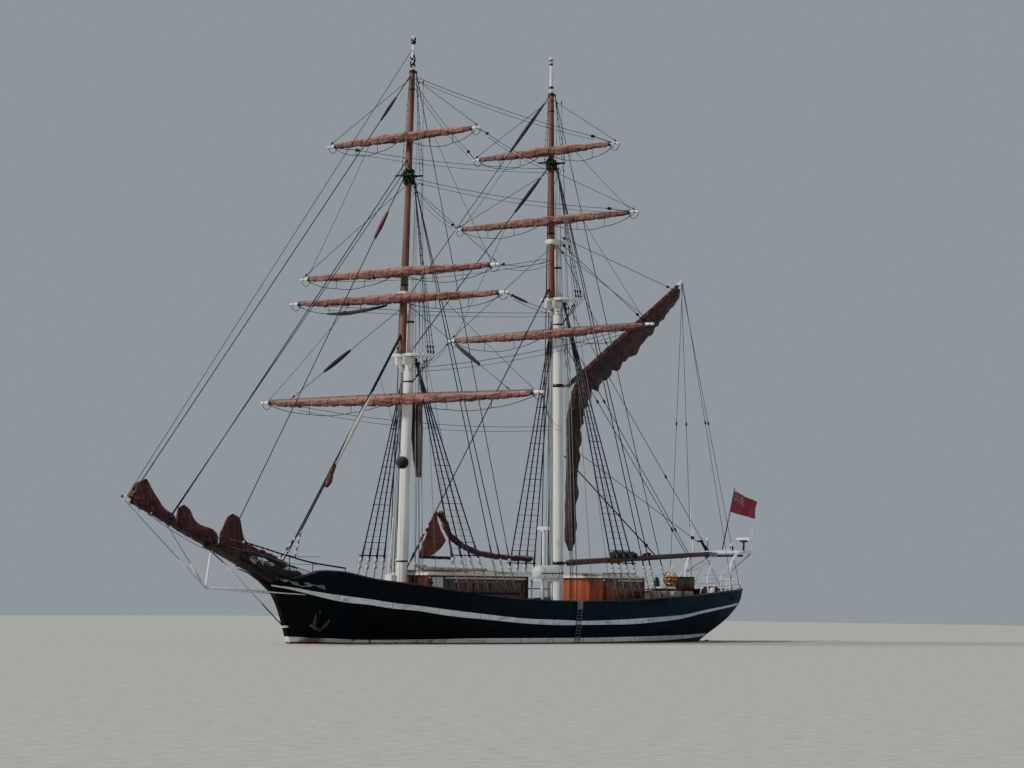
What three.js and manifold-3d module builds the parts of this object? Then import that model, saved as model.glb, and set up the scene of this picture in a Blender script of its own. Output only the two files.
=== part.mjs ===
// A two-masted square-rigged sailing ship (a brig) as a 1:2 scale model.
// Millimetres, +X towards the bow, +Y to port, +Z up.
// The origin is the middle of the waterline on the centreline.
import * as THREE from "three";
import { mergeVertices } from "three/addons/utils/BufferGeometryUtils.js";
import Module from "manifold-3d";

const wasm = await Module();
wasm.setup();

// Gap kept between pieces that touch, how far joined pieces reach into each other,
// how far a cutting shape reaches past what it cuts, and the distance at which vertices merge.
const SEAT = 0.3;
const BITE = 5;
const PAST = 40;
const MERGE = 1e-4;
// Sides of masts and big spars, of yards and small round pieces, and of wires.
const SPAR_SIDES = 10;
const YARD_SIDES = 8;
const WIRE_SIDES = 5;

// Hull: height of the timber below the stations' bottoms, and wall sizes.
const BACKBONE_WIDTH = 120;
const BULWARK_WALL = 50;
const RAIL_OVERHANG = 28;
const RAIL_WIDTH = 110;
const RAIL_THICKNESS = 32;
const DECK_THICKNESS = 26;
const SECTION_STEPS = 7;
// The bulwark's rows lie this far ahead of the hull's, so that no two faces share a plane.
const STATION_SHIFT = 0.5;

// Hull stations from the taffrail to the stem.
// x, bottom z, floor y, floor z, turn y, turn z, deck edge y, deck z, rail y, rail z
const STATIONS = [
  [-8150, 1000, 75, 1000, 150, 1010, 200, 1050, 250, 1260],
  [-8000, 900, 150, 900, 310, 925, 390, 1045, 440, 1255],
  [-7700, 650, 225, 650, 500, 725, 610, 1030, 660, 1245],
  [-7200, 330, 250, 330, 700, 475, 840, 1010, 890, 1225],
  [-6550, -10, 250, 25, 850, 225, 1040, 985, 1090, 1195],
  [-5900, -375, 225, -275, 975, -75, 1210, 960, 1250, 1155],
  [-5000, -725, 300, -625, 1175, -375, 1400, 920, 1440, 1100],
  [-4000, -900, 480, -850, 1400, -550, 1550, 880, 1590, 1050],
  [-3975, -905, 485, -855, 1405, -555, 1540, 500, 1592, 1048],
  [-2000, -1125, 700, -1075, 1625, -775, 1680, 465, 1720, 955],
  [0, -1175, 700, -1125, 1700, -800, 1710, 450, 1750, 930],
  [1500, -1150, 650, -1100, 1675, -750, 1700, 475, 1750, 965],
  [3000, -1100, 500, -1000, 1450, -650, 1600, 540, 1660, 1070],
  [4500, -975, 300, -850, 1050, -450, 1340, 665, 1435, 1240],
  [5650, -800, 150, -600, 600, -200, 1000, 760, 1135, 1360],
  [6400, -550, 75, -350, 300, 0, 660, 815, 835, 1510],
  [6750, -375, 50, -225, 190, 150, 460, 840, 650, 1525],
  [7100, -50, 35, 50, 100, 350, 250, 865, 425, 1400],
  [7400, 450, 25, 500, 60, 650, 120, 885, 260, 1350],
  [7650, 775, 20, 800, 35, 850, 45, 900, 110, 1330],
];
const BREAK_AFT = -4000;
const BREAK_FORE = -3975;
const DECK_FORE_END = 7100;
const DECK_AFT_END = -8000;
const DECK_STEP = { gap: 1, plank: 26, inset: 20, lap: 10, nosing: 25, top: 906, edgeGap: 6 };
const INNER_FORE_END = 7400;

// Keel, sternpost, heel, stem and the knee of the head, seen from the side: x, z
const BACKBONE = [
  [-5950, -200],
  [-5950, -1300],
  [-6700, -1300],
  [-6700, -1375],
  [4000, -1375],
  [5300, -1250],
  [6150, -950],
  [6750, -500],
  [7050, -100],
  [7155, 175],
  [7255, 450],
  [7355, 700],
  [7455, 880],
  [7535, 1015],
  [7725, 1165],
  [7930, 1310],
  [8200, 1450],
  [7950, 1355],
  [7700, 1255],
  [7500, 1165],
  [7300, 800],
  [6900, 200],
  [6300, -350],
  [5000, -850],
  [0, -1100],
  [-4000, -840],
  [-5600, -420],
];

// Stern gear.
const SHAFT_Z = -725;
const SHAFT_BOSS = { radius: 62, foreX: -5700, aftX: -6080 };
const PROPELLER = {
  hubRadius: 62, hubLength: 200, coneShare: 0.55, tipRadius: 310, blades: 3,
  blade: { radiusShare: 0.44, widthShare: 0.62, thickness: 16, pitch: 55, sides: 12 },
};
const RUDDER_X = -6560;
const RUDDER_THICKNESS = 60;
const RUDDER_BLADE = [
  [-6485, -1288],
  [-7110, -1250],
  [-7190, -320],
  [-7185, 30],
  [-6700, -62],
  [-6485, -62],
];
const RUDDER_TRUNK = { radius: 62, bottomZ: -40, topZ: 120 };
const RUDDER_STOCK = { radius: 34, fromZ: -1280, pintleRadius: 30, pintleZ: -1200 };
const HEEL_TOP_Z = -1300;

// Masts: foot x at the waterline, forward lean per mm of height, and heights.
const MASTS = {
  fore: {
    x0: 3725, lean: -0.034, footZ: 640 + DECK_THICKNESS, topZ: 6295, capZ: 7730, crossZ: 10315,
    headZ: 12695, truckZ: 13440,
  },
  main: {
    x0: -1590, lean: 0.0152, footZ: 462 + DECK_THICKNESS, topZ: 7930, capZ: 9350, crossZ: 11150,
    headZ: 12795, truckZ: 13615,
  },
};
const LOWER_RADIUS = { foot: 122, top: 108, head: 80 };
const TOPMAST_RADIUS = { heel: 82, head: 62 };
const POLE_RADIUS = { foot: 46, tip: 26 };
const TOPMAST_FORWARD = 225;
const TOP_PLATFORM = {
  aft: -330, fore: 250, halfWidth: 500, thickness: 50, cornerX: 180, cornerY: 210, clear: 8, rim: 30,
};
const CAP = { aft: -110, fore: 345, halfWidth: 120, thickness: 110, clear: 6 };
const CROSSTREES = {
  halfWidth: 310, aft: -170, fore: 150, bar: 26, treeWidth: 52, treeHeight: 42,
  trestleY: 70, trestleHeight: 62,
};
const TRUCK = { radius: 48, below: 30, above: 25 };

// Yards: mast, on topmast, length, brace angle in degrees with the port end aft, height,
// middle and tip radius, and how high the furled sail's middle lies over the yard's
const YARDS = {
  fore_course: ["fore", false, 7910, 5.6, 5375, 78, 44, -70],
  fore_lower_topsail: ["fore", true, 5920, 8.4, 7560, 64, 38, -15],
  fore_upper_topsail: ["fore", true, 5820, 2.8, 8145, 62, 36, -15],
  fore_topgallant: ["fore", true, 4720, -0.2, 11150, 52, 32, -10],
  main_course: ["main", false, 6975, -5.8, 7165, 74, 42, -40],
  main_topsail: ["main", true, 5720, -0.5, 9765, 62, 36, -15],
  main_topgallant: ["main", true, 4555, 0, 11385, 52, 32, -10],
};
const TRUSS = { pinAhead: 48, plate: 26, halfWidth: 42, armHalf: 30 };
const YARD_AHEAD = { lower: 190, topmast: 130 };
// The two halves of a yard reach this far over its middle.
const SPAR_LAP = 0.5;
// Furled square sails: how far they stop short of the yardarm, their half height and half depth
// in the middle, their share of that towards the yardarms and right at the ends, how far ahead
// of the yard they lie, and the room that they leave for the yard's arm.
const FURL = {
  shortOfTip: 170, halfHeight: 100, halfDepth: 90, tipShare: 0.5, endShare: 0.35, ahead: 52, sides: 10,
  stations: [-1, -0.92, -0.6, -0.2, 0.2, 0.6, 0.92, 1], armHalfWidth: 60, armHalfHeight: 40,
};

// Gaff and boom of the fore-and-aft sail on the main mast: inner and outer end x, z and radii
const GAFF = { inner: [-1840, 5965], outer: [-6140, 8800], radii: [58, 40] };
const BOOM = { inner: [-1900, 1835], outer: [-7500, 2145], radii: [72, 58] };
const GOOSENECK = { pinBehind: 44, plate: 30, halfWidth: 46, cheek: 6, eye: 30, bite: 40, back: 20 };
// Its furled cloth under the gaff and down the mast, seen from the side: x, z
const SPANKER_OUTLINE = [
  [-1980, 6040],
  [-6020, 8705],
  [-5960, 8430],
  [-4900, 7420],
  [-3900, 6620],
  [-3150, 6180],
  [-2760, 5850],
  [-2420, 5560],
  [-2330, 5060],
  [-2230, 4300],
  [-2160, 3200],
  [-2110, 2080],
  [-1850, 2080],
  [-1840, 3400],
  [-1850, 5000],
];
const SPANKER_THICKNESS = 190;
// Room in it for the gaff's jaw and its bracket: aft x, fore x, half width, below and above the jaw
const JAW_ROOM = [
  [-2100, -1600, 60, 22, 60],
  [-1930, -1600, 80, 120, 0],
];

// Bowsprit and jib boom on one line: heel, cap and tip x, z with radii
const SPRIT = { heel: [6750, 1010], cap: [9450, 2068], tip: [11735, 2964] };
const SPRIT_RADIUS = { heel: 112, cap: 92, boom: 68, tip: 40 };
const SPRIT_BAND = { length: 90, proud: 22 };
const SPRIT_CLEAR = 4;
const STRIKER = { top: [9300, 2010], foot: [9465, 1130], radius: 30, taper: 0.8 };

// Furled headsails on the bowsprit and jib boom: aft end x, fore end x, radius and peak x, z
const HEADSAILS = {
  outer_jib: [10330, 11560, 95, 11120, 3330],
  inner_jib: [9150, 10260, 95, 10080, 2860],
  fore_staysail: [8020, 9090, 90, 8690, 2680],
};
// Their roll's stations and sides, how small its ends are, how high over the spar and how wide it lies,
// and where and how wide its gathered head stands.
const STOWED = {
  stations: [0, 0.1, 0.35, 0.65, 0.9, 1], sides: 8, endShare: 0.45, up: 70, wide: 1.15,
  peakAhead: 40, peakUp: 60, peakShare: 0.95, peakTip: 24,
};

// Stays: from x, z to x, z with radius, all on the centreline.
const STAYS = {
  forestay: [[3788, 6780], [7480, 1420], 17],
  fore_topmast_stay: [[3590, 10740], [10475, 2520], 11],
  jib_stay: [[3540, 12610], [11520, 2935], 11],
  mainstay: [[-1150, 8190], [3508, 1640], 21],
  main_topmast_stay: [[-1140, 11085], [3400, 6480], 12],
};

// Shrouds and backstays, mirrored to starboard.
// Lower shrouds share the masthead; the others share the crosstrees or the pole's foot.
const SHROUDS = {
  fore: {
    channel: { foreX: 3600, aftX: 1700, z: 1120 }, side: [[3600, 1590], [1700, 1735]],
    lower: [3530, 3230, 2930, 2630], topmastBack: [2330, 2080], topgallantBack: [1840],
  },
  main: {
    channel: { foreX: -1560, aftX: -3800, z: 960 }, side: [[-1560, 1770], [-3800, 1660]],
    lower: [-1640, -1950, -2260, -2570], topmastBack: [-2900, -3180], topgallantBack: [-3620],
  },
};
const CHANNEL = { width: 120, thickness: 40, beyond: 60, steps: 4 };
const WIRE_RADIUS = { lower: 13, back: 9, topmast: 9 };
const TOPMAST_SHROUD_FEET = [-110, -200, -290];
// Where a side's lines meet at the mast: aft of its axis, out to the side, and down from its top
const HOUNDS = { lower: [60, 150, 80], topmast: [40, 118, 40], pole: [20, 96, 60] };
const HOUND_EYE = [70, 46, 60];

// Deck houses: aft and fore end x, half width, floor z, wall top z, how far the walls start below the floor,
// and how far the roof reaches past the ends.
const HOUSES = {
  fore_house: {
    aft: 150, fore: 3440, halfWidth: 550, floor: 590, top: 1490, bury: 150, roofAft: 60, roofFore: 40,
  },
  aft_house: {
    aft: -3940, fore: -2400, halfWidth: 610, floor: 540, top: 1490, bury: 80, roofAft: 0, roofFore: 60,
  },
};
const HOUSE_WALL = 40;
// The roof's camber: share of the half width, share of the crown
const ROOF = { overhang: 60, thickness: 45, crown: 60, camber: [[1, 0], [0.5, 0.75], [0, 1]] };
const DOOR = { width: 360, height: 800, sill: 60, gap: 6, thickness: 32 };
// Door hinge: the wall holds the lowest and highest barrels, between two shares of the door's height.
const HINGE = {
  out: 16, radius: 14, sides: 8, low: 0.12, high: 0.2, depth: 30, reach: 40, play: 8, strapOut: 2,
};
const DOOR_AT = { fore_house: 3280, aft_house: -2560 };
const WINDOWS = {
  fore_house: [2600, 2050, 1500, 950, 420],
  aft_house: [-3150, -3620],
};
const WINDOW = { width: 240, height: 220, sillZ: 1130 };

// Deck fittings.
const WHEEL = {
  x: -5700, z: 1485, rim: 195, felloe: 34, handle: 245, hub: 38, nose: 14, spokes: 8, rod: 11, rodSides: 6,
  depth: 34, sides: 24,
};
const WHEEL_BOX = {
  fore: -5740, aft: -6440, halfWidth: 170, top: 1560, seatLength: 330, seatHalf: 300, seatTop: 1270,
};
const RAFT = {
  x: -250, y: 800, z: 1570, radius: 175, length: 740, dome: 50, domeShare: 0.7, sides: 14,
  legX: 420, legY: 150, leg: 20, sink: 20, rack: 40,
};
const DECK_RADAR = {
  x: -1035, post: 24, footShare: 1.4, flange: 80, flangeHeight: 20, top: 2570, scanner: [120, 300, 90],
};
const WINDLASS = {
  x: 5150, halfWidth: 380, radius: 80, z: 960, drum: 120, drumShare: 1.3, sides: 12, cheekY: 323,
  cheek: { length: 150, width: 60, top: 120 }, pawl: { length: 170, width: 130, top: 130 },
};
// The room under a deck's planks that the pieces standing on them are cut back from
const UNDER_DECK = { mainHalf: 1700, quarterHalf: 900, depth: 300, foreX: 6750 };
// The anchors' crown and flukes lie on the bow at these distances ahead of and above x and z,
// and the shank runs up to the hawse.
const ANCHOR = {
  x: 6600, z: 300, shank: 26, hawse: [50, 400],
  crown: [[170, 110], [-90, -30]], crownRadius: 38, crownOut: 40,
  flukes: [[[70, 20], [120, 355]], [[-80, 0], [-180, 235]]], flukeOut: 52, flukeRadius: 44, flukeTip: 22,
};
// The stern arch: two curved legs that carry a platform, a beam between them and a thin brace each.
// The bend's points and the brace's ends: x, y to port, z
const GANTRY = {
  foot: [-7180, 700], radius: 34, flange: 45, flangeHeight: 15,
  bend: [[-7190, 700, 1755], [-7250, 700, 1935], [-7400, 690, 2085], [-7760, 560, 2184]],
  brace: [[-8150, 570, 2155], [-7188, 700, 1690]], braceRadius: 14,
  beam: { aft: -7620, fore: -7560, half: 760, low: 2065, top: 2122 },
  platform: { aft: -8250, fore: -7700, half: 600, z: 2150, thickness: 70 },
};
const STERN_RADAR = { postX: -8150, postY: 360, postHeight: 270, postRadius: 17, scanner: [70, 360, 58] };
const STERN_DOME = { x: -8140, y: 0, height: 200, foot: 40, top: 60 };
const STAFF = { base: [-7745, 2215], top: [-8245, 3765], radius: 17, tip: 13 };
const FLAG = [
  [-8232, 3725],
  [-9240, 3370],
  [-9095, 3025],
  [-8063, 3200],
];
const FLAG_THICKNESS = 8;
const STAYSAIL = [
  [3180, 2101],
  [2545, 2994],
  [2230, 2280],
  [1500, 1990],
  [-700, 1900],
  [-700, 1840],
  [3180, 1840],
];
const STAYSAIL_THICKNESS = 90;
const TRYSAIL_THICKNESS = 150;
const TRYSAIL = [
  [3460, 5400],
  [3100, 5400],
  [3060, 4700],
  [3080, 3650],
  [3520, 3620],
];

// Turns a closed three.js geometry into a solid.
function solid(geometry) {
  const bare = geometry.clone();
  for (const name of Object.keys(bare.attributes)) if (name !== "position") bare.deleteAttribute(name);
  const merged = mergeVertices(bare, MERGE);
  const vertProperties = new Float32Array(merged.attributes.position.array);
  const triVerts = new Uint32Array(merged.index.array);
  return new wasm.Manifold(new wasm.Mesh({ numProp: 3, vertProperties, triVerts }));
}

// Turns a solid back into a three.js geometry with flat faces.
function geometryOf(body) {
  const mesh = body.getMesh();
  const geometry = new THREE.BufferGeometry();
  geometry.setAttribute("position", new THREE.BufferAttribute(new Float32Array(mesh.vertProperties), 3));
  geometry.setIndex(new THREE.BufferAttribute(new Uint32Array(mesh.triVerts), 1));
  const flat = geometry.toNonIndexed();
  flat.computeVertexNormals();
  return flat;
}

const join = (...bodies) => bodies.reduce((a, b) => a.add(b));
const cut = (body, ...tools) => tools.reduce((a, b) => a.subtract(b), body);

// A box from its centre and full sizes.
function block(x, y, z, sx, sy, sz) {
  return solid(new THREE.BoxGeometry(sx, sy, sz).translate(x, y, z));
}

// A box from its lowest and highest corners.
function span(x0, y0, z0, x1, y1, z1) {
  return block((x0 + x1) / 2, (y0 + y1) / 2, (z0 + z1) / 2, x1 - x0, y1 - y0, z1 - z0);
}

// A round bar, tapered where the radii differ.
function bar(from, to, r0, r1 = r0, sides = SPAR_SIDES) {
  const a = new THREE.Vector3(...from);
  const b = new THREE.Vector3(...to);
  const geometry = new THREE.CylinderGeometry(r1, r0, a.distanceTo(b), sides);
  const along = b.clone().sub(a).normalize();
  const turn = new THREE.Quaternion().setFromUnitVectors(new THREE.Vector3(0, 1, 0), along);
  geometry.applyQuaternion(turn);
  geometry.translate((a.x + b.x) / 2, (a.y + b.y) / 2, (a.z + b.z) / 2);
  return solid(geometry);
}

// A plate whose outline lies in the plane of x and z, centred on y.
function sidePlate(outline, thickness, y = 0) {
  const shape = new THREE.Shape(outline.map(([x, z]) => new THREE.Vector2(x, z)));
  const geometry = new THREE.ExtrudeGeometry(shape, { depth: thickness, bevelEnabled: false });
  geometry.rotateX(Math.PI / 2);
  geometry.translate(0, y + thickness / 2, 0);
  return solid(geometry);
}

// A plate whose outline lies in the plane of x and y, standing on z.
function floorPlate(outline, z, thickness) {
  const shape = new THREE.Shape(outline.map(([x, y]) => new THREE.Vector2(x, y)));
  const geometry = new THREE.ExtrudeGeometry(shape, { depth: thickness, bevelEnabled: false });
  return solid(geometry.translate(0, 0, z));
}

// A solid through a row of rings with equal numbers of points, with flat ends.
function loft(rings) {
  const count = rings[0].length;
  const points = rings.flat().flatMap((p) => [p.x, p.y, p.z]);
  const faces = [];
  for (let i = 0; i + 1 < rings.length; i++)
    for (let j = 0; j < count; j++) {
      const a = i * count + j;
      const b = i * count + ((j + 1) % count);
      faces.push(a, b, b + count, a, b + count, a + count);
    }
  endFaces(rings[0]).forEach(([a, b, c]) => faces.push(a, c, b));
  const last = (rings.length - 1) * count;
  endFaces(rings[rings.length - 1]).forEach(([a, b, c]) => faces.push(last + a, last + b, last + c));
  const geometry = new THREE.BufferGeometry();
  geometry.setAttribute("position", new THREE.Float32BufferAttribute(points, 3));
  geometry.setIndex(faces);
  const made = solid(geometry);
  return made.volume() < 0 ? solid(turnedRound(geometry)) : made;
}

function turnedRound(geometry) {
  const index = geometry.index.array;
  for (let i = 0; i < index.length; i += 3) [index[i + 1], index[i + 2]] = [index[i + 2], index[i + 1]];
  return geometry;
}

// Triangles of one ring, as a fan about its first point, in the ring's own order.
function endFaces(ring) {
  const faces = [];
  for (let i = 1; i + 1 < ring.length; i++) faces.push([0, i, i + 1]);
  return faces;
}

// One hull section from the port deck edge round the bottom to the starboard deck edge.
function hullRing([x, bottomZ, floorY, floorZ, turnY, turnZ, deckY, deckZ]) {
  const half = new THREE.CubicBezierCurve3(
    new THREE.Vector3(x, 0, bottomZ),
    new THREE.Vector3(x, floorY, floorZ),
    new THREE.Vector3(x, turnY, turnZ),
    new THREE.Vector3(x, deckY, deckZ),
  ).getPoints(SECTION_STEPS);
  const starboard = half.slice(1).map((p) => new THREE.Vector3(p.x, -p.y, p.z));
  const deckMiddle = new THREE.Vector3(x, 0, deckZ);
  return [deckMiddle, ...half.slice().reverse(), ...starboard];
}

function makeHull() {
  const body = loft(STATIONS.map(hullRing));
  const backbone = sidePlate(BACKBONE, BACKBONE_WIDTH);
  const boss = bar([SHAFT_BOSS.foreX, 0, SHAFT_Z], [SHAFT_BOSS.aftX, 0, SHAFT_Z], SHAFT_BOSS.radius);
  const trunk = bar(
    [RUDDER_X, 0, RUDDER_TRUNK.bottomZ + SEAT],
    [RUDDER_X, 0, RUDDER_TRUNK.topZ],
    RUDDER_TRUNK.radius,
  );
  return join(body, backbone, boss, trunk);
}

// A slab between two heights of the stations, as wide as the given half widths.
function slab(stations, lowOf, highOf) {
  return loft(
    stations.map((station) => {
      const x = station[0];
      const [lowY, lowZ] = lowOf(station);
      const [highY, highZ] = highOf(station);
      return [
        new THREE.Vector3(x, highY, highZ),
        new THREE.Vector3(x, -highY, highZ),
        new THREE.Vector3(x, -lowY, lowZ),
        new THREE.Vector3(x, lowY, lowZ),
      ];
    }),
  );
}

// The station table, moved forward.
const movedStations = (move) => STATIONS.map((s) => [s[0] + move, ...s.slice(1)]);

// The station at a given x, between two rows of the table.
function stationAt(x) {
  const k = STATIONS.findIndex((s) => s[0] >= x);
  const [a, b] = [STATIONS[k - 1], STATIONS[k]];
  const t = (x - a[0]) / (b[0] - a[0]);
  return a.map((v, i) => v + (b[i] - v) * t);
}

function makeBulwark() {
  const shell = movedStations(STATION_SHIFT);
  const outer = slab(shell, (s) => [s[6], s[7] + SEAT], (s) => [s[8], s[9] - BITE]);
  const within = shell.filter((s) => s[0] < INNER_FORE_END);
  within[0] = [within[0][0] + BULWARK_WALL, ...within[0].slice(1)];
  const inner = slab(
    within,
    (s) => [s[6] - BULWARK_WALL - BITE, s[7] - PAST],
    (s) => [s[8] - BULWARK_WALL, s[9] + PAST / 2],
  );
  const capOuter = slab(
    shell,
    (s) => [s[8] + RAIL_OVERHANG, s[9] - RAIL_THICKNESS],
    (s) => [s[8] + RAIL_OVERHANG, s[9]],
  );
  const capInner = slab(
    within,
    (s) => [s[8] + RAIL_OVERHANG - RAIL_WIDTH, s[9] - 2 * RAIL_THICKNESS],
    (s) => [s[8] + RAIL_OVERHANG - RAIL_WIDTH, s[9] + RAIL_THICKNESS],
  );
  const holeRadius = SPRIT_RADIUS.heel + SPRIT_CLEAR;
  const hole = spritBar(SPRIT.heel, SPRIT.cap, holeRadius, holeRadius);
  return cut(join(cut(outer, inner), cut(capOuter, capInner)), hole, ...backboneSpace());
}

// The backbone with the usual gap all round it.
function backboneSpace() {
  const wide = sidePlate(BACKBONE, BACKBONE_WIDTH + 2 * SEAT);
  const shifts = [[SEAT, 0], [-SEAT, 0], [0, SEAT], [0, -SEAT]];
  return shifts.map(([dx, dz]) => wide.translate(dx, 0, dz));
}

function makeDeck() {
  const edge = (s) => s[6] - BULWARK_WALL - DECK_STEP.edgeGap;
  const plate = (rows) => slab(rows, (s) => [edge(s), s[7] + SEAT], (s) => [edge(s), s[7] + DECK_THICKNESS]);
  const main = STATIONS.filter((s) => s[0] >= BREAK_FORE && s[0] <= DECK_FORE_END);
  main[0] = [BREAK_FORE + DECK_STEP.gap, ...main[0].slice(1)];
  const quarter = STATIONS.filter((s) => s[0] <= BREAK_AFT && s[0] >= DECK_AFT_END);
  const step = stationAt(BREAK_FORE);
  const half = edge(step) - DECK_STEP.inset;
  const face = BREAK_FORE + DECK_STEP.plank;
  const { gap, lap, top, nosing } = DECK_STEP;
  const riser = span(BREAK_FORE + gap, -half, step[7] + gap, face, half, top - gap);
  const edgePlank = span(BREAK_AFT - lap, -half, top - nosing, face, half, top);
  return join(plate(main), riser, edgePlank, plate(quarter));
}

const mastX = (mast, z) => MASTS[mast].x0 + MASTS[mast].lean * z;
const topmastX = (mast, z) => mastX(mast, z) + TOPMAST_FORWARD;

function lowerRadius(mast, z) {
  const { footZ, topZ } = MASTS[mast];
  return THREE.MathUtils.mapLinear(z, footZ, topZ, LOWER_RADIUS.foot, LOWER_RADIUS.top);
}

function topmastRadius(mast, z) {
  const { topZ, headZ } = MASTS[mast];
  return THREE.MathUtils.mapLinear(z, topZ, headZ, TOPMAST_RADIUS.heel, TOPMAST_RADIUS.head);
}

// The bracket under a yard's arm, fixed to its mast.
function trussBracket(name) {
  const [mast, onTopmast, , , z] = YARDS[name];
  const axis = onTopmast ? topmastX(mast, z) : mastX(mast, z);
  const radius = onTopmast ? topmastRadius(mast, z) : lowerRadius(mast, z);
  const pinX = axis + radius + TRUSS.pinAhead;
  const high = z - TRUSS.plate / 2 - SEAT;
  return span(axis, -TRUSS.halfWidth, high - TRUSS.plate, pinX + TRUSS.halfWidth, TRUSS.halfWidth, high);
}

const yardsOn = (mast, onTopmast) =>
  Object.keys(YARDS).filter((name) => YARDS[name][0] === mast && YARDS[name][1] === onTopmast);

function makeLowerMast(mast) {
  const { footZ, topZ, capZ } = MASTS[mast];
  const at = (z) => [mastX(mast, z), 0, z];
  const tilt = LOWER_RADIUS.top * Math.abs(MASTS[mast].lean);
  const pole = bar(at(footZ - 2 * PAST), at(topZ - tilt), LOWER_RADIUS.foot, LOWER_RADIUS.top);
  const head = bar(at(topZ - PAST), at(capZ), LOWER_RADIUS.head);
  const x = mastX(mast, capZ);
  const cap = span(x + CAP.aft, -CAP.halfWidth, capZ - CAP.thickness, x + CAP.fore, CAP.halfWidth, capZ);
  const above = (z) => [topmastX(mast, z), 0, z];
  const holeRadius = topmastRadius(mast, capZ) + CAP.clear;
  const hole = bar(above(capZ - CAP.thickness - PAST), above(capZ + PAST), holeRadius);
  const brackets = yardsOn(mast, false).map(trussBracket);
  const gooseneck = mast === "main" ? [sparBracket(GAFF), sparBracket(BOOM)] : [];
  return cut(join(pole, head, cut(cap, hole), ...brackets, ...gooseneck), deckSpace());
}

// The bracket behind the mast that a gaff or boom turns on.
function sparBracket(spar) {
  const z = spar.inner[1];
  const axis = mastX("main", z);
  const pinX = axis - lowerRadius("main", z) - GOOSENECK.pinBehind;
  const high = z - GOOSENECK.plate / 2 - SEAT;
  const half = GOOSENECK.halfWidth;
  return span(pinX - half, -half, high - GOOSENECK.plate, axis, half, high);
}

function makeTop(mast) {
  const { topZ } = MASTS[mast];
  const x = mastX(mast, topZ);
  const { aft, fore, halfWidth, thickness, cornerX, cornerY, clear } = TOP_PLATFORM;
  const outline = [
    [x + aft, -halfWidth],
    [x + fore - cornerX, -halfWidth],
    [x + fore, -halfWidth + cornerY],
    [x + fore, halfWidth - cornerY],
    [x + fore - cornerX, halfWidth],
    [x + aft, halfWidth],
  ];
  const platform = floorPlate(outline, topZ + SEAT, thickness);
  const mastHole = bar([x, 0, topZ - PAST], [x, 0, topZ + thickness + PAST], LOWER_RADIUS.head + clear);
  return cut(platform, mastHole);
}

function makeTopmast(mast) {
  const { topZ, crossZ, headZ, truckZ } = MASTS[mast];
  const at = (z) => [topmastX(mast, z), 0, z];
  const heelZ = topZ + TOP_PLATFORM.thickness - BITE;
  const spar = bar(at(heelZ), at(headZ), TOPMAST_RADIUS.heel, TOPMAST_RADIUS.head);
  const pole = bar(at(headZ - PAST), at(truckZ), POLE_RADIUS.foot, POLE_RADIUS.tip);
  const truck = bar(at(truckZ - TRUCK.below), at(truckZ + TRUCK.above), TRUCK.radius);
  const x = topmastX(mast, crossZ);
  const { halfWidth, aft, fore, bar: size, treeWidth, treeHeight, trestleY, trestleHeight } = CROSSTREES;
  const trees = [aft, fore].map((dx) => block(x + dx, 0, crossZ, treeWidth, halfWidth * 2, treeHeight));
  const [middle, length] = [x + (aft + fore) / 2, fore - aft + size];
  const trestles = [-trestleY, trestleY].map((y) => block(middle, y, crossZ, length, size, trestleHeight));
  const whole = join(spar, pole, truck, ...trees, ...trestles, ...yardsOn(mast, true).map(trussBracket));
  return cut(whole, platformSpace(mast));
}

// Where a yard turns and where its middle lies, before it is braced.
function yardPlace(name) {
  const [mast, onTopmast, length, brace, z, middle, tip, rise] = YARDS[name];
  const axis = onTopmast ? topmastX(mast, z) : mastX(mast, z);
  const radius = onTopmast ? topmastRadius(mast, z) : lowerRadius(mast, z);
  const pinX = axis + radius + TRUSS.pinAhead;
  const x = pinX + (onTopmast ? YARD_AHEAD.topmast : YARD_AHEAD.lower);
  return { pinX, x, z, half: length / 2, brace: THREE.MathUtils.degToRad(brace), middle, tip, rise };
}

// Turns a solid about the upright line through x and y = 0.
function turnedAbout(body, x, angle) {
  const geometry = geometryOf(body);
  geometry.translate(-x, 0, 0).rotateZ(angle).translate(x, 0, 0);
  return solid(geometry);
}

function spar(x, z, half, middle, tip) {
  const arm = (side) => bar([x, -side * SPAR_LAP, z], [x, side * half, z], middle, tip, YARD_SIDES);
  return join(arm(-1), arm(1));
}

function makeYard(name) {
  const { pinX, x, z, half, brace, middle, tip } = yardPlace(name);
  const [wide, thick] = [TRUSS.armHalf, TRUSS.plate / 2];
  const arm = span(pinX - wide, -wide, z - thick, x, wide, z + thick);
  return turnedAbout(join(spar(x, z, half, middle, tip), arm), pinX, brace);
}

// A square sail furled ahead of its yard.
function makeFurledSail(name) {
  const { pinX, x, z, half, brace, middle, tip, rise } = yardPlace(name);
  const reach = half - FURL.shortOfTip;
  const rings = FURL.stations.map((t) => {
    const full = Math.abs(t) === 1 ? FURL.endShare : 1 - (1 - FURL.tipShare) * Math.abs(t);
    const ring = [];
    for (let k = 0; k < FURL.sides; k++) {
      const a = (k / FURL.sides) * Math.PI * 2;
      const dx = (FURL.ahead + FURL.halfDepth * Math.cos(a)) * full;
      const dz = (rise + FURL.halfHeight * Math.sin(a)) * full;
      ring.push(new THREE.Vector3(x + dx, t * reach, z + dz));
    }
    return ring;
  });
  const clearSpar = spar(x, z, half, middle + SEAT, tip + SEAT);
  const { armHalfWidth, armHalfHeight } = FURL;
  const clearArm = span(pinX, -armHalfWidth, z - armHalfHeight, x, armHalfWidth, z + armHalfHeight);
  return turnedAbout(cut(loft(rings), clearSpar, clearArm), pinX, brace);
}

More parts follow.
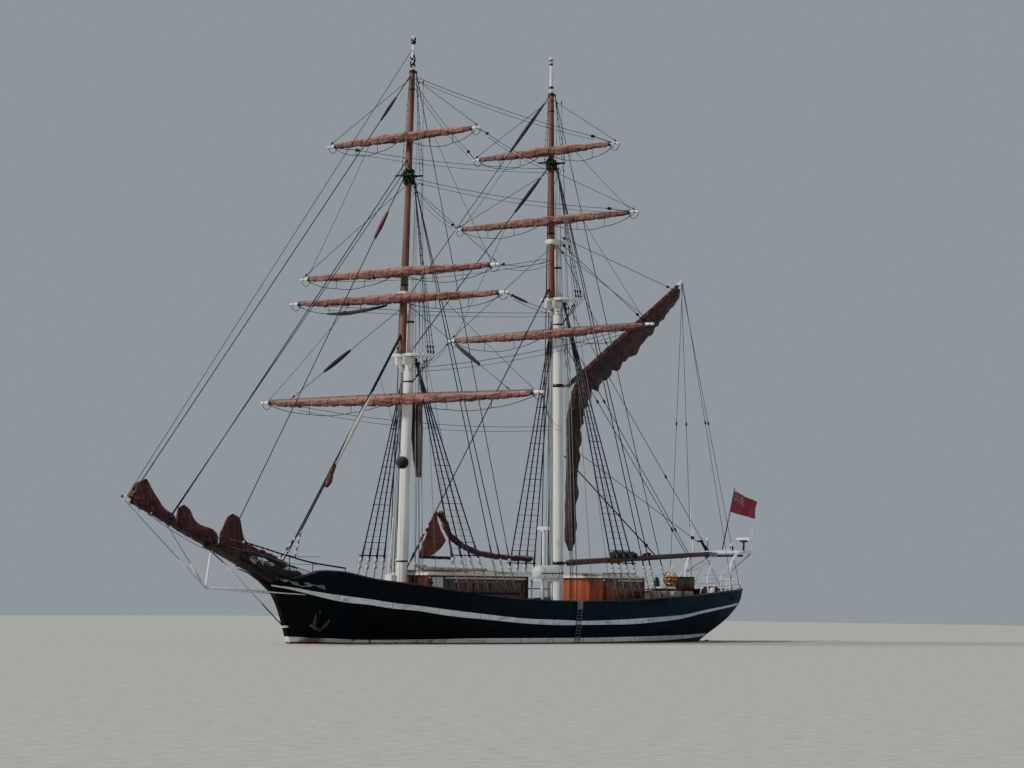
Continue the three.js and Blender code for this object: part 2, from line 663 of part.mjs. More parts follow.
// A gaff or boom with the eye that sits on its bracket.
function makeSwingingSpar({ inner, outer, radii }) {
  const z = inner[1];
  const pinX = mastX("main", z) - lowerRadius("main", z) - GOOSENECK.pinBehind;
  const half = GOOSENECK.halfWidth - GOOSENECK.cheek;
  const thick = GOOSENECK.plate / 2;
  const eye = span(inner[0] - GOOSENECK.bite, -half, z - thick, pinX + GOOSENECK.eye, half, z + thick);
  return join(bar([inner[0] - GOOSENECK.back, 0, z], [outer[0], 0, outer[1]], ...radii), eye);
}

function makeSpankerSail() {
  const cloth = sidePlate(SPANKER_OUTLINE, SPANKER_THICKNESS);
  const [x0, z0] = [GAFF.inner[0] - GOOSENECK.back, GAFF.inner[1]];
  const [innerRadius, outerRadius] = GAFF.radii.map((radius) => radius + SEAT);
  const clearGaff = bar([x0, 0, z0], [GAFF.outer[0], 0, GAFF.outer[1]], innerRadius, outerRadius);
  const clearJaw = JAW_ROOM.map(([aft, fore, half, below, above]) =>
    span(aft, -half, z0 - below, fore, half, z0 + above),
  );
  return cut(cloth, clearGaff, ...clearJaw);
}

const spritSlope = (SPRIT.tip[1] - SPRIT.heel[1]) / (SPRIT.tip[0] - SPRIT.heel[0]);
const spritZ = (x) => SPRIT.heel[1] + spritSlope * (x - SPRIT.heel[0]);

function spritBar(from, to, r0, r1) {
  return bar([from[0], 0, spritZ(from[0])], [to[0], 0, spritZ(to[0])], r0, r1);
}

function makeBowsprit() {
  const [from, to] = [SPRIT.cap[0] - SPRIT_BAND.length, SPRIT.cap[0]];
  const band = bar([from, 0, spritZ(from)], [to, 0, spritZ(to)], SPRIT_RADIUS.cap + SPRIT_BAND.proud);
  return join(spritBar(SPRIT.heel, SPRIT.cap, SPRIT_RADIUS.heel, SPRIT_RADIUS.cap), band);
}

function makeJibBoom() {
  return spritBar([SPRIT.cap[0] + SEAT], SPRIT.tip, SPRIT_RADIUS.boom, SPRIT_RADIUS.tip);
}

// The bowsprit and jib boom with the usual gap all round.
function clearSprit() {
  const cap = SPRIT.cap[0];
  const bandRadius = SPRIT_RADIUS.cap + SPRIT_BAND.proud + SEAT;
  return join(
    spritBar(SPRIT.heel, SPRIT.cap, SPRIT_RADIUS.heel + SEAT, SPRIT_RADIUS.cap + SEAT),
    spritBar([cap - SPRIT_BAND.length - SEAT], [cap + SEAT], bandRadius, bandRadius),
    spritBar([cap - BITE], [SPRIT.tip[0] + BITE], SPRIT_RADIUS.boom + SEAT, SPRIT_RADIUS.tip + SEAT),
  );
}

function makeStriker() {
  const { top, foot, radius, taper } = STRIKER;
  const post = bar([top[0], 0, top[1]], [foot[0], 0, foot[1]], radius, radius * taper);
  return cut(post, clearSprit());
}

// A stay as a straight bar, or the space round it that its neighbours keep clear of.
function stayBar(name, grow = 0) {
  const [[x0, z0], [x1, z1], radius] = STAYS[name];
  const beyond = (PAST * grow) / Math.hypot(x1 - x0, z1 - z0);
  const from = [x0 - (x1 - x0) * beyond, 0, z0 - (z1 - z0) * beyond];
  const to = [x1 + (x1 - x0) * beyond, 0, z1 + (z1 - z0) * beyond];
  return bar(from, to, radius + grow, radius + grow, WIRE_SIDES);
}

// A stay, cut back where it meets its masts and the bowsprit.
function makeStay(name) {
  return cut(stayBar(name), ...clearMasts(), clearSprit());
}

const clearMasts = () =>
  ["fore", "main"].flatMap((mast) => {
    const { footZ, topZ, headZ } = MASTS[mast];
    const lower = (z) => [mastX(mast, z), 0, z];
    const upper = (z) => [topmastX(mast, z), 0, z];
    return [
      bar(lower(footZ), lower(topZ), LOWER_RADIUS.foot + SEAT, LOWER_RADIUS.top + SEAT),
      bar(upper(topZ), upper(headZ), TOPMAST_RADIUS.heel + SEAT, TOPMAST_RADIUS.head + SEAT),
    ];
  });

// A headsail furled on the spar, with its head gathered up the stay.
function makeHeadsail(name) {
  const [aftX, foreX, radius, peakX, peakZ] = HEADSAILS[name];
  const { stations, sides, endShare, up, wide, peakAhead, peakUp, peakShare, peakTip } = STOWED;
  const rings = stations.map((t) => {
    const x = aftX + (foreX - aftX) * t;
    const size = t === 0 || t === 1 ? radius * endShare : radius;
    const ring = [];
    for (let k = 0; k < sides; k++) {
      const a = (k / sides) * Math.PI * 2;
      ring.push(new THREE.Vector3(x, size * wide * Math.cos(a), spritZ(x) + up + size * Math.sin(a)));
    }
    return ring;
  });
  const foot = [peakX + peakAhead, 0, spritZ(peakX + peakAhead) + peakUp];
  const peak = bar(foot, [peakX, 0, peakZ], radius * peakShare, peakTip, sides);
  const stays = Object.keys(STAYS).map((stay) => stayBar(stay, SEAT));
  return cut(join(loft(rings), peak), clearSprit(), ...stays);
}

// The points at the mast that a side's rigging lines come down from.
function hounds(mast, side) {
  const { topZ, crossZ, headZ } = MASTS[mast];
  const heights = { lower: topZ, topmast: crossZ, pole: headZ };
  const places = {};
  for (const [name, [aft, out, down]] of Object.entries(HOUNDS)) {
    const axis = name === "lower" ? mastX(mast, heights[name]) : topmastX(mast, heights[name]);
    places[name] = [axis - aft, side * out, heights[name] - down];
  }
  return places;
}

function channelY(mast, x) {
  const [[x0, y0], [x1, y1]] = SHROUDS[mast].side;
  return y0 + ((y1 - y0) * (x - x0)) / (x1 - x0);
}

function makeShrouds(mast, side) {
  const { channel, lower, topmastBack, topgallantBack } = SHROUDS[mast];
  const top = hounds(mast, side);
  const foot = (x) => [x, side * channelY(mast, x), channel.z];
  const line = (from, to, radius) => bar(from, to, radius, radius, WIRE_SIDES);
  const lines = [
    ...lower.map((x) => line(foot(x), top.lower, WIRE_RADIUS.lower)),
    ...topmastBack.map((x) => line(foot(x), top.topmast, WIRE_RADIUS.back)),
    ...topgallantBack.map((x) => line(foot(x), top.pole, WIRE_RADIUS.back)),
  ];
  const { topZ, crossZ } = MASTS[mast];
  const platformTop = topZ + TOP_PLATFORM.thickness + 2 * SEAT;
  const rimX = mastX(mast, topZ);
  TOPMAST_SHROUD_FEET.forEach((dx) => {
    const rim = [rimX + dx, side * (TOP_PLATFORM.halfWidth - TOP_PLATFORM.rim), platformTop];
    lines.push(line(rim, top.topmast, WIRE_RADIUS.topmast));
  });
  const treeY = CROSSTREES.halfWidth - CROSSTREES.bar;
  const treeTip = [topmastX(mast, crossZ) + CROSSTREES.aft, side * treeY, crossZ + CROSSTREES.bar];
  lines.push(line(treeTip, top.pole, WIRE_RADIUS.topmast));
  const eyes = [top.lower, top.topmast, top.pole].map((place) => block(...place, ...HOUND_EYE));
  const fan = join(channelBoard(mast, side), ...lines, ...eyes);
  return cut(fan, ...bulwarkSpace(), platformSpace(mast), ...clearMasts());
}

// The box round a top's platform that the pieces standing on it are cut back from.
function platformSpace(mast) {
  const { topZ } = MASTS[mast];
  const { aft, fore, halfWidth, thickness } = TOP_PLATFORM;
  const x = mastX(mast, topZ);
  const half = halfWidth + 2 * SEAT;
  return span(x + aft - 2 * SEAT, -half, topZ, x + fore + 2 * SEAT, half, topZ + thickness + 2 * SEAT);
}

// The plank outside the bulwark that spreads the shrouds.
function channelBoard(mast, side) {
  const { channel } = SHROUDS[mast];
  const { width, thickness, beyond, steps } = CHANNEL;
  const from = channel.foreX + beyond;
  const length = channel.aftX - channel.foreX - 2 * beyond;
  const xs = Array.from({ length: steps + 1 }, (_, i) => from + (length * i) / steps);
  const outer = xs.map((x) => [x, side * (channelY(mast, x) + width / 2)]);
  const inner = xs.map((x) => [x, side * (channelY(mast, x) - width)]).reverse();
  return floorPlate([...outer, ...inner], channel.z - thickness, thickness);
}

// The bulwark and its rail with the usual gap, as solids that outboard pieces are cut back from.
function bulwarkSpace() {
  const rows = movedStations(STATION_SHIFT);
  const wall = slab(rows, (s) => [s[6] + SEAT, s[7]], (s) => [s[8] + SEAT, s[9] - BITE]);
  const wide = (s) => s[8] + RAIL_OVERHANG + SEAT;
  const rail = slab(rows, (s) => [wide(s), s[9] - RAIL_THICKNESS - SEAT], (s) => [wide(s), s[9] + SEAT]);
  return [wall, rail];
}

function houseDoorSpace(name, clear) {
  const { halfWidth, floor } = HOUSES[name];
  const foreX = DOOR_AT[name];
  const z0 = floor + DOOR.sill;
  return span(
    foreX - DOOR.width - clear,
    halfWidth - HOUSE_WALL - PAST,
    z0 - clear,
    foreX + clear,
    halfWidth + PAST,
    z0 + DOOR.height + clear,
  );
}

function makeHouse(name) {
  const { aft, fore, halfWidth, top } = HOUSES[name];
  const floor = houseFloor(name);
  const outer = span(aft, -halfWidth, floor, fore, halfWidth, top);
  const innerHalf = halfWidth - HOUSE_WALL;
  const inner = span(aft + HOUSE_WALL, -innerHalf, floor - PAST, fore - HOUSE_WALL, innerHalf, top + PAST);
  const windows = WINDOWS[name].map((x) =>
    span(x - WINDOW.width / 2, -halfWidth - PAST, WINDOW.sillZ, x + WINDOW.width / 2, halfWidth + PAST,
      WINDOW.sillZ + WINDOW.height),
  );
  const walls = cut(outer, inner, houseDoorSpace(name, DOOR.gap), deckSpace(), ...windows);
  return join(walls, ...hingeEnds(name));
}

// The houses stand on the sloping deck, so their walls are cut back to its top.
const houseFloor = (name) => HOUSES[name].floor - HOUSES[name].bury;
const deckSpace = () => {
  const rows = STATIONS.filter((s) => s[0] >= BREAK_FORE && s[0] <= UNDER_DECK.foreX);
  const half = UNDER_DECK.mainHalf;
  return slab(rows, (s) => [half, s[7] - UNDER_DECK.depth], (s) => [half, s[7] + DECK_THICKNESS + SEAT]);
};

function hingeLine(name) {
  return { x: DOOR_AT[name], y: HOUSES[name].halfWidth + HINGE.out };
}

function hingeEnds(name) {
  const { x, y } = hingeLine(name);
  const z0 = HOUSES[name].floor + DOOR.sill;
  const barrel = (low, high) => {
    const [from, to] = [z0 + DOOR.height * low, z0 + DOOR.height * high];
    const leaf = span(x, y - HINGE.depth, from, x + HINGE.reach, y, to);
    return join(bar([x, y, from], [x, y, to], HINGE.radius, HINGE.radius, HINGE.sides), leaf);
  };
  return [barrel(HINGE.low, HINGE.high), barrel(1 - HINGE.high, 1 - HINGE.low)];
}

function makeDoor(name) {
  const { x, y } = hingeLine(name);
  const { halfWidth, floor } = HOUSES[name];
  const z0 = floor + DOOR.sill;
  const inside = halfWidth - DOOR.thickness;
  const leaf = span(x - DOOR.width, inside, z0, x - HINGE.play, halfWidth, z0 + DOOR.height);
  const low = z0 + DOOR.height * HINGE.high + SEAT;
  const high = z0 + DOOR.height * (1 - HINGE.high) - SEAT;
  const barrel = bar([x, y, low], [x, y, high], HINGE.radius, HINGE.radius, HINGE.sides);
  const strap = span(x - HINGE.reach, halfWidth - HINGE.play, low, x, y + HINGE.strapOut, high);
  return join(leaf, barrel, strap);
}

function makeRoof(name) {
  const { aft, fore, halfWidth, top, roofAft, roofFore } = HOUSES[name];
  const low = top + SEAT;
  const edge = halfWidth + ROOF.overhang;
  const half = ROOF.camber.map(([y, z]) => [edge * y, low + ROOF.thickness + ROOF.crown * z]);
  const starboard = half.slice(0, -1).map(([y, z]) => [-y, z]).reverse();
  const outline = [[edge, low], ...half, ...starboard, [-edge, low]];
  const ring = (x) => outline.map(([y, z]) => new THREE.Vector3(x, y, z));
  return loft([ring(aft - roofAft), ring(fore + roofFore)]);
}

function makeRudder() {
  const blade = sidePlate(RUDDER_BLADE, RUDDER_THICKNESS);
  const { radius, fromZ, pintleRadius, pintleZ } = RUDDER_STOCK;
  const stock = bar([RUDDER_X, 0, fromZ], [RUDDER_X, 0, RUDDER_TRUNK.bottomZ], radius);
  const pintle = bar([RUDDER_X, 0, pintleZ], [RUDDER_X, 0, HEEL_TOP_Z + SEAT], pintleRadius);
  return join(blade, stock, pintle);
}

function makePropeller() {
  const { hubRadius, hubLength, coneShare, tipRadius, blades, blade: form } = PROPELLER;
  const x = SHAFT_BOSS.aftX - SEAT;
  const hub = bar([x, 0, SHAFT_Z], [x - hubLength, 0, SHAFT_Z], hubRadius, hubRadius * coneShare);
  const made = [];
  for (let k = 0; k < blades; k++) {
    const reach = tipRadius * form.radiusShare;
    const blade = new THREE.CylinderGeometry(reach, reach, form.thickness, form.sides);
    blade.scale(1, 1, form.widthShare);
    blade.translate(tipRadius - reach, 0, 0);
    blade.rotateX(THREE.MathUtils.degToRad(form.pitch));
    blade.rotateY(-Math.PI / 2);
    blade.rotateX((k / blades) * Math.PI * 2);
    blade.translate(x - hubLength / 2, 0, SHAFT_Z);
    made.push(solid(blade));
  }
  return join(hub, ...made);
}

function makeWheel() {
  const { x, z, rim, handle, hub, spokes, depth, felloe, nose, rod, rodSides, sides } = WHEEL;
  const ring = cut(
    bar([x, 0, z], [x + depth, 0, z], rim, rim, sides),
    bar([x - PAST, 0, z], [x + depth + PAST, 0, z], rim - felloe, rim - felloe, sides),
  );
  const barrel = bar([WHEEL_BOX.fore + SEAT, 0, z], [x + depth + nose, 0, z], hub);
  const rods = [];
  for (let k = 0; k < spokes; k++) {
    const a = (k / spokes) * Math.PI * 2;
    const tip = [x + depth / 2, Math.sin(a) * handle, z + Math.cos(a) * handle];
    rods.push(bar([x + depth / 2, 0, z], tip, rod, rod, rodSides));
  }
  return join(ring, barrel, ...rods);
}

// The top of the deck planks at a given x.
const deckTop = (x) => stationAt(x)[7] + DECK_THICKNESS;

// The quarterdeck's planks and the space under them, cut away from what stands on them.
function quarterDeckSpace() {
  const rows = STATIONS.filter((s) => s[0] <= BREAK_AFT);
  const half = UNDER_DECK.quarterHalf;
  return slab(rows, (s) => [half, s[7] - UNDER_DECK.depth], (s) => [half, s[7] + DECK_THICKNESS + SEAT]);
}

function makeWheelBox() {
  const { fore, aft, halfWidth, top, seatLength, seatHalf, seatTop } = WHEEL_BOX;
  const base = deckTop(fore) - PAST;
  const box = span(aft, -halfWidth, base, fore, halfWidth, top);
  const seat = span(aft - seatLength, -seatHalf, base, aft, seatHalf, seatTop);
  return cut(join(box, seat), quarterDeckSpace());
}

function makeRaft() {
  const { x, y, z, radius, length, dome, domeShare, sides, legX, legY, leg, sink, rack } = RAFT;
  const half = length / 2;
  const body = join(
    bar([x - half, y, z], [x + half, y, z], radius, radius, sides),
    bar([x - half - dome, y, z], [x - half, y, z], radius * domeShare, radius, sides),
    bar([x + half, y, z], [x + half + dome, y, z], radius, radius * domeShare, sides),
  );
  const frameZ = z - radius + sink;
  const parts = [span(x - legX, y - legY - leg, frameZ - rack, x + legX, y + legY + leg, frameZ)];
  for (const dx of [-legX + leg, legX - leg])
    for (const dy of [-legY, legY]) {
      const base = deckTop(x + dx) - PAST;
      parts.push(span(x + dx - leg, y + dy - leg, base, x + dx + leg, y + dy + leg, frameZ));
    }
  return cut(join(body, ...parts), deckSpace());
}

function makeDeckRadar() {
  const { x, post, footShare, flange, flangeHeight, top, scanner } = DECK_RADAR;
  const [sx, sy, sz] = scanner;
  const base = deckTop(x) - PAST;
  const radar = join(
    bar([x, 0, base], [x, 0, top], post * footShare, post),
    bar([x, 0, base], [x, 0, deckTop(x) + flangeHeight], flange),
    block(x, 0, top + sz / 2 - BITE, sx, sy, sz),
  );
  return cut(radar, deckSpace());
}

function makeWindlass() {
  const { x, halfWidth, radius, z, drum, drumShare, sides, cheek, cheekY, pawl } = WINDLASS;
  const barrel = bar([x, -halfWidth, z], [x, halfWidth, z], radius, radius, sides);
  const ends = [-1, 1].map((side) =>
    bar([x, side * halfWidth, z], [x, side * (halfWidth + drum), z], radius * drumShare, radius, sides),
  );
  const upright = (y, { length, width, top }) =>
    span(x - length / 2, y - width / 2, deckTop(x) - PAST, x + length / 2, y + width / 2, z + top);
  const posts = [upright(-cheekY, cheek), upright(cheekY, cheek), upright(0, pawl)];
  return cut(join(barrel, ...ends, ...posts), deckSpace());
}

function makeGantry() {
  const { foot, radius, flange, flangeHeight, bend, brace, braceRadius, beam, platform } = GANTRY;
  const [footX, footY] = foot;
  const base = deckTop(footX) + SEAT;
  const topZ = platform.z + platform.thickness;
  const parts = [
    span(platform.aft, -platform.half, platform.z, platform.fore, platform.half, topZ),
    span(beam.aft, -beam.half, beam.low, beam.fore, beam.half, beam.top),
  ];
  for (const side of [-1, 1]) {
    const beside = ([x, y, z]) => [x, side * y, z];
    const leg = [[footX, footY, base], ...bend].map(beside);
    leg.slice(1).forEach((point, i) => parts.push(bar(leg[i], point, radius)));
    parts.push(bar(...brace.map(beside), braceRadius, braceRadius, YARD_SIDES));
    parts.push(block(footX, side * footY, base + flangeHeight / 2, flange * 2, flange * 2, flangeHeight));
  }
  const { postX, postY, postHeight, postRadius, scanner } = STERN_RADAR;
  const [sx, sy, sz] = scanner;
  const scannerZ = topZ + postHeight;
  const underside = platform.z + BITE;
  parts.push(bar([postX, postY, underside], [postX, postY, scannerZ], postRadius, postRadius, YARD_SIDES));
  parts.push(block(postX, postY, scannerZ + sz / 2 - BITE, sx, sy, sz));
  const { x, y: domeY, height, foot: domeFoot, top: domeTop } = STERN_DOME;
  parts.push(bar([x, domeY, underside], [x, domeY, topZ + height], domeFoot, domeTop, YARD_SIDES));
  parts.push(staffBar(0));
  return cut(join(...parts), quarterDeckSpace());
}

// The ensign staff, or the space round it.
function staffBar(grow) {
  const { base, top, radius, tip } = STAFF;
  return bar([base[0], 0, base[1]], [top[0], 0, top[1]], radius + grow, tip + grow, YARD_SIDES);
}

function makeFlag() {
  return cut(sidePlate(FLAG, FLAG_THICKNESS), staffBar(SEAT));
}

function makeAnchor(side) {
  const { x, z, shank, hawse, crown, crownRadius, crownOut } = ANCHOR;
  const { flukes, flukeOut, flukeRadius, flukeTip } = ANCHOR;
  const beside = (dx, dz, out) => [x + dx, side * (hullHalfAt(x + dx, z + dz) + out), z + dz];
  const [crownFore, crownAft] = crown.map(([dx, dz]) => beside(dx, dz, crownOut));
  const parts = [
    bar(crownFore, crownAft, crownRadius, crownRadius, YARD_SIDES),
    bar(beside(0, 0, crownOut), beside(...hawse, SEAT), shank, shank, YARD_SIDES),
  ];
  for (const [[rootX, rootZ], [tipX, tipZ]] of flukes) {
    const [root, tip] = [beside(rootX, rootZ, crownOut), beside(tipX, tipZ, flukeOut)];
    parts.push(bar(root, tip, flukeRadius, flukeTip, YARD_SIDES));
  }
  const hullBody = loft(STATIONS.map((s) => hullRing(grownSection(s))));
  return cut(join(...parts), hullBody, ...bulwarkSpace());
}

const grownSection = (s) => [
  s[0], s[1] - SEAT, s[2] + SEAT, s[3] - SEAT, s[4] + SEAT, s[5], s[6] + SEAT, s[7],
];

// Half width of the hull side at x and height z, below the deck or on the bulwark.
function hullHalfAt(x, z) {
  const s = stationAt(x);
  if (z >= s[7]) return THREE.MathUtils.mapLinear(z, s[7], s[9], s[6], s[8]);
  const ring = hullRing(s).filter((p) => p.y > 0).sort((a, b) => a.z - b.z);
  const k = Math.max(1, ring.findIndex((p) => p.z >= z));
  return THREE.MathUtils.mapLinear(z, ring[k - 1].z, ring[k].z, ring[k - 1].y, ring[k].y);
}

function makeStaysail() {
  return cut(sidePlate(STAYSAIL, STAYSAIL_THICKNESS), stayBar("mainstay", SEAT), ...clearMasts());
}

function makeTrysail() {
  return cut(sidePlate(TRYSAIL, TRYSAIL_THICKNESS), ...clearMasts());
}

// Colour, roughness and metalness of each material.
const PAINTS = {
  navy: [0x0c1524, 0.45, 0.0],
  railBrown: [0x4a3022, 0.55, 0.0],
  planks: [0x8a6f52, 0.7, 0.0],
  whitePaint: [0xe6e6e0, 0.45, 0.0],
  varnish: [0x8a4322, 0.35, 0.0],
  mahogany: [0x6e2c17, 0.35, 0.0],
  tanCanvas: [0x8e3a26, 0.9, 0.0],
  tarredWire: [0x14161a, 0.6, 0.2],
  bronze: [0x9a7436, 0.35, 0.9],
  rustyIron: [0x5a3a28, 0.8, 0.4],
  redBunting: [0xb42a2a, 0.8, 0.0],
};

const ship = new THREE.Group();

function place(name, body, paint) {
  const [color, roughness, metalness] = PAINTS[paint];
  const material = new THREE.MeshStandardMaterial({ color, roughness, metalness });
  const mesh = new THREE.Mesh(geometryOf(body), material);
  mesh.name = name;
  ship.add(mesh);
}

place("hull", makeHull(), "navy");
place("bulwark", makeBulwark(), "navy");
place("deck", makeDeck(), "planks");
place("rudder", makeRudder(), "navy");
place("propeller", makePropeller(), "bronze");
place("bowsprit", makeBowsprit(), "varnish");
place("jib_boom", makeJibBoom(), "varnish");
place("dolphin_striker", makeStriker(), "whitePaint");
for (const mast of ["fore", "main"]) {
  place(mast + "_lower_mast", makeLowerMast(mast), "whitePaint");
  place(mast + "_top", makeTop(mast), "whitePaint");
  place(mast + "_topmast", makeTopmast(mast), "varnish");
  place(mast + "_shrouds_port", makeShrouds(mast, 1), "tarredWire");
  place(mast + "_shrouds_starboard", makeShrouds(mast, -1), "tarredWire");
}
for (const name of Object.keys(YARDS)) {
  place(name + "_yard", makeYard(name), "varnish");
  place(name + "_sail", makeFurledSail(name), "tanCanvas");
}
for (const name of Object.keys(STAYS)) place(name, makeStay(name), "tarredWire");
for (const name of Object.keys(HEADSAILS)) place(name, makeHeadsail(name), "tanCanvas");
place("main_staysail", makeStaysail(), "tanCanvas");
place("fore_trysail", makeTrysail(), "tanCanvas");
place("gaff", makeSwingingSpar(GAFF), "varnish");
place("spanker_boom", makeSwingingSpar(BOOM), "varnish");
place("spanker_sail", makeSpankerSail(), "tanCanvas");
for (const name of Object.keys(HOUSES)) {
  place(name, makeHouse(name), "mahogany");
  place(name + "_roof", makeRoof(name), "whitePaint");
  place(name + "_door", makeDoor(name), "whitePaint");
}
place("steering_wheel", makeWheel(), "bronze");
place("wheel_box", makeWheelBox(), "mahogany");
place("liferaft", makeRaft(), "whitePaint");
place("deck_radar", makeDeckRadar(), "whitePaint");
place("windlass", makeWindlass(), "rustyIron");
place("gantry", makeGantry(), "whitePaint");
place("flag", makeFlag(), "redBunting");
place("anchor_port", makeAnchor(1), "rustyIron");
place("anchor_starboard", makeAnchor(-1), "rustyIron");

export default ship;
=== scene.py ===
"""Looks of a two-masted square-rigged sailing ship, a 1:2 model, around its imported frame.

Metres, +X towards the bow, +Y to port, +Z up, with the waterline at z = 0.
"""

import math
import random

import bmesh
import bpy
from mathutils import Matrix, Quaternion, Vector, noise


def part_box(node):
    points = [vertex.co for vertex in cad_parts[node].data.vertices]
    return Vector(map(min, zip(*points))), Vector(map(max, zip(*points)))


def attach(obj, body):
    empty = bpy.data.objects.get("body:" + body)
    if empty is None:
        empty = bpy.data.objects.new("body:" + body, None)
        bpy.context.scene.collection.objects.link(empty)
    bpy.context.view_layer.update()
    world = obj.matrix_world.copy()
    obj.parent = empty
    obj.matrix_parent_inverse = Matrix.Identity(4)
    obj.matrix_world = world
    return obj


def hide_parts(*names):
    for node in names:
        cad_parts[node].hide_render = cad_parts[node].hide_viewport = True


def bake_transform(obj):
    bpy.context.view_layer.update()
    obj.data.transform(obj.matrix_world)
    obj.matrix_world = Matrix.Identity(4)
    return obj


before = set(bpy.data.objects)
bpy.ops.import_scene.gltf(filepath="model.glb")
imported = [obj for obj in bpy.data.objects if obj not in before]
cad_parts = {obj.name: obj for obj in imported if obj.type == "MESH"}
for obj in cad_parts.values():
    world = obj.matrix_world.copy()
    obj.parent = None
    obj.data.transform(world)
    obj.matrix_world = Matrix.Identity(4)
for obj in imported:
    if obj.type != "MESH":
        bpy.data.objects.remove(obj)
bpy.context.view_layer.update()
SHIP = "ship"

# Camera of the photograph: place, heading, pitch, roll and lens.
CAMERA_AT = Vector((51.155, 45.82, 1.035))
CAMERA_HEADING = math.radians(41.91)
CAMERA_PITCH = math.radians(4.054)
CAMERA_ROLL = math.radians(0.555)
CAMERA_LENS = 105.47
SENSOR_WIDTH = 36.0

# Hull stations from the taffrail to the stem.
# x, bottom z, floor y, floor z, turn y, turn z, deck edge y, deck z, rail y, rail z
STATIONS = [
    (-8.150, 1.000, 0.075, 1.000, 0.150, 1.010, 0.200, 1.050, 0.250, 1.260),
    (-8.000, 0.900, 0.150, 0.900, 0.310, 0.925, 0.390, 1.045, 0.440, 1.255),
    (-7.700, 0.650, 0.225, 0.650, 0.500, 0.725, 0.610, 1.030, 0.660, 1.245),
    (-7.200, 0.330, 0.250, 0.330, 0.700, 0.475, 0.840, 1.010, 0.890, 1.225),
    (-6.550, -0.010, 0.250, 0.025, 0.850, 0.225, 1.040, 0.985, 1.090, 1.195),
    (-5.900, -0.375, 0.225, -0.275, 0.975, -0.075, 1.210, 0.960, 1.250, 1.155),
    (-5.000, -0.725, 0.300, -0.625, 1.175, -0.375, 1.400, 0.920, 1.440, 1.100),
    (-4.000, -0.900, 0.480, -0.850, 1.400, -0.550, 1.550, 0.880, 1.590, 1.050),
    (-2.000, -1.125, 0.700, -1.075, 1.625, -0.775, 1.680, 0.465, 1.720, 0.955),
    (0.000, -1.175, 0.700, -1.125, 1.700, -0.800, 1.710, 0.450, 1.750, 0.930),
    (1.500, -1.150, 0.650, -1.100, 1.675, -0.750, 1.700, 0.475, 1.750, 0.965),
    (3.000, -1.100, 0.500, -1.000, 1.450, -0.650, 1.600, 0.540, 1.660, 1.070),
    (4.500, -0.975, 0.300, -0.850, 1.050, -0.450, 1.340, 0.665, 1.435, 1.240),
    (5.650, -0.800, 0.150, -0.600, 0.600, -0.200, 1.000, 0.760, 1.135, 1.360),
    (6.400, -0.550, 0.075, -0.350, 0.300, 0.000, 0.660, 0.815, 0.835, 1.510),
    (6.750, -0.375, 0.050, -0.225, 0.190, 0.150, 0.460, 0.840, 0.650, 1.525),
    (7.100, 0.060, 0.035, 0.110, 0.095, 0.380, 0.250, 0.865, 0.425, 1.400),
    (7.400, 0.830, 0.020, 0.840, 0.050, 0.860, 0.120, 0.885, 0.260, 1.350),
    (7.650, 1.125, 0.020, 1.130, 0.030, 1.140, 0.040, 1.150, 0.110, 1.330),
]
BREAK_X = -3.985
WALL = 0.050
RAIL_OVERHANG = 0.028
RAIL_WIDTH = 0.110
RAIL_THICKNESS = 0.032
PLANK = 0.026

# Keel, sternpost, stem and the knee of the head, seen from the side: x, z
BACKBONE_OUTER = [
    (-5.950, -0.200), (-5.950, -1.300), (-6.700, -1.300), (-6.700, -1.375), (4.000, -1.375),
    (5.300, -1.250), (6.150, -0.950), (6.750, -0.500), (7.050, -0.100), (7.155, 0.175),
    (7.255, 0.450), (7.355, 0.700), (7.455, 0.880), (7.535, 1.015), (7.725, 1.165),
    (7.930, 1.310), (8.200, 1.450),
]
BACKBONE_INNER = [
    (7.950, 1.355), (7.700, 1.255), (7.500, 1.165), (7.300, 0.800), (6.900, 0.200),
    (6.300, -0.350), (5.000, -0.850), (0.000, -1.100), (-4.000, -0.840), (-5.600, -0.420),
]
BACKBONE_HALF = 0.060
# Deck under its planks, on the quarterdeck and on the main deck: x, z
QUARTERDECK = [(-8.15, 1.05), (-7.2, 1.01), (-5.0, 0.92), (-4.0, 0.88)]
MAIN_DECK = [
    (-3.975, 0.5), (-2.0, 0.465), (0.0, 0.45), (1.5, 0.475), (3.0, 0.54), (4.5, 0.665),
    (5.65, 0.76), (6.4, 0.815), (6.75, 0.84), (7.1, 0.865), (7.65, 0.9),
]
# Colour bands of the keel and stem: paint, lowest and highest z
BACKBONE_BANDS = [("antifouling", -9, 0.040), ("boot_paint", 0.040, 0.150), ("hull_low", 0.150, 9)]

# White sheer stripe and boot stripe on the side: x, top z, bottom z
SHEER_STRIPE = [
    (7.66, 1.235, 1.205), (7.205, 1.180, 1.120), (6.740, 1.095, 1.000), (6.230, 1.020, 0.885),
    (5.690, 0.955, 0.830), (5.140, 0.880, 0.755), (4.555, 0.825, 0.710), (3.725, 0.740, 0.605),
    (2.225, 0.610, 0.495), (1.410, 0.555, 0.440), (0.135, 0.525, 0.405), (-0.545, 0.510, 0.410),
    (-1.900, 0.540, 0.420), (-3.345, 0.600, 0.480), (-4.380, 0.645, 0.555), (-5.210, 0.735, 0.660),
    (-6.105, 0.820, 0.750), (-6.900, 0.885, 0.825), (-7.500, 0.935, 0.885),
]
BOOT_STRIPE = [
    (7.10, 0.150, 0.040), (6.3, 0.118, 0.032), (5.5, 0.088, 0.010), (4.0, 0.105, 0.012),
    (2.5, 0.125, 0.015), (-0.5, 0.125, 0.020), (-2.0, 0.140, 0.035), (-3.5, 0.155, 0.045),
    (-5.0, 0.175, 0.085), (-6.1, 0.200, 0.130),
]

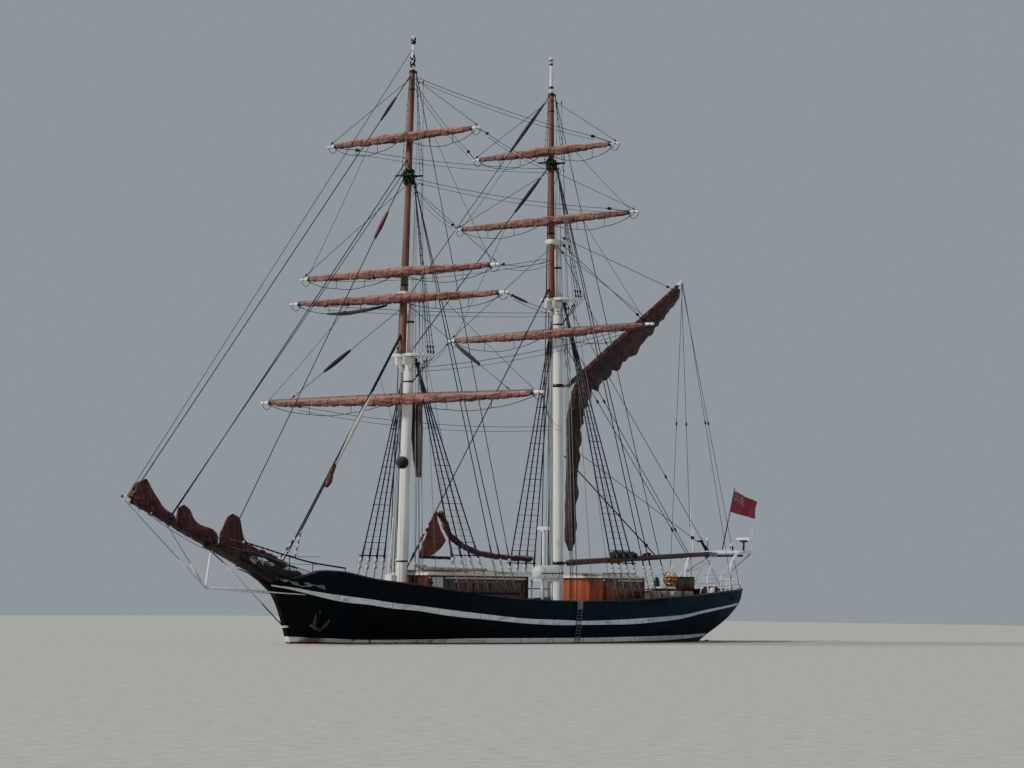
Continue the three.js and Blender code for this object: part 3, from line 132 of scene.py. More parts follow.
# Masts: foot x at the waterline, forward lean per metre, and heights.
MASTS = {
    "fore": dict(x0=3.725, lean=-0.034, foot=0.666, top=6.295, cap=7.730, cross=10.315,
                 head=12.695, truck=13.440),
    "main": dict(x0=-1.590, lean=0.0152, foot=0.488, top=7.930, cap=9.350, cross=11.150,
                 head=12.795, truck=13.615),
}
LOWER_RADIUS = (0.122, 0.108, 0.080)
TOPMAST_RADIUS = (0.082, 0.062)
POLE_RADIUS = (0.046, 0.026)
TOPMAST_FORWARD = 0.225
TOP_PLATFORM = dict(aft=-0.330, fore=0.250, half=0.500, thickness=0.050)
CAP_SIZE = dict(aft=-0.110, fore=0.345, half=0.120, thickness=0.110)
CROSSTREES = dict(half=0.310, aft=-0.170, fore=0.150)
# Black irons and lamps round the topmasts and poles: low z, high z, radius, how many lumps
MAST_LUMPS = {
    "fore": [(10.10, 10.50, 0.048, 26), (12.74, 13.03, 0.030, 12), (13.28, 13.43, 0.026, 8)],
    "main": [(10.96, 11.24, 0.046, 22), (13.53, 13.60, 0.018, 5)],
}

# Yards: mast, on topmast, length, brace angle in degrees, height, middle and tip radius,
# and the rise of the furled sail's middle over the yard
YARDS = {
    "fore_course": ("fore", False, 7.910, 5.6, 5.375, 0.078, 0.044, -0.070),
    "fore_lower_topsail": ("fore", True, 5.920, 8.4, 7.560, 0.064, 0.038, -0.015),
    "fore_upper_topsail": ("fore", True, 5.820, 2.8, 8.145, 0.062, 0.036, -0.015),
    "fore_topgallant": ("fore", True, 4.720, -0.2, 11.150, 0.052, 0.032, -0.010),
    "main_course": ("main", False, 6.975, -5.8, 7.165, 0.074, 0.042, -0.040),
    "main_topsail": ("main", True, 5.720, -0.5, 9.765, 0.062, 0.036, -0.015),
    "main_topgallant": ("main", True, 4.555, 0.0, 11.385, 0.052, 0.032, -0.010),
}
PIN_AHEAD = 0.048
YARD_AHEAD = (0.190, 0.130)
FURL = dict(short=0.270, half_height=0.100, half_depth=0.090, ahead=0.052, tip_share=0.5)

GAFF = dict(inner=(-1.840, 5.965), outer=(-6.140, 8.800), radii=(0.058, 0.040))
BOOM = dict(inner=(-1.900, 1.835), outer=(-7.500, 2.145), radii=(0.072, 0.058))
PIN_BEHIND = 0.044
SPRIT = dict(heel=(6.750, 1.010), cap=(9.450, 2.068), tip=(11.735, 2.964))
SPRIT_RADIUS = dict(heel=0.112, cap=0.092, boom=0.068, tip=0.040)
STRIKER = dict(top=(9.300, 2.010), foot=(9.465, 1.130), radius=0.030)

# Stays on the centreline: from x, z to x, z with radius.
STAYS = {
    "forestay": ((3.788, 6.780), (7.480, 1.420), 0.017),
    "fore_topmast_stay": ((3.590, 10.740), (10.475, 2.520), 0.011),
    "jib_stay": ((3.540, 12.610), (11.520, 2.935), 0.011),
    "mainstay": ((-1.150, 8.190), (3.508, 1.640), 0.021),
    "main_topmast_stay": ((-1.140, 11.085), (3.400, 6.480), 0.012),
}
# Where the white and black hanks lie on the mainstay, as shares of its length
HANKS = (0.855, 0.975)
# Shrouds and backstays: where the channel runs, and the x of each line's foot on it.
SHROUDS = {
    "fore": dict(side=((3.600, 1.590), (1.700, 1.735)), z=1.120, lower=(3.530, 3.230, 2.930, 2.630),
                 back=(2.330, 2.080), topgallant=(1.840,)),
    "main": dict(side=((-1.560, 1.770), (-3.800, 1.660)), z=0.960,
                 lower=(-1.640, -1.950, -2.260, -2.570), back=(-2.900, -3.180), topgallant=(-3.620,)),
}
CHANNEL = dict(width=0.120, thickness=0.040)
TOPMAST_SHROUD_FEET = (-0.110, -0.200, -0.290)
# Kinds of shroud: name, radius, radius of the deadeyes and of the knob at the mast
SHROUD_GROUPS = [
    ("lower", 0.0175, 0.050, 0.034), ("back", 0.0130, 0.042, 0.026), ("topgallant", 0.0105, 0.042, 0.026),
]

# Deckhouses, with the x of each window's middle and of the door's fore edge
HOUSES = {
    "fore_house": dict(aft=0.150, fore=3.440, half=0.550, top=1.490, floor=0.590,
                       windows=(2.600, 2.050, 1.500, 0.950, 0.420), door=3.280),
    "aft_house": dict(aft=-3.940, fore=-2.400, half=0.610, top=1.490, floor=0.540,
                      windows=(-3.150, -3.620), door=-2.560),
}
# Each end of the windlass's barrel: distance along it, share of its radius
WINDLASS_END = [
    (0, 1.15), (0.03, 1.2), (0.05, 0.75), (0.15, 0.7), (0.18, 1),
    (0.34, 1), (0.36, 1.25), (0.40, 1.25), (0.42, 1),
]
# Mouldings below this height stop at the door
DOOR_TOP = 1.47
WINDOW = dict(width=0.240, height=0.220, sill=1.130, bar=0.024)
WHEEL = dict(x=-5.700, z=1.485, rim=0.195, handle=0.245, hub=0.038, spokes=8, depth=0.034)
GANTRY = dict(foot=(-7.180, 0.700), radius=0.034,
              bend=[(-7.190, 0.700, 1.755), (-7.250, 0.700, 1.935),
                    (-7.400, 0.690, 2.085), (-7.760, 0.560, 2.184)],
              brace=[(-8.150, 0.570, 2.155), (-7.188, 0.700, 1.690)],
              beam=((-7.620, -0.760, 2.065), (-7.560, 0.760, 2.122)),
              aft=-8.250, fore=-7.700, z=2.150, half=0.600, thickness=0.070)
STAFF = ((-7.745, 2.215), (-8.245, 3.765), 0.017)

# Light, sky and floor.
SUN = dict(towards=(0.881, -0.472, 0.72), energy=3.8, angle=14.0, colour=(1.0, 0.95, 0.88))
SKY = dict(colour=(0.70, 0.80, 0.92, 1.0), strength=0.40)
FLOOR_HALF = 60.0

# Looks of the hull.
HULL_STEPS = 130
# Colour bands of the side from the keel up, and the rows of faces in each
HULL_BANDS = [("antifouling", 10), ("boot_paint", 2), ("hull_low", 12), ("hull_paint", 12)]
STRAKE_STEPS = 110
BULWARK_STEPS = 96
FRAMES = dict(first=-7.600, apart=0.420, count=35)
# Edge planks of the deck, behind and ahead of its break: aft x, fore x, steps
WATERWAYS = [(-7.900, BREAK_X - 0.010, 24), (-3.960, 7.400, 60)]
SCUPPERS = (-6.6, -5.1, -3.3, -2.0, -0.4, 1.0, 2.4, 3.9, 5.2)
# Round ports and ring eyes of the side: x, z
SIDE_PORTS = [(5.45, 1.18), (4.3, 0.98), (-4.7, 0.83), (-5.6, 0.93)]
SIDE_EYES = [(6.35, 1.30), (-6.9, 1.05)]
STRAKE_PROUD = 0.012
BOOT_ENDS = (-6.25, 7.20)
LADDER = dict(x=-0.28, half=0.075, low=0.02)
# Scrolls on the trailboards: x, z, size, turns
SCROLLS = [
    (6.70, 1.215, 0.055, -1.4), (6.96, 1.238, 0.062, 1.5),
    (7.22, 1.275, 0.060, -1.6), (7.44, 1.325, 0.048, 1.5),
]
ANCHOR = dict(at=(6.600, 0.300), crown=((0.165, 0.105), (-0.090, -0.020)), hawse=(0.050, 0.375),
              flukes=(((0.070, 0.020), (0.120, 0.345)), ((-0.080, 0.000), (-0.175, 0.225))))
VINE = [(6.62, 1.150), (6.84, 1.240), (7.08, 1.205), (7.34, 1.320), (7.52, 1.335)]

# Looks of the yards and sails.
YARDARM_WHITE = 0.27
YARDARM_IRONS = (0.300, 0.255)
YARDARM_TAPER = 0.62
GASKET_SPACING = 0.33
BOOM_ROLL = dict(path=[(-4.37, 2.035), (-3.95, 2.045), (-3.53, 2.060)], radius=0.098, ties=(0.2, 0.5, 0.8))
# The brailed sail's middle line: x, z, half depth, half width
SPANKER_SPINE = [
    (-6.000, 8.570, 0.100, 0.060), (-5.450, 8.130, 0.170, 0.080), (-4.900, 7.700, 0.215, 0.090),
    (-3.900, 6.970, 0.265, 0.095), (-3.150, 6.500, 0.260, 0.095), (-2.620, 6.120, 0.270, 0.095),
    (-2.260, 5.660, 0.250, 0.095), (-2.090, 5.060, 0.235, 0.095), (-2.040, 4.300, 0.195, 0.095),
    (-2.000, 3.200, 0.160, 0.095), (-1.980, 2.110, 0.130, 0.090),
]
SPANKER_TIES = (5.05, 4.45, 3.85, 3.25, 2.65)
# Stowed sails on the spar over the bow: aft x, fore x, radius
HEADSAILS = {
    "outer_jib": (10.330, 11.560, 0.095), "inner_jib": (9.150, 10.260, 0.095),
    "fore_staysail": (8.020, 9.090, 0.090),
}
# Upper edges of the stowed headsails: x, z
HEADSAIL_TOPS = {
    "outer_jib": [
        (10.324, 2.614), (10.426, 2.668), (10.627, 2.775), (10.780, 2.939), (10.958, 3.157), (11.110, 3.319),
        (11.329, 3.263), (11.471, 3.103), (11.560, 2.960),
    ],
    "inner_jib": [
        (9.150, 2.265), (9.306, 2.375), (9.614, 2.444), (9.820, 2.590), (9.925, 2.757), (10.078, 2.828),
        (10.230, 2.785), (10.280, 2.640),
    ],
    "fore_staysail": [
        (8.020, 1.985), (8.102, 2.018), (8.368, 2.167), (8.450, 2.318), (8.535, 2.623), (8.719, 2.680),
        (8.848, 2.654), (8.973, 2.459), (9.090, 2.266),
    ],
}
HEADSAIL_UP = 0.070
HEAD_ROLL = dict(path=[(7.200, 1.630), (7.480, 1.740), (7.729, 1.840), (8.060, 1.920)],
                 radius=0.082, ties=(0.3, 0.7))
STAYSAIL_ROLL = dict(path=[(2.500, 2.905), (2.330, 2.700), (2.180, 2.440), (1.720, 2.165), (1.020, 1.985),
                           (0.200, 1.925), (-0.640, 1.905)],
                     radius=0.082, ties=(0.12, 0.36, 0.5, 0.64, 0.78, 0.92))
STAYSAIL_FLAP = [
    (2.563, 2.916), (2.840, 2.641), (2.901, 2.402), (3.047, 2.133), (3.170, 1.909), (3.042, 1.846),
    (2.656, 1.947), (2.419, 2.085), (2.248, 2.267), (2.426, 2.502), (2.538, 2.708),
]
STAYSAIL_FOOT = dict(path=[(3.130, 1.890), (2.550, 1.885), (1.960, 1.882)], radius=0.036, ties=(0.3, 0.7))
TRYSAIL = [(3.450, 5.400), (3.085, 5.400), (3.062, 4.700), (3.075, 4.000), (3.130, 3.640), (3.210, 3.640),
           (3.330, 4.000), (3.420, 4.700)]
FLAG_CORNERS = [(-8.232, 3.725), (-9.190, 3.470), (-9.110, 3.045), (-8.063, 3.195)]

# Looks of the rigging.
# Heights of the lower and upper deadeyes of the shrouds, and of the bar across their rods
DEADEYES = {"fore": (1.670, 1.830, 1.340), "main": (1.640, 1.740, 1.230)}
# The dark pipe rail over the bow: x, y, z
HEAD_RAIL = [(8.647, 0.26, 2.112), (7.484, 0.42, 1.830), (6.900, 0.52, 1.705), (6.150, 0.74, 1.600)]
# Bundles of net beside the bowsprit: middle x, y, z, half length, radius, material
NET_LUMPS = [
    (8.20, 0.15, 1.715, 0.19, 0.060, "grey_net"), (7.98, 0.20, 1.600, 0.24, 0.070, "brown_net"),
    (7.86, 0.17, 1.640, 0.13, 0.055, "grey_net"), (7.66, 0.22, 1.545, 0.22, 0.075, "brown_net"),
    (7.58, 0.16, 1.560, 0.12, 0.050, "grey_net"), (7.36, 0.22, 1.470, 0.24, 0.080, "brown_net"),
    (7.10, 0.26, 1.440, 0.20, 0.070, "brown_net"), (8.45, 0.13, 1.800, 0.16, 0.050, "brown_net"),
]
# The bobstay from the stem up: foot, where its dark chain ends, where its pale part ends
BOBSTAY_FOOT = Vector((7.235, 0.0, 0.360))
BOBSTAY_CHAIN = Vector((7.865, 0.0, 0.846))
BOBSTAY_KNOB = Vector((8.929, 0.0, 1.659))
STAY_FORK = dict(top=(6.75, 0, 2.40), feet=[(7.42, 0, 1.745), (6.94, 0, 1.735)])
# Grey ropes from the bowsprit aft, at two heights over these points: x, y, z
SIDE_ROPES = [(8.2, 0.30, 1.70), (7.4, 0.42, 1.53), (6.8, 0.62, 1.52)]
# Dark or light sleeves and rolled cloth in the rigging: from, to, radius, material
SLEEVES = [
    ((4.241, 0, 9.466), (4.637, 0, 8.831), 0.050, "jib_canvas"),
    ((4.020, 0, 12.028), (4.500, 0, 11.446), 0.036, "black_canvas"),
    ((-0.920, 0, 12.508), (0.240, 0, 11.245), 0.042, "black_canvas"),
    ((-0.820, 0, 10.760), (0.060, 0, 9.868), 0.046, "black_canvas"),
    ((4.667, 0, 5.440), (5.768, 0, 3.820), 0.055, "white_cord"),
    ((5.768, 0, 3.820), (6.031, 0, 3.437), 0.062, "leather"),
    ((5.900, 0.03, 3.600), (6.060, 0.03, 3.340), 0.075, "leather"),
    ((3.950, 0, 2.730), (4.150, 0, 0.660), 0.022, "white_cord"),
    ((3.180, 0.30, 1.600), (3.600, 0.30, 1.735), 0.050, "awning"),
]
# Dark sleeves on the lines of the yards, each with its radius: shares of the lift from its head,
# places on the foot rope along the yard, and points of the brace's line from its lead
LIFT_SLEEVES = {"fore_course": (0.47, 0.70, 0.052)}
FOOTROPE_SLEEVES = {"fore_lower_topsail": (-0.30, -1.95, 0.042)}
BRACE_SLEEVES = {"fore_lower_topsail": (10, 15, 0.038)}
SIGNAL_BALL = dict(at=(4.008, 0.300, 3.934), radius=0.145)
# More stays that are only seen: from, to, radius
THIN_STAYS = [
    ((3.62, 0, 10.46), (8.95, 0, 1.93), 0.012), ((3.50, 0, 13.20), (11.60, 0, 2.98), 0.008),
    ((3.56, 0, 10.60), (10.48, 0, 2.56), 0.010), ((-1.17, 0, 12.78), (3.45, 0, 7.75), 0.010),
    ((3.79, 0, 6.72), (6.75, 0, 2.40), 0.016),
]
# Lines from the main mast to the boom: top x, y, z, boom x, z, radius, how far down each block is
BOOM_LINES = [
    (-1.62, 0.13, 7.20, -6.40, 2.085, 0.0095, (0.30, 0.88)),
    (-1.62, -0.13, 7.20, -6.40, 2.085, 0.0095, (0.30, 0.88)),
    (-1.76, 0.03, 4.62, -6.75, 2.43, 0.0080, (0.96,)),
    (-1.60, 0.0, 8.10, -7.19, 2.20, 0.0085, (0.70, 0.985)),
    (-1.80, -0.05, 4.33, -5.19, 2.03, 0.0150, (0.885,)),
]
# Heights that the lifts of the yards lead up to
LIFTS = {
    "fore_course": 7.42, "main_course": 9.20, "fore_upper_topsail": 10.10, "main_topsail": 10.95,
    "fore_topgallant": 12.50, "main_topgallant": 12.62,
}
# How far out on the half length of a yard its lifts hold it, where not at the tips
LIFT_REACH = {"fore_course": 0.80}
# Braces: yard, and where they lead to on the other mast as x, half spread, z and sag
BRACES = [
    ("fore_course", (-1.42, 0.13, 5.00, 0.16)), ("fore_lower_topsail", (-1.42, 0.15, 7.66, 0.05)),
    ("fore_upper_topsail", (-1.17, 0.10, 8.90, 0.10)), ("fore_topgallant", (-1.18, 0.10, 11.02, 0.08)),
    ("main_course", (3.42, 0.13, 6.05, 0.12)), ("main_topsail", (3.50, 0.10, 10.25, 0.10)),
    ("main_topgallant", (3.44, 0.09, 12.52, 0.08)),
]
SHEET_PAIRS = [
    ("fore_lower_topsail", "fore_course"), ("fore_topgallant", "fore_upper_topsail"),
    ("main_topsail", "main_course"), ("main_topgallant", "main_topsail"),
]
# Lines down each mast: ahead of the mast, spread, top z, foot x, foot spread
HALYARDS = {
    "fore": [
        (-0.12, 0.17, 6.15, 3.37, 0.24), (-0.02, 0.19, 6.10, 3.58, 0.32), (-0.10, 0.10, 10.15, 3.36, 0.12),
        (0.10, 0.12, 10.12, 3.50, 0.24), (-0.06, 0.07, 12.45, 3.34, 0.30), (-0.16, 0.30, 6.20, 2.95, 0.95),
        (-0.20, 0.34, 6.22, 2.60, 1.10), (-0.06, 0.27, 6.14, 3.50, 0.50), (-0.14, 0.24, 7.52, 3.20, 0.62),
        (-0.02, 0.22, 7.50, 3.52, 0.40),
    ],
    "main": [
        (-0.12, 0.17, 7.75, -1.72, 0.32), (-0.02, 0.19, 7.72, -1.62, 0.34),
        (-0.10, 0.10, 11.00, -1.72, 0.28), (0.10, 0.12, 11.02, -1.75, 0.24),
        (-0.06, 0.07, 12.60, -1.78, 0.42), (-0.16, 0.30, 7.80, -2.30, 1.00),
        (-0.20, 0.34, 7.82, -2.60, 1.15), (-0.06, 0.27, 7.74, -1.66, 0.50),
        (-0.14, 0.24, 9.20, -2.08, 0.62), (0.00, 0.22, 9.22, -1.66, 0.40),
    ],
}

# Deck gear.
ROOF_SPAR = [(1.165, 0.500, 1.611), (-0.107, 0.500, 1.551)]
# Rolls on the fore house: x, y, length, radius, material
ROOF_ROLLS = [
    (2.10, 0.28, 1.15, 0.060, "awning"), (1.60, -0.10, 1.30, 0.055, "old_wood"),
    (0.95, 0.02, 1.10, 0.050, "awning"), (0.55, -0.32, 1.50, 0.045, "dark_wood"),
]
# Boxes on deck: low x, y, high x, y, low z, high z, material
DECK_BOXES = [
    (4.315, 0.300, 4.515, 0.500, 0.640, 1.480, "white_paint"),
    (3.62, -0.95, 4.10, -0.45, 0.630, 0.960, "mahogany"),
    (-1.02, -0.42, -0.40, 0.36, 0.470, 0.900, "mahogany"),
    (-2.26, -0.50, -1.90, 0.50, 0.480, 0.800, "teak"),
]
PIN_RAILS = [(1.9, 3.6), (-3.75, -1.7)]
RAFT = dict(x=-0.250, y=0.800, z=1.570, radius=0.174, length=0.800, leg_x=0.420, leg_y=0.150)
WINDLASS = dict(x=5.150, half=0.380, radius=0.080, z=0.960)
WHEEL_BOX = dict(fore=-5.740, aft=-6.440, half=0.170, top=1.560)

# Small posts on the platform: x, y, height over it, radius, material
GANTRY_POSTS = [(-8.14, 0.00, 0.110, 0.045, "black_iron"), (-7.86, -0.55, 0.260, 0.010, "black_iron"),
                (-7.86, -0.55, 0.060, 0.035, "black_iron")]
GANTRY_BALL = ((-7.86, -0.55, 2.510), 0.042)
GANTRY_RADAR = dict(x=-8.150, y=0.360, foot=0.027, half=0.205, low=0.262, top=0.330)
# Domes on the platform: x, y, low z, top z, radius
GANTRY_DOMES = [(-8.14, 0.00, 2.326, 2.415, 0.050), (-7.94, 0.00, 2.218, 2.275, 0.150)]
# Whip aerials: x, y, low z, high z, radius
WHIPS = [
    (-7.22, -0.585, 2.06, 3.30, 0.014), (-7.33, -0.585, 2.06, 2.76, 0.026),
    (-8.235, 0.560, 2.21, 2.83, 0.010), (-7.70, 0.330, 2.21, 2.40, 0.010),
]
# Bottles and drums near the stern: x, y, z, radius, height, material
STERN_BOTTLES = [
    (-6.93, 0.64, 1.005, 0.045, 0.24, "white_paint"), (-7.06, 0.64, 1.010, 0.045, 0.24, "white_paint"),
    (-6.34, 0.80, 1.100, 0.062, 0.20, "white_paint"), (-7.42, 0.52, 1.015, 0.045, 0.26, "cream_paint"),
    (-7.30, -0.50, 1.015, 0.060, 0.26, "white_paint"), (-7.10, -0.58, 1.005, 0.060, 0.26, "brass"),
    (-4.82, 0.30, 0.925, 0.075, 0.62, "green_paint"),
]
# Boxes at the stern: low x, y, high x, y, low z, high z, material
STERN_BOXES = [
    (-4.18, 0.80, -3.98, 0.96, 0.900, 1.200, "panel_grey"),
    (-4.56, 0.80, -4.33, 0.96, 0.910, 1.200, "panel_grey"),
    (-5.42, 0.80, -4.66, 0.96, 0.930, 1.200, "panel_grey"),
    (-5.05, 0.79, -4.98, 0.97, 0.930, 1.206, "dark_metal"),
    (-5.12, 0.34, -4.52, 0.66, 1.255, 1.305, "white_paint"),
    (-5.08, 0.38, -4.56, 0.62, 0.920, 1.258, "dark_wood"),
    (-4.62, -0.96, -3.96, -0.80, 0.900, 1.190, "cream_paint"),
    (-5.36, -0.96, -4.68, -0.80, 0.930, 1.200, "white_paint"),
    (-6.80, 0.42, -6.42, 0.62, 0.985, 1.330, "maroon_paint"),
    (-7.02, -0.28, -6.86, 0.28, 1.000, 1.240, "dark_wood"),
]
# Pipes of the frames behind the wheel: points on the port side, radius
STERN_PIPES = [
    ([(-6.61, 0.60, 1.88), (-6.40, 0.62, 1.64), (-6.33, 0.66, 1.42), (-6.33, 0.72, 1.10)], 0.012),
    ([(-7.215, 0.66, 1.90), (-7.14, 0.64, 1.78), (-6.91, 0.64, 1.63),
      (-6.86, 0.66, 1.42), (-6.89, 0.70, 1.05)], 0.014),
    ([(-5.88, 0.86, 1.59), (-6.10, 0.84, 1.60), (-6.58, 0.78, 1.61), (-7.05, 0.70, 1.615)], 0.011),
    ([(-6.27, 0.80, 1.445), (-6.60, 0.76, 1.47), (-6.95, 0.72, 1.49)], 0.010),
    ([(-8.18, 0.55, 2.15), (-8.00, 0.58, 1.99), (-7.66, 0.62, 1.805), (-7.22, 0.68, 1.70)], 0.012),
]

# Materials of the nodes that are kept as they are.
NODE_PAINTS = {
    "deck": ("deck_planks", "deck_planks"), "fore_house": ("mahogany", "mahogany"),
    # The aft house's walls take boards with painted shade on their sideways walls.
    "aft_house": ("aft_house_boards", "mahogany"), "fore_house_roof": ("roof_canvas", "white_paint"),
    "aft_house_roof": ("roof_canvas", "white_paint"), "fore_house_door": ("white_paint", "white_paint"),
    "aft_house_door": ("bright_mahogany", "mahogany"), "wheel_box": ("mahogany", "mahogany"),
    "rudder": ("antifouling", "hull_paint"), "propeller": ("bronze", "bronze"),
}


# Curves and small geometry.
def slopes(xs, ys):
    """Slopes at each point of a curve that never overshoots its points."""
    steps = [(ys[i + 1] - ys[i]) / (xs[i + 1] - xs[i]) for i in range(len(xs) - 1)]
    made = [steps[0]]
    for a, b in zip(steps, steps[1:]):
        made.append(0.0 if a * b <= 0 else 2 * a * b / (a + b))
    return made + [steps[-1]]


def smooth_table(rows):
    """A function of x that gives the other columns of a table, smoothly between its rows."""
    rows = sorted(rows)
    xs = [row[0] for row in rows]
    columns = list(zip(*[row[1:] for row in rows]))
    tangents = [slopes(xs, column) for column in columns]

    def at(x):
        x = min(max(x, xs[0]), xs[-1])
        k = 0
        while k < len(xs) - 2 and x > xs[k + 1]:
            k += 1
        h = xs[k + 1] - xs[k]
        t = (x - xs[k]) / h
        weights = (2 * t**3 - 3 * t**2 + 1, t**3 - 2 * t**2 + t, -2 * t**3 + 3 * t**2, t**3 - t**2)
        return [
            weights[0] * c[k] + weights[1] * h * m[k] + weights[2] * c[k + 1] + weights[3] * h * m[k + 1]
            for c, m in zip(columns, tangents)
        ]

    return at


station = smooth_table(STATIONS)
sheer_stripe = smooth_table(SHEER_STRIPE)
boot_stripe = smooth_table(BOOT_STRIPE)


def lerp(a, b, t):
    return a + (b - a) * t


def spread(a, b, steps):
    """Even values from a to b, with both ends."""
    return [lerp(a, b, k / steps) for k in range(steps + 1)]


def circle(count):
    """Cosine and sine at even steps round a circle."""
    return [(math.cos(a), math.sin(a)) for a in (2 * math.pi * k / count for k in range(count))]


def axes(direction):
    """A direction and two directions across it, all of length 1."""
    along = Vector(direction).normalized()
    first = along.orthogonal().normalized()
    return along, first, along.cross(first)


def side_point(x, t):
    """A point of the port side: t is 0 at the keel, 1 at the deck's edge and 2 at the rail."""
    bottom, floor_y, floor_z, turn_y, turn_z, deck_y, deck_z, rail_y, rail_z = station(x)
    if t > 1:
        return Vector((x, lerp(deck_y, rail_y, t - 1), lerp(deck_z, rail_z, t - 1)))
    corners = ((0.0, bottom), (floor_y, floor_z), (turn_y, turn_z), (deck_y, deck_z))
    weights = ((1 - t) ** 3, 3 * t * (1 - t) ** 2, 3 * t * t * (1 - t), t**3)
    y = sum(w * c[0] for w, c in zip(weights, corners))
    z = sum(w * c[1] for w, c in zip(weights, corners))
    return Vector((x, y, z))


def share_at(x, z):
    """Where the port side at x reaches height z: 0 at the keel, 1 at the deck's edge and 2 at the rail."""
    low, high = 0.0, 2.0
    for _ in range(24):
        middle = (low + high) / 2
        if side_point(x, middle).z < z:
            low = middle
        else:
            high = middle
    return high


def half_width(x, z):
    """Half width of the ship's side at x and height z."""
    return side_point(x, share_at(x, z)).y


def rail_point(x, side, inboard=0.0, up=0.0):
    row = station(x)
    return Vector((x, side * (row[7] - inboard), row[8] + up))


def deck_z(x):
    """Top of the deck planks, with the step up to the quarterdeck."""
    rows = QUARTERDECK if x < BREAK_X else MAIN_DECK
    for (x0, z0), (x1, z1) in zip(rows, rows[1:]):
        if x <= x1:
            return lerp(z0, z1, (x - x0) / (x1 - x0)) + PLANK
    return rows[-1][1] + PLANK


def mast_x(mast, z):
    return MASTS[mast]["x0"] + MASTS[mast]["lean"] * z


def topmast_x(mast, z):
    return mast_x(mast, z) + TOPMAST_FORWARD


def mast_radius(mast, z):
    row = MASTS[mast]
    if z <= row["top"]:
        return lerp(LOWER_RADIUS[0], LOWER_RADIUS[1], (z - row["foot"]) / (row["top"] - row["foot"]))
    return LOWER_RADIUS[2]


def topmast_radius(mast, z):
    row = MASTS[mast]
    return lerp(*TOPMAST_RADIUS, (z - row["top"]) / (row["head"] - row["top"]))


def mast_at(mast, z, on_topmast=False):
    """x and radius of a lower mast, or of its topmast, at height z."""
    if on_topmast:
        return topmast_x(mast, z), topmast_radius(mast, z)
    return mast_x(mast, z), mast_radius(mast, z)


def mast_point(mast, z, on_topmast=False, ahead=0.0, out=0.0):
    """A point by the middle line of a mast at height z."""
    return Vector((mast_at(mast, z, on_topmast)[0] + ahead, out, z))


def sprit_z(x):
    (x0, z0), (x1, z1) = SPRIT["heel"], SPRIT["tip"]
    return lerp(z0, z1, (x - x0) / (x1 - x0))


def sprit_point(x, up=0.0, out=0.0):
    """A point by the middle line of the bowsprit and the jib boom."""
    return Vector((x, out, sprit_z(x) + up))


def sagging(a, b, drop, steps):
    """Points of a rope from a to b that hangs down by drop in its middle."""
    a, b = Vector(a), Vector(b)
    return [a.lerp(b, t) - Vector((0, 0, 4 * drop * t * (1 - t))) for t in spread(0, 1, steps)]


def straight(a, b, steps):
    """Points at even steps from a to b."""
    return sagging(a, b, 0, steps)


def around(points):
    """Each point with the next one, and the last with the first."""
    return zip(points, points[1:] + points[:1])


def smooth_path(points, steps):
    """A Catmull-Rom curve through points."""
    points = [Vector(p) for p in points]
    padded = [points[0] * 2 - points[1]] + points + [points[-1] * 2 - points[-2]]
    made = []
    for i in range(1, len(padded) - 2):
        p0, p1, p2, p3 = padded[i - 1:i + 3]
        for k in range(steps):
            t = k / steps
            made.append(0.5 * (2 * p1 + (p2 - p0) * t + (2 * p0 - 5 * p1 + 4 * p2 - p3) * t * t
                               + (3 * p1 - p0 - 3 * p2 + p3) * t**3))
    return made + [points[-1]]


def on_side(points, side):
    """Points of the port side, or their mirror image on the starboard side."""
    return [Vector((x, side * y, z)) for x, y, z in points]


def linked(name, data):
    """A new object in the scene."""
    holder = bpy.data.objects.new(name, data)
    bpy.context.scene.collection.objects.link(holder)
    return holder


X_AXIS, Y_AXIS, Z_AXIS = Vector((1, 0, 0)), Vector((0, 1, 0)), Vector((0, 0, 1))


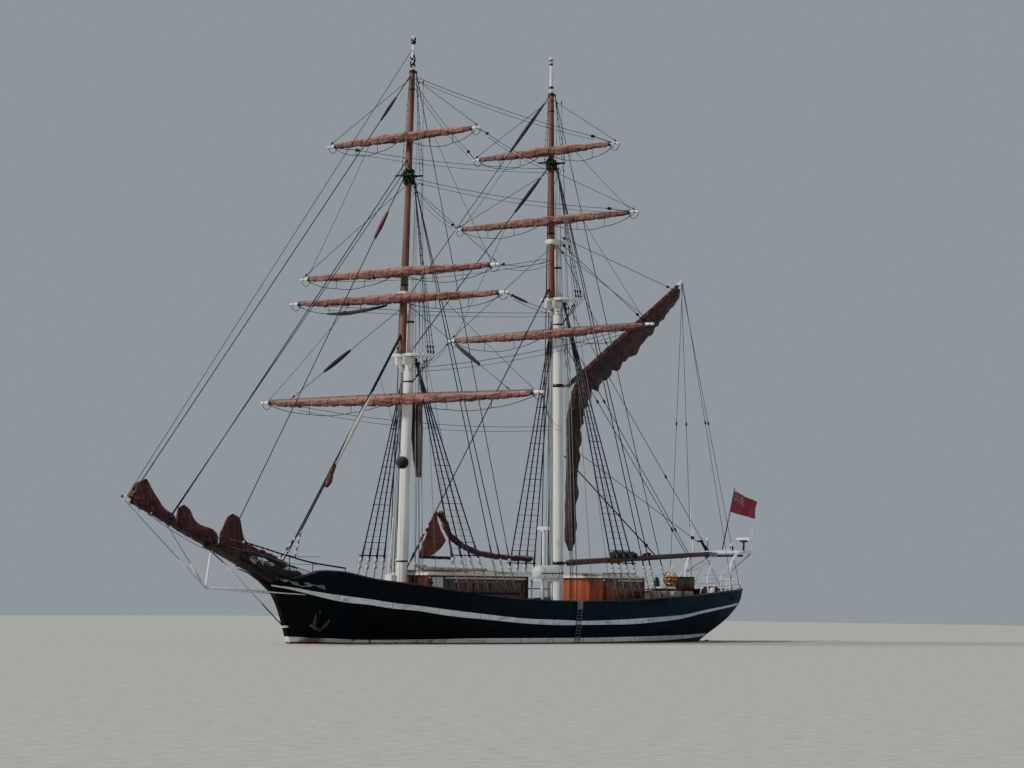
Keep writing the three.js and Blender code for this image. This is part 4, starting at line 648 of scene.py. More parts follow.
class Piece:
    """Collects the faces of one piece, each with its material, and makes the object."""

    def __init__(self, name):
        self.name = name
        self.verts, self.faces, self.paints, self.smooth, self.used = [], [], [], [], []

    def add(self, verts, faces, paint, smooth=True):
        if paint not in self.used:
            self.used.append(paint)
        base = len(self.verts)
        self.verts.extend(tuple(v) for v in verts)
        self.faces.extend(tuple(base + i for i in face) for face in faces)
        self.paints.extend([self.used.index(paint)] * len(faces))
        self.smooth.extend([smooth] * len(faces))

    def loft(self, rings, paint, closed=True, caps=True, smooth=True):
        """A skin through rings of points."""
        count = len(rings[0])
        verts = [p for ring in rings for p in ring]
        faces = []
        for i in range(len(rings) - 1):
            for j in range(count if closed else count - 1):
                a, b = i * count + j, i * count + (j + 1) % count
                faces.append((a, b, b + count, a + count))
        if caps and closed:
            faces.append(tuple(range(count))[::-1])
            faces.append(tuple(len(verts) - count + j for j in range(count)))
        self.add(verts, faces, paint, smooth)

    def tube(self, points, radius, paint, sides, caps=True):
        """A round bar or rope along points; radius is a number or one for each point."""
        points = [Vector(p) for p in points]
        radii = radius if isinstance(radius, (list, tuple)) else [radius] * len(points)
        normal = None
        rings = []
        for i, (p, r) in enumerate(zip(points, radii)):
            along = (points[min(i + 1, len(points) - 1)] - points[max(i - 1, 0)]).normalized()
            if normal is None:
                normal = along.orthogonal().normalized()
            normal = (normal - along * normal.dot(along)).normalized()
            across = along.cross(normal)
            rings.append([p + (normal * c + across * s) * r for c, s in circle(sides)])
        self.loft(rings, paint, caps=caps)

    def wire(self, a, b, radius, paint="wire", sides=5):
        self.tube([a, b], radius, paint, sides)

    def ring(self, centre, radius, thick, paint, axis, sides=6, steps=20):
        """A round hoop about an axis."""
        axis, first, second = axes(axis)
        turns = circle(steps)
        rings = []
        for c, s in turns + turns[:1]:
            out = first * c + second * s
            middle = Vector(centre) + out * radius
            rings.append([middle + (out * u + axis * v) * thick for u, v in circle(sides)])
        self.loft(rings, paint, caps=False)

    def turned(self, base, axis, profile, paint, sides):
        """A turned form: profile is (distance along the axis, radius)."""
        axis, first, second = axes(axis)
        rings = [
            [Vector(base) + axis * along + (first * c + second * s) * r for c, s in circle(sides)]
            for along, r in profile
        ]
        self.loft(rings, paint)

    def band(self, base, axis, radius, width, proud, sides=18, soft=0.003, paint="black_paint"):
        """A raised hoop with softened edges round a bar of that radius."""
        outer = radius + proud
        profile = [(0, radius), (soft, outer), (width - soft, outer), (width, radius)]
        self.turned(base, axis, profile, paint, sides)

    def ball(self, centre, radius, paint, squash=(1, 1, 1), sides=10):
        rows = max(4, sides // 2)
        along, across, high = (radius * part for part in squash)
        rings = []
        for i in range(1, rows):
            a = math.pi * i / rows
            wide, up = math.sin(a), high * math.cos(a)
            ring = [(along * wide * c, across * wide * s, up) for c, s in circle(sides)]
            rings.append([Vector(centre) + Vector(p) for p in ring])
        self.loft(rings, paint)

    def block(self, low, high, paint, bevel=0.004, turn=None, about=None):
        """A box with softened edges between two opposite corners, turned about a point where asked."""
        low, high = (Vector([pick(pair) for pair in zip(low, high)]) for pick in (min, max))
        middle, half = (low + high) / 2, (high - low) / 2
        b = min(bevel, min(half) * 0.6)
        rings = []
        for z, inset in ((-half.z, b), (-half.z + b, 0), (half.z - b, 0), (half.z, b)):
            x, y = half.x - inset, half.y - inset
            rings.append([
                Vector((sx * (x - cx * b), sy * (y - cy * b), z)) + middle
                for sx, sy, cx, cy in (
                    (1, 1, 0, 1), (1, 1, 1, 0), (-1, 1, 1, 0), (-1, 1, 0, 1),
                    (-1, -1, 0, 1), (-1, -1, 1, 0), (1, -1, 1, 0), (1, -1, 0, 1),
                )
            ])
        if turn:
            about = Vector(about)
            rings = [[turn @ (p - about) + about for p in ring] for ring in rings]
        self.loft(rings, paint, smooth=False)

    def beam(self, a, b, width, height, paint, up=Z_AXIS, bevel=0.003):
        """A squared timber from a to b."""
        a, b = Vector(a), Vector(b)
        along = (b - a).normalized()
        across = along.cross(up).normalized()
        rise = across.cross(along)
        w, h, c = width / 2, height / 2, min(bevel, width / 4, height / 4)
        shape = (
            (w, h - c), (w - c, h), (-w + c, h), (-w, h - c),
            (-w, -h + c), (-w + c, -h), (w - c, -h), (w, -h + c),
        )
        self.loft([[end + across * u + rise * v for u, v in shape] for end in (a, b)], paint, smooth=False)

    def object(self):
        """The finished object, on no body yet."""
        mesh = bpy.data.meshes.new(self.name)
        mesh.from_pydata(self.verts, [], self.faces)
        for paint in self.used:
            mesh.materials.append(material(paint))
        mesh.polygons.foreach_set("material_index", self.paints)
        mesh.polygons.foreach_set("use_smooth", self.smooth)
        mesh.validate()
        mesh.update()
        made = linked(self.name, mesh)
        return made

    def done(self, body=SHIP, slot=None, replaces=()):
        """Puts the finished piece on its body, for the nodes that it stands for."""
        made = self.object()
        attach(made, body)
        if replaces:
            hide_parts(*replaces)
        return made

    def bend(self, body, start, end):
        """Finishes a line as an object on no body, with its place baked into its points; body, start and end
        are not used.
        """
        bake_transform(self.object())


# Materials.
def colour(code):
    """A hex colour as linear red, green, blue and alpha."""
    parts = [int(code[i:i + 2], 16) / 255 for i in (0, 2, 4)]
    return [c / 12.92 if c <= 0.04045 else ((c + 0.055) / 1.055) ** 2.4 for c in parts] + [1.0]


class Recipe:
    """The nodes of one procedural material, laid out in metres of the object."""

    def __init__(self, name, metal=0.0, coat=0.0):
        self.made = bpy.data.materials.new(name)
        self.made.use_nodes = True
        self.tree = self.made.node_tree
        self.shader = next(n for n in self.tree.nodes if n.type == "BSDF_PRINCIPLED")
        self.put(self.shader, "Metallic", metal)
        self.put(self.shader, "Coat Weight", coat)
        self.place = self.new("ShaderNodeTexCoord", {}).outputs["Object"]

    def put(self, node, key, value):
        socket = node.inputs[key]
        if isinstance(value, bpy.types.NodeSocket):
            self.tree.links.new(value, socket)
        else:
            socket.default_value = value

    def new(self, kind, inputs, **settings):
        node = self.tree.nodes.new(kind)
        for key, value in settings.items():
            setattr(node, key, value)
        for key, value in inputs.items():
            self.put(node, key, value)
        return node

    def stretched(self, stretch):
        return self.new("ShaderNodeMapping", {"Vector": self.place, "Scale": stretch}).outputs[0]

    def noise(self, scale, stretch=(1, 1, 1), detail=5.0, rough=0.6, distort=0.0):
        inputs = {
            "Vector": self.stretched(stretch), "Scale": scale, "Detail": detail,
            "Roughness": rough, "Distortion": distort,
        }
        return self.new("ShaderNodeTexNoise", inputs).outputs[0]

    def step(self, value, low, high, to_low=0.0, to_high=1.0):
        inputs = {"Value": value, "From Min": low, "From Max": high, "To Min": to_low, "To Max": to_high}
        return self.new("ShaderNodeMapRange", inputs, interpolation_type="SMOOTHSTEP").outputs[0]

    def axis(self, name):
        return self.new("ShaderNodeSeparateXYZ", {"Vector": self.place}).outputs[name]

    def combine(self, kind, a, b):
        return self.new("ShaderNodeMath", {0: a, 1: b}, operation=kind).outputs[0]

    def times(self, a, b):
        return self.combine("MULTIPLY", a, b)

    def plus(self, a, b):
        return self.combine("ADD", a, b)

    def mix(self, factor, a, b):
        a = colour(a) if isinstance(a, str) else a
        b = colour(b) if isinstance(b, str) else b
        return self.new("ShaderNodeMix", {0: factor, 6: a, 7: b}, data_type="RGBA").outputs[2]

    def tint(self, base, shade, value, low, high, amount=1.0):
        """The base with a shade laid over it where the value passes from low to high."""
        return self.mix(self.step(value, low, high, 0.0, amount), base, shade)

    def bricks(self, along, across, width, height, line, soft=0.2):
        """Value 1 on the boards and 0 in the lines between them, and a shade for each board."""
        place = self.new("ShaderNodeCombineXYZ", {"X": along, "Y": across}).outputs[0]
        inputs = {
            "Vector": place, "Scale": 1.0, "Brick Width": width, "Row Height": height,
            "Mortar Size": line, "Mortar Smooth": soft,
            "Color1": (0.0, 0.0, 0.0, 1.0), "Color2": (1.0, 1.0, 1.0, 1.0), "Mortar": (0.5, 0.5, 0.5, 1.0),
        }
        node = self.new("ShaderNodeTexBrick", inputs)
        lines = node.outputs["Fac"]
        shade = self.new("ShaderNodeSeparateColor", {"Color": node.outputs["Color"]}).outputs[0]
        return self.combine("SUBTRACT", 1.0, lines), shade

    def done(self, base, rough, height=None, depth=0.002, strength=0.5):
        self.put(self.shader, "Base Color", colour(base) if isinstance(base, str) else base)
        self.put(self.shader, "Roughness", rough)
        if height is not None:
            bump = self.new("ShaderNodeBump", {"Height": height, "Distance": depth, "Strength": strength})
            self.put(self.shader, "Normal", bump.outputs[0])
        return self.made


# Plain finishes: two shades, size of the patches, their stretch, roughness from and to,
# depth of the fine relief, its scale, dirt colour, how much dirt, metal and coat
FINISHES = {
    "white_paint": ("ECEDEA", "D2D3CF", 3.0, (1, 1, 1), 0.32, 0.55, 0.0006, 90, "8B8577", 0.25, 0.0, 0.15),
    "white_spar": ("F1F1EE", "D9DAD6", 2.0, (3, 3, 0.6), 0.28, 0.5, 0.0006, 60, "8A8474", 0.28, 0.0, 0.2),
    "bulwark_paint": ("C9C6BA", "A8A598", 4.0, (1, 1, 1), 0.45, 0.7, 0.0008, 90, "6A6355", 0.4, 0.0, 0.0),
    "cream_paint": ("DAD2BB", "B9AF94", 4.0, (1, 1, 1), 0.4, 0.65, 0.0006, 90, "6F6450", 0.3, 0.0, 0.0),
    "black_paint": ("17191B", "0C0D0E", 6.0, (1, 1, 1), 0.35, 0.6, 0.0006, 80, "4A4640", 0.25, 0.0, 0.0),
    "wire": ("191B1D", "2B2D2E", 9.0, (1, 1, 1), 0.5, 0.8, 0.0012, 160, "4B463D", 0.3, 0.0, 0.0),
    "pale_rope": ("8F8F8C", "6B6A68", 12.0, (1, 1, 1), 0.7, 0.9, 0.0015, 220, "4A443C", 0.3, 0.0, 0.0),
    "black_iron": ("101216", "08090C", 8.0, (1, 1, 1), 0.4, 0.65, 0.0008, 120, "3A3530", 0.2, 0.3, 0.0),
    "maroon_paint": ("4A1F22", "341416", 8.0, (1, 1, 1), 0.4, 0.6, 0.0006, 100, "6A4A40", 0.25, 0.0, 0.1),
    "staff_paint": ("2A3440", "1A222C", 8.0, (1, 1, 3), 0.35, 0.55, 0.0006, 100, "5A5A58", 0.2, 0.0, 0.1),
    "light_wire": ("6C7071", "8A8E8E", 9.0, (1, 1, 1), 0.45, 0.7, 0.0010, 160, "3E3B35", 0.3, 0.0, 0.0),
    "grey_net": ("B9BAB6", "7F8180", 16.0, (1, 1, 1), 0.75, 0.95, 0.0100, 60, "4C4A46", 0.5, 0.0, 0.0),
    "brown_net": ("4A3A34", "241A18", 16.0, (1, 1, 1), 0.75, 0.95, 0.0100, 60, "7A7672", 0.4, 0.0, 0.0),
    "grey_rope": ("7D8286", "5A5E61", 12.0, (1, 1, 1), 0.7, 0.9, 0.0015, 220, "3E3B36", 0.3, 0.0, 0.0),
    "cream_rope": ("C9C0A5", "9D947A", 12.0, (1, 1, 1), 0.75, 0.92, 0.0015, 240, "57503F", 0.35, 0.0, 0.0),
    "white_cord": ("DDDDD6", "B5B5AC", 12.0, (1, 1, 1), 0.65, 0.85, 0.0015, 240, "6E6A5E", 0.25, 0.0, 0.0),
    "block_wood": ("2B211B", "17130F", 20.0, (1, 1, 1), 0.45, 0.7, 0.0012, 120, "5B5144", 0.3, 0.0, 0.0),
    "dark_wood": ("3B241A", "22140E", 14.0, (1, 1, 5), 0.4, 0.65, 0.0010, 120, "6B5B4A", 0.25, 0.0, 0.1),
    "old_wood": ("7D6E5F", "544840", 12.0, (1, 1, 4), 0.65, 0.85, 0.0016, 120, "3A3228", 0.35, 0.0, 0.0),
    "rail_wood": ("6A3A22", "43220F", 9.0, (0.4, 3, 3), 0.3, 0.55, 0.0008, 120, "8A7860", 0.3, 0.0, 0.3),
    "rail_grey": ("3C3A40", "28282C", 5.0, (0.5, 3, 3), 0.45, 0.7, 0.0008, 120, "6A5F62", 0.4, 0.0, 0.0),
    "old_iron": ("5A524A", "3C352E", 10.0, (1, 1, 1), 0.6, 0.85, 0.0030, 90, "6E4A34", 0.45, 0.2, 0.0),
    "rusty_iron": ("6B4A39", "3E2A20", 18.0, (1, 1, 1), 0.7, 0.95, 0.0040, 120, "9A6242", 0.5, 0.3, 0.0),
    "dark_metal": ("2A2C2E", "1A1B1D", 12.0, (1, 1, 1), 0.35, 0.6, 0.0008, 140, "5B4A3B", 0.3, 0.7, 0.0),
    "steel": ("A4A8AA", "7F8385", 12.0, (1, 1, 1), 0.25, 0.45, 0.0005, 140, "5C5548", 0.2, 0.9, 0.0),
    "brass": ("C09A55", "8C6A34", 10.0, (1, 1, 1), 0.22, 0.45, 0.0006, 140, "3F3420", 0.3, 0.95, 0.0),
    "bronze": ("8A6A3E", "4E4A38", 9.0, (1, 1, 1), 0.35, 0.6, 0.0010, 120, "39463C", 0.4, 0.9, 0.0),
    "antifouling": ("5E2A24", "44201C", 2.5, (1, 1, 1), 0.7, 0.9, 0.0020, 60, "4B4A33", 0.5, 0.0, 0.0),
    "black_rubber": ("1A1A1B", "101011", 12.0, (1, 1, 1), 0.6, 0.85, 0.0016, 120, "4C4A45", 0.2, 0.0, 0.0),
    "leather": ("5D3422", "3C2116", 12.0, (1, 1, 1), 0.5, 0.75, 0.0016, 160, "241A14", 0.4, 0.0, 0.0),
    "dark_rope": ("4E3A34", "2A1E1C", 12.0, (1, 1, 1), 0.7, 0.9, 0.0015, 220, "1A1412", 0.35, 0.0, 0.0),
    "worn_gilt": ("B2B09C", "86857A", 14.0, (1, 1, 1), 0.55, 0.8, 0.0020, 120, "4A4840", 0.45, 0.0, 0.0),
    "panel_grey": ("A9A9A4", "84847F", 5.0, (1, 1, 1), 0.5, 0.7, 0.0008, 90, "4E4A44", 0.4, 0.0, 0.0),
    "green_paint": ("1F4034", "15302A", 8.0, (1, 1, 1), 0.35, 0.55, 0.0006, 100, "5A5747", 0.2, 0.0, 0.1),
    "grey_metal": ("8E9293", "6F7374", 8.0, (1, 1, 1), 0.35, 0.6, 0.0006, 100, "4E4A42", 0.25, 0.3, 0.0),
    "deck_grey": ("C9C8C0", "A9A79E", 6.0, (1, 1, 1), 0.55, 0.8, 0.0010, 90, "6B675C", 0.35, 0.0, 0.0),
    "radar_white": ("F0F1F1", "DADCDC", 4.0, (1, 1, 1), 0.25, 0.4, 0.0003, 90, "9A9A92", 0.15, 0.0, 0.3),
}


def plain_finish(name):
    (first, second, scale, stretch, smooth, rough, depth, fine, dirt, amount, metal, coat) = FINISHES[name]
    recipe = Recipe(name, metal, coat)
    patches = recipe.noise(scale, stretch)
    grain = recipe.noise(fine, stretch, detail=3.0)
    base = recipe.tint(first, second, patches, 0.3, 0.7)
    base = recipe.tint(base, second, grain, 0.35, 0.75, 0.35)
    grime = recipe.noise(scale * 2.3, stretch, detail=8.0, rough=0.7, distort=0.6)
    base = recipe.tint(base, dirt, grime, 0.52, 0.75, amount)
    return recipe.done(base, recipe.step(patches, 0.25, 0.75, smooth, rough), grain, depth)


def hull_paint(name, fore, aft):
    """Dark hull paint that turns from one shade at the bow to another aft, chalky and streaked."""
    recipe = Recipe(name)
    recipe.put(recipe.shader, "Specular IOR Level", 0.15)
    patches = recipe.noise(0.9, (0.6, 1, 2.5), detail=7.0)
    streaks = recipe.noise(3.0, (4.0, 4.0, 0.35), detail=6.0)
    base = recipe.tint(fore, aft, recipe.axis("X"), 4.5, -3.5)
    base = recipe.tint(base, "123040", patches, 0.45, 0.72, 0.22)
    base = recipe.tint(base, "2C3C40", streaks, 0.56, 0.74, 0.16)
    rust = recipe.noise(5.0, (3.0, 3.0, 0.25), detail=7.0)
    low = recipe.step(recipe.axis("Z"), 0.5, 0.12)
    base = recipe.mix(recipe.times(recipe.step(rust, 0.62, 0.72, 0.0, 0.5), low), base, "4A2E1E")
    specks = recipe.step(recipe.noise(22.0, detail=6.0), 0.70, 0.76, 0.0, 0.25)
    base = recipe.mix(specks, base, "56605E")
    boards, _ = recipe.bricks(recipe.axis("X"), recipe.axis("Z"), 2.4, 0.085, 0.0016)
    fine = recipe.noise(38.0, detail=4.0)
    relief = recipe.plus(recipe.times(boards, 0.5), recipe.times(fine, 0.4))
    return recipe.done(base, recipe.step(patches, 0.3, 0.7, 0.55, 0.75), relief, 0.0022, 0.35)


def stripe_paint():
    """Off-white sheer stripe with grey dirt, dark butts and small rust weeps."""
    recipe = Recipe("stripe_paint")
    boards, shade = recipe.bricks(recipe.axis("X"), recipe.axis("Z"), 1.15, 8.0, 0.008, 0.6)
    base = recipe.mix(shade, "E6ECEC", "CBD3D4")
    dirt = recipe.noise(4.0, (1.0, 1.0, 2.0), detail=9.0, rough=0.7)
    base = recipe.tint(base, "8B8F8A", dirt, 0.45, 0.7, 0.75)
    base = recipe.tint(base, "3B3F40", boards, 0.9, 0.2, 0.8)
    rust = recipe.noise(2.2, (2.0, 2.0, 1.0), detail=8.0)
    base = recipe.tint(base, "8A7040", rust, 0.66, 0.75, 0.7)
    fine = recipe.noise(60.0)
    return recipe.done(base, 0.55, fine, 0.0015)


def boot_paint():
    """Cream boot stripe with dark seams, and rust towards the bow."""
    recipe = Recipe("boot_paint")
    boards, shade = recipe.bricks(recipe.axis("X"), recipe.axis("Z"), 1.05, 8.0, 0.008, 0.6)
    base = recipe.mix(shade, "F0EEE8", "DAD6CC")
    dirt = recipe.noise(5.0, (0.7, 0.7, 3.0), detail=9.0, rough=0.7)
    base = recipe.tint(base, "8E8776", dirt, 0.48, 0.72, 0.7)
    base = recipe.tint(base, "352E28", boards, 0.9, 0.2, 0.85)
    rust = recipe.noise(3.0, (1.2, 1.2, 2.0), detail=8.0, distort=0.8)
    near_bow = recipe.step(recipe.axis("X"), 2.0, 6.0, 0.15, 1.0)
    base = recipe.mix(recipe.times(recipe.step(rust, 0.5, 0.66), near_bow), base, "6E3A1C")
    stain = recipe.times(recipe.step(recipe.axis("X"), 6.25, 6.5), recipe.step(recipe.axis("X"), 6.9, 6.7))
    base = recipe.mix(recipe.times(stain, 0.8), base, "6A3016")
    weed = recipe.step(recipe.axis("Z"), 0.05, 0.0, 0.0, 0.7)
    base = recipe.mix(weed, base, "4A4630")
    return recipe.done(base, 0.6, recipe.noise(60.0), 0.0015)


def deck_planks():
    """Weathered planks with dark seams and butts."""
    recipe = Recipe("deck_planks")
    boards, shade = recipe.bricks(recipe.axis("X"), recipe.axis("Y"), 1.6, 0.062, 0.0035)
    grain = recipe.noise(14.0, (0.6, 9.0, 9.0), detail=8.0, rough=0.7)
    base = recipe.mix(shade, "A58B68", "8B7354")
    base = recipe.tint(base, "6C5940", grain, 0.4, 0.7, 0.6)
    base = recipe.tint(base, "5C5347", recipe.noise(1.5, detail=7.0), 0.5, 0.75, 0.5)
    base = recipe.tint(base, "16130F", boards, 0.8, 0.2)
    relief = recipe.plus(boards, recipe.times(grain, 0.25))
    return recipe.done(base, recipe.step(grain, 0.3, 0.7, 0.55, 0.8), relief, 0.004)


def wood(name, light, middle, dark, lengthwise, board, coat, rough, painted_shade_on_sides):
    """Varnished wood with grain along one axis, as upright boards where board gives their width, and with
    painted shade on the walls that face sideways where asked.
    """
    recipe = Recipe(name, coat=coat)
    stretch = [0.6 if axis == lengthwise else 7.0 for axis in range(3)]
    grain = recipe.noise(5.0, stretch, detail=9.0, rough=0.68, distort=0.4)
    figure = recipe.noise(1.4, stretch, detail=5.0)
    base = recipe.tint(light, middle, grain, 0.32, 0.68)
    base = recipe.tint(base, dark, figure, 0.45, 0.7, 0.75)
    pores = recipe.noise(70.0, stretch, detail=3.0)
    base = recipe.tint(base, dark, pores, 0.55, 0.75, 0.35)
    relief = grain
    if board:
        across = recipe.plus(recipe.axis("X"), recipe.axis("Y"))
        boards, shade = recipe.bricks(recipe.axis("Z"), across, 30.0, board, 0.004)
        base = recipe.tint(base, dark, shade, 0.3, 0.7, 0.35)
        base = recipe.tint(base, "140A06", boards, 0.8, 0.2, 0.8)
        relief = recipe.plus(boards, recipe.times(grain, 0.2))
    worn = recipe.step(recipe.noise(3.0, detail=8.0, rough=0.7), 0.58, 0.75, 0.0, 0.25)
    base = recipe.mix(worn, base, "8D7A63")
    # Painted shade: the walls that face sideways are darkened towards the dark shade by their facing.
    if painted_shade_on_sides:
        facing = recipe.new("ShaderNodeNewGeometry", {}).outputs["Normal"]
        sideways = recipe.new("ShaderNodeSeparateXYZ", {"Vector": facing}).outputs["Y"]
        sideways = recipe.times(sideways, sideways)
        base = recipe.tint(base, dark, sideways, 0.4, 0.7, 0.85)
    return recipe.done(base, recipe.step(grain, 0.3, 0.7, *rough), relief, 0.0025)


def canvas(name, light, middle, dark, worn):
    """Tanned sailcloth with painted highlight on its tops, painted shade on its undersides and in its
    creases, and stains and weave.
    """
    recipe = Recipe(name)
    patches = recipe.noise(1.6, (1, 1, 1), detail=7.0, rough=0.65, distort=0.5)
    creases = recipe.noise(7.0, (0.8, 0.8, 2.2), detail=8.0, rough=0.72, distort=1.6)
    base = recipe.tint(light, middle, patches, 0.35, 0.65)
    # Painted shade: the dark shade laid along the creases.
    base = recipe.tint(base, dark, creases, 0.46, 0.60, 0.9)
    stains = recipe.noise(4.0, (1.0, 1.0, 1.0), detail=9.0, rough=0.75)
    base = recipe.tint(base, worn, stains, 0.6, 0.76, 0.5)
    # Painted highlight and painted shade: faces turned up take the worn shade, faces turned down the dark
    # shade.
    upward = recipe.new("ShaderNodeNewGeometry", {}).outputs["Normal"]
    lift = recipe.new("ShaderNodeSeparateXYZ", {"Vector": upward}).outputs["Z"]
    base = recipe.tint(base, worn, lift, 0.2, 0.95, 0.55)
    base = recipe.tint(base, dark, lift, -0.2, -0.9, 0.6)
    weave = recipe.noise(220.0, detail=2.0)
    relief = recipe.plus(creases, recipe.times(weave, 0.25))
    made = recipe.done(base, recipe.step(patches, 0.3, 0.7, 0.8, 0.95), relief, 0.012, 0.6)
    recipe.put(recipe.shader, "Sheen Weight", 0.15)
    return made


def window_glass():
    recipe = Recipe("window_glass", coat=0.6)
    base = recipe.tint("16202A", "2C3A44", recipe.noise(3.0), 0.35, 0.65)
    return recipe.done(base, recipe.step(recipe.noise(20.0), 0.3, 0.7, 0.06, 0.16))


def raft_plastic():
    """Smooth white shell with duller patches and faint dirt."""
    recipe = Recipe("raft_plastic", coat=0.3)
    base = recipe.tint("F0F2F1", "DCE0DD", recipe.noise(2.5), 0.35, 0.7)
    grime = recipe.noise(9.0, (1, 3, 3), detail=9.0, rough=0.72)
    base = recipe.tint(base, "A9AFA6", grime, 0.55, 0.75, 0.5)
    return recipe.done(base, 0.3, recipe.noise(80.0), 0.0006)


def bunting(name, base_colour, shade):
    recipe = Recipe(name)
    soft = recipe.noise(6.0, detail=7.0)
    base = recipe.tint(base_colour, shade, soft, 0.35, 0.7)
    weave = recipe.noise(300.0, detail=1.0)
    base = recipe.tint(base, shade, weave, 0.45, 0.7, 0.25)
    return recipe.done(base, 0.85, weave, 0.0008)


# Hull paints: shade at the bow and aft
HULL_PAINTS = {"hull_paint": ("030812", "0A2A38"), "hull_low": ("010307", "041420")}
# Woods: light, middle and dark shade, axis of the grain, board width, coat, roughness from and to,
# and whether the walls that face sideways get painted shade
WOODS = {
    "spar_varnish": ("84503A", "653A2A", "351C14", 2, 0, 0.30, (0.32, 0.52), False),
    "yard_varnish": ("8A5238", "6A3A26", "3E2014", 1, 0, 0.20, (0.38, 0.6), False),
    "mahogany": ("6E2E1A", "532114", "2C110B", 2, 0.075, 0.3, (0.3, 0.5), False),
    "bright_mahogany": ("B4571E", "8F3C12", "4F1E0B", 2, 0.075, 0.45, (0.22, 0.42), False),
    # The aft house's boards: a copy of bright mahogany with a darker dark shade and painted shade on its
    # sideways walls.
    "aft_house_boards": ("B4571E", "8F3C12", "3A160A", 2, 0.075, 0.45, (0.22, 0.42), True),
    "boom_varnish": ("5E2620", "481A17", "2A0F0E", 0, 0, 0.3, (0.3, 0.5), False),
    "teak": ("9C6A3C", "7E5230", "4C301B", 0, 0, 0.15, (0.4, 0.65), False),
}
# Cloth: light, middle and dark shade, and a worn shade for its stains; the dark shade is also painted shade
# underneath and in the creases, the worn shade also painted highlight on the tops
CANVASES = {
    "sail_canvas": ("82544B", "673D36", "271412", "A67C6F"),
    "dark_canvas": ("55302F", "3E2224", "1C0F11", "6E4A46"),
    "jib_canvas": ("68322F", "482122", "1A0A0C", "A6706A"),
    "flap_canvas": ("8A4E46", "7A413A", "4E2622", "A07064"),
    "black_canvas": ("1D1D1F", "131315", "08080A", "3A3A3C"),
    "awning": ("D8D8D2", "C4C4BD", "8C8B84", "E4E4DF"),
    "roof_canvas": ("A8A493", "8E8B79", "5E5C4C", "C4C1B2"),
}
# Flag cloth: two shades
BUNTINGS = {
    "flag_red": ("A8404A", "86303A"), "flag_blue": ("6A3040", "522834"), "flag_white": ("C08A88", "A87472"),
}
RECIPES = {
    "stripe_paint": stripe_paint, "boot_paint": boot_paint, "deck_planks": deck_planks,
    "window_glass": window_glass, "raft_plastic": raft_plastic,
}
FAMILIES = ((HULL_PAINTS, hull_paint), (WOODS, wood), (CANVASES, canvas), (BUNTINGS, bunting))
made_materials = {}


def material(name):
    """The material of that name, made when it is first asked for."""
    if name not in made_materials:
        made_materials[name] = make_material(name)
    return made_materials[name]


def make_material(name):
    if name in RECIPES:
        return RECIPES[name]()
    for table, make in FAMILIES:
        if name in table:
            return make(name, *table[name])
    return plain_finish(name)


# Camera, light and floor.
def add_camera():
    heading = Vector((-math.cos(CAMERA_HEADING), -math.sin(CAMERA_HEADING), 0))
    right = Vector((-math.sin(CAMERA_HEADING), math.cos(CAMERA_HEADING), 0))
    ahead = heading * math.cos(CAMERA_PITCH) + Z_AXIS * math.sin(CAMERA_PITCH)
    up = Z_AXIS * math.cos(CAMERA_PITCH) - heading * math.sin(CAMERA_PITCH)
    across = right * math.cos(CAMERA_ROLL) + up * math.sin(CAMERA_ROLL)
    upright = up * math.cos(CAMERA_ROLL) - right * math.sin(CAMERA_ROLL)
    lens = bpy.data.cameras.new("photo_camera")
    lens.lens = CAMERA_LENS
    lens.sensor_width = SENSOR_WIDTH
    lens.clip_end = 500
    holder = linked("photo_camera", lens)
    turn = Matrix((across, upright, -ahead)).transposed()
    holder.matrix_world = Matrix.Translation(CAMERA_AT) @ turn.to_4x4()
    bpy.context.scene.camera = holder


def add_light():
    sun = bpy.data.lights.new("soft_sun", "SUN")
    sun.energy = SUN["energy"]
    sun.angle = math.radians(SUN["angle"])
    sun.color = SUN["colour"]
    holder = linked("soft_sun", sun)
    holder.rotation_mode = "QUATERNION"
    holder.rotation_quaternion = Vector(SUN["towards"]).to_track_quat("Z", "Y")
    world = bpy.data.worlds.new("pale_sky")
    world.use_nodes = True
    sky = next(n for n in world.node_tree.nodes if n.type == "BACKGROUND")
    sky.inputs["Color"].default_value = SKY["colour"]
    sky.inputs["Strength"].default_value = SKY["strength"]
    bpy.context.scene.world = world


def add_floor():
    half = FLOOR_HALF
    mesh = bpy.data.meshes.new("floor")
    corners = [(-half, -half, 0), (half, -half, 0), (half, half, 0), (-half, half, 0)]
    mesh.from_pydata(corners, [], [(0, 1, 2, 3)])
    mesh.materials.append(material("deck_grey"))
    linked("floor", mesh)


# Hull.
def band_tops(x):
    """Heights at x where the colour of the side changes, from the bottom up, and the rail."""
    boot_top, boot_low = boot_stripe(x) if BOOT_ENDS[0] < x < BOOT_ENDS[1] else (0.03, 0.02)
    return [boot_low, boot_top, sum(sheer_stripe(x)) / 2, station(x)[8]]


def add_hull_skin():
    """The outside of the ship's side from the keel to the rail, in bands of colour."""
    skin = Piece("hull_skin")
    xs = spread(STATIONS[0][0], STATIONS[-1][0], HULL_STEPS)
    for side in (1, -1):
        lines = []
        for x in xs:
            edges = [0.0] + [share_at(x, z) for z in band_tops(x)]
            line = []
            for low, high, (_, steps) in zip(edges, edges[1:], HULL_BANDS):
                line += spread(low, high, steps)[:-1]
            lines.append(on_side([side_point(x, t) for t in line + [2.0]], side))
        first = 0
        for paint, steps in HULL_BANDS:
            skin.loft([line[first:first + steps + 1][::side] for line in lines], paint, closed=False)
            first += steps
    port = [side_point(xs[0], t) for t in spread(0, 2, 16)]
    transom = port + on_side(port[::-1], -1)
    skin.add(transom, [tuple(range(len(transom)))], "hull_paint", smooth=False)
    skin.done(slot="hull_paint", replaces=("hull",))


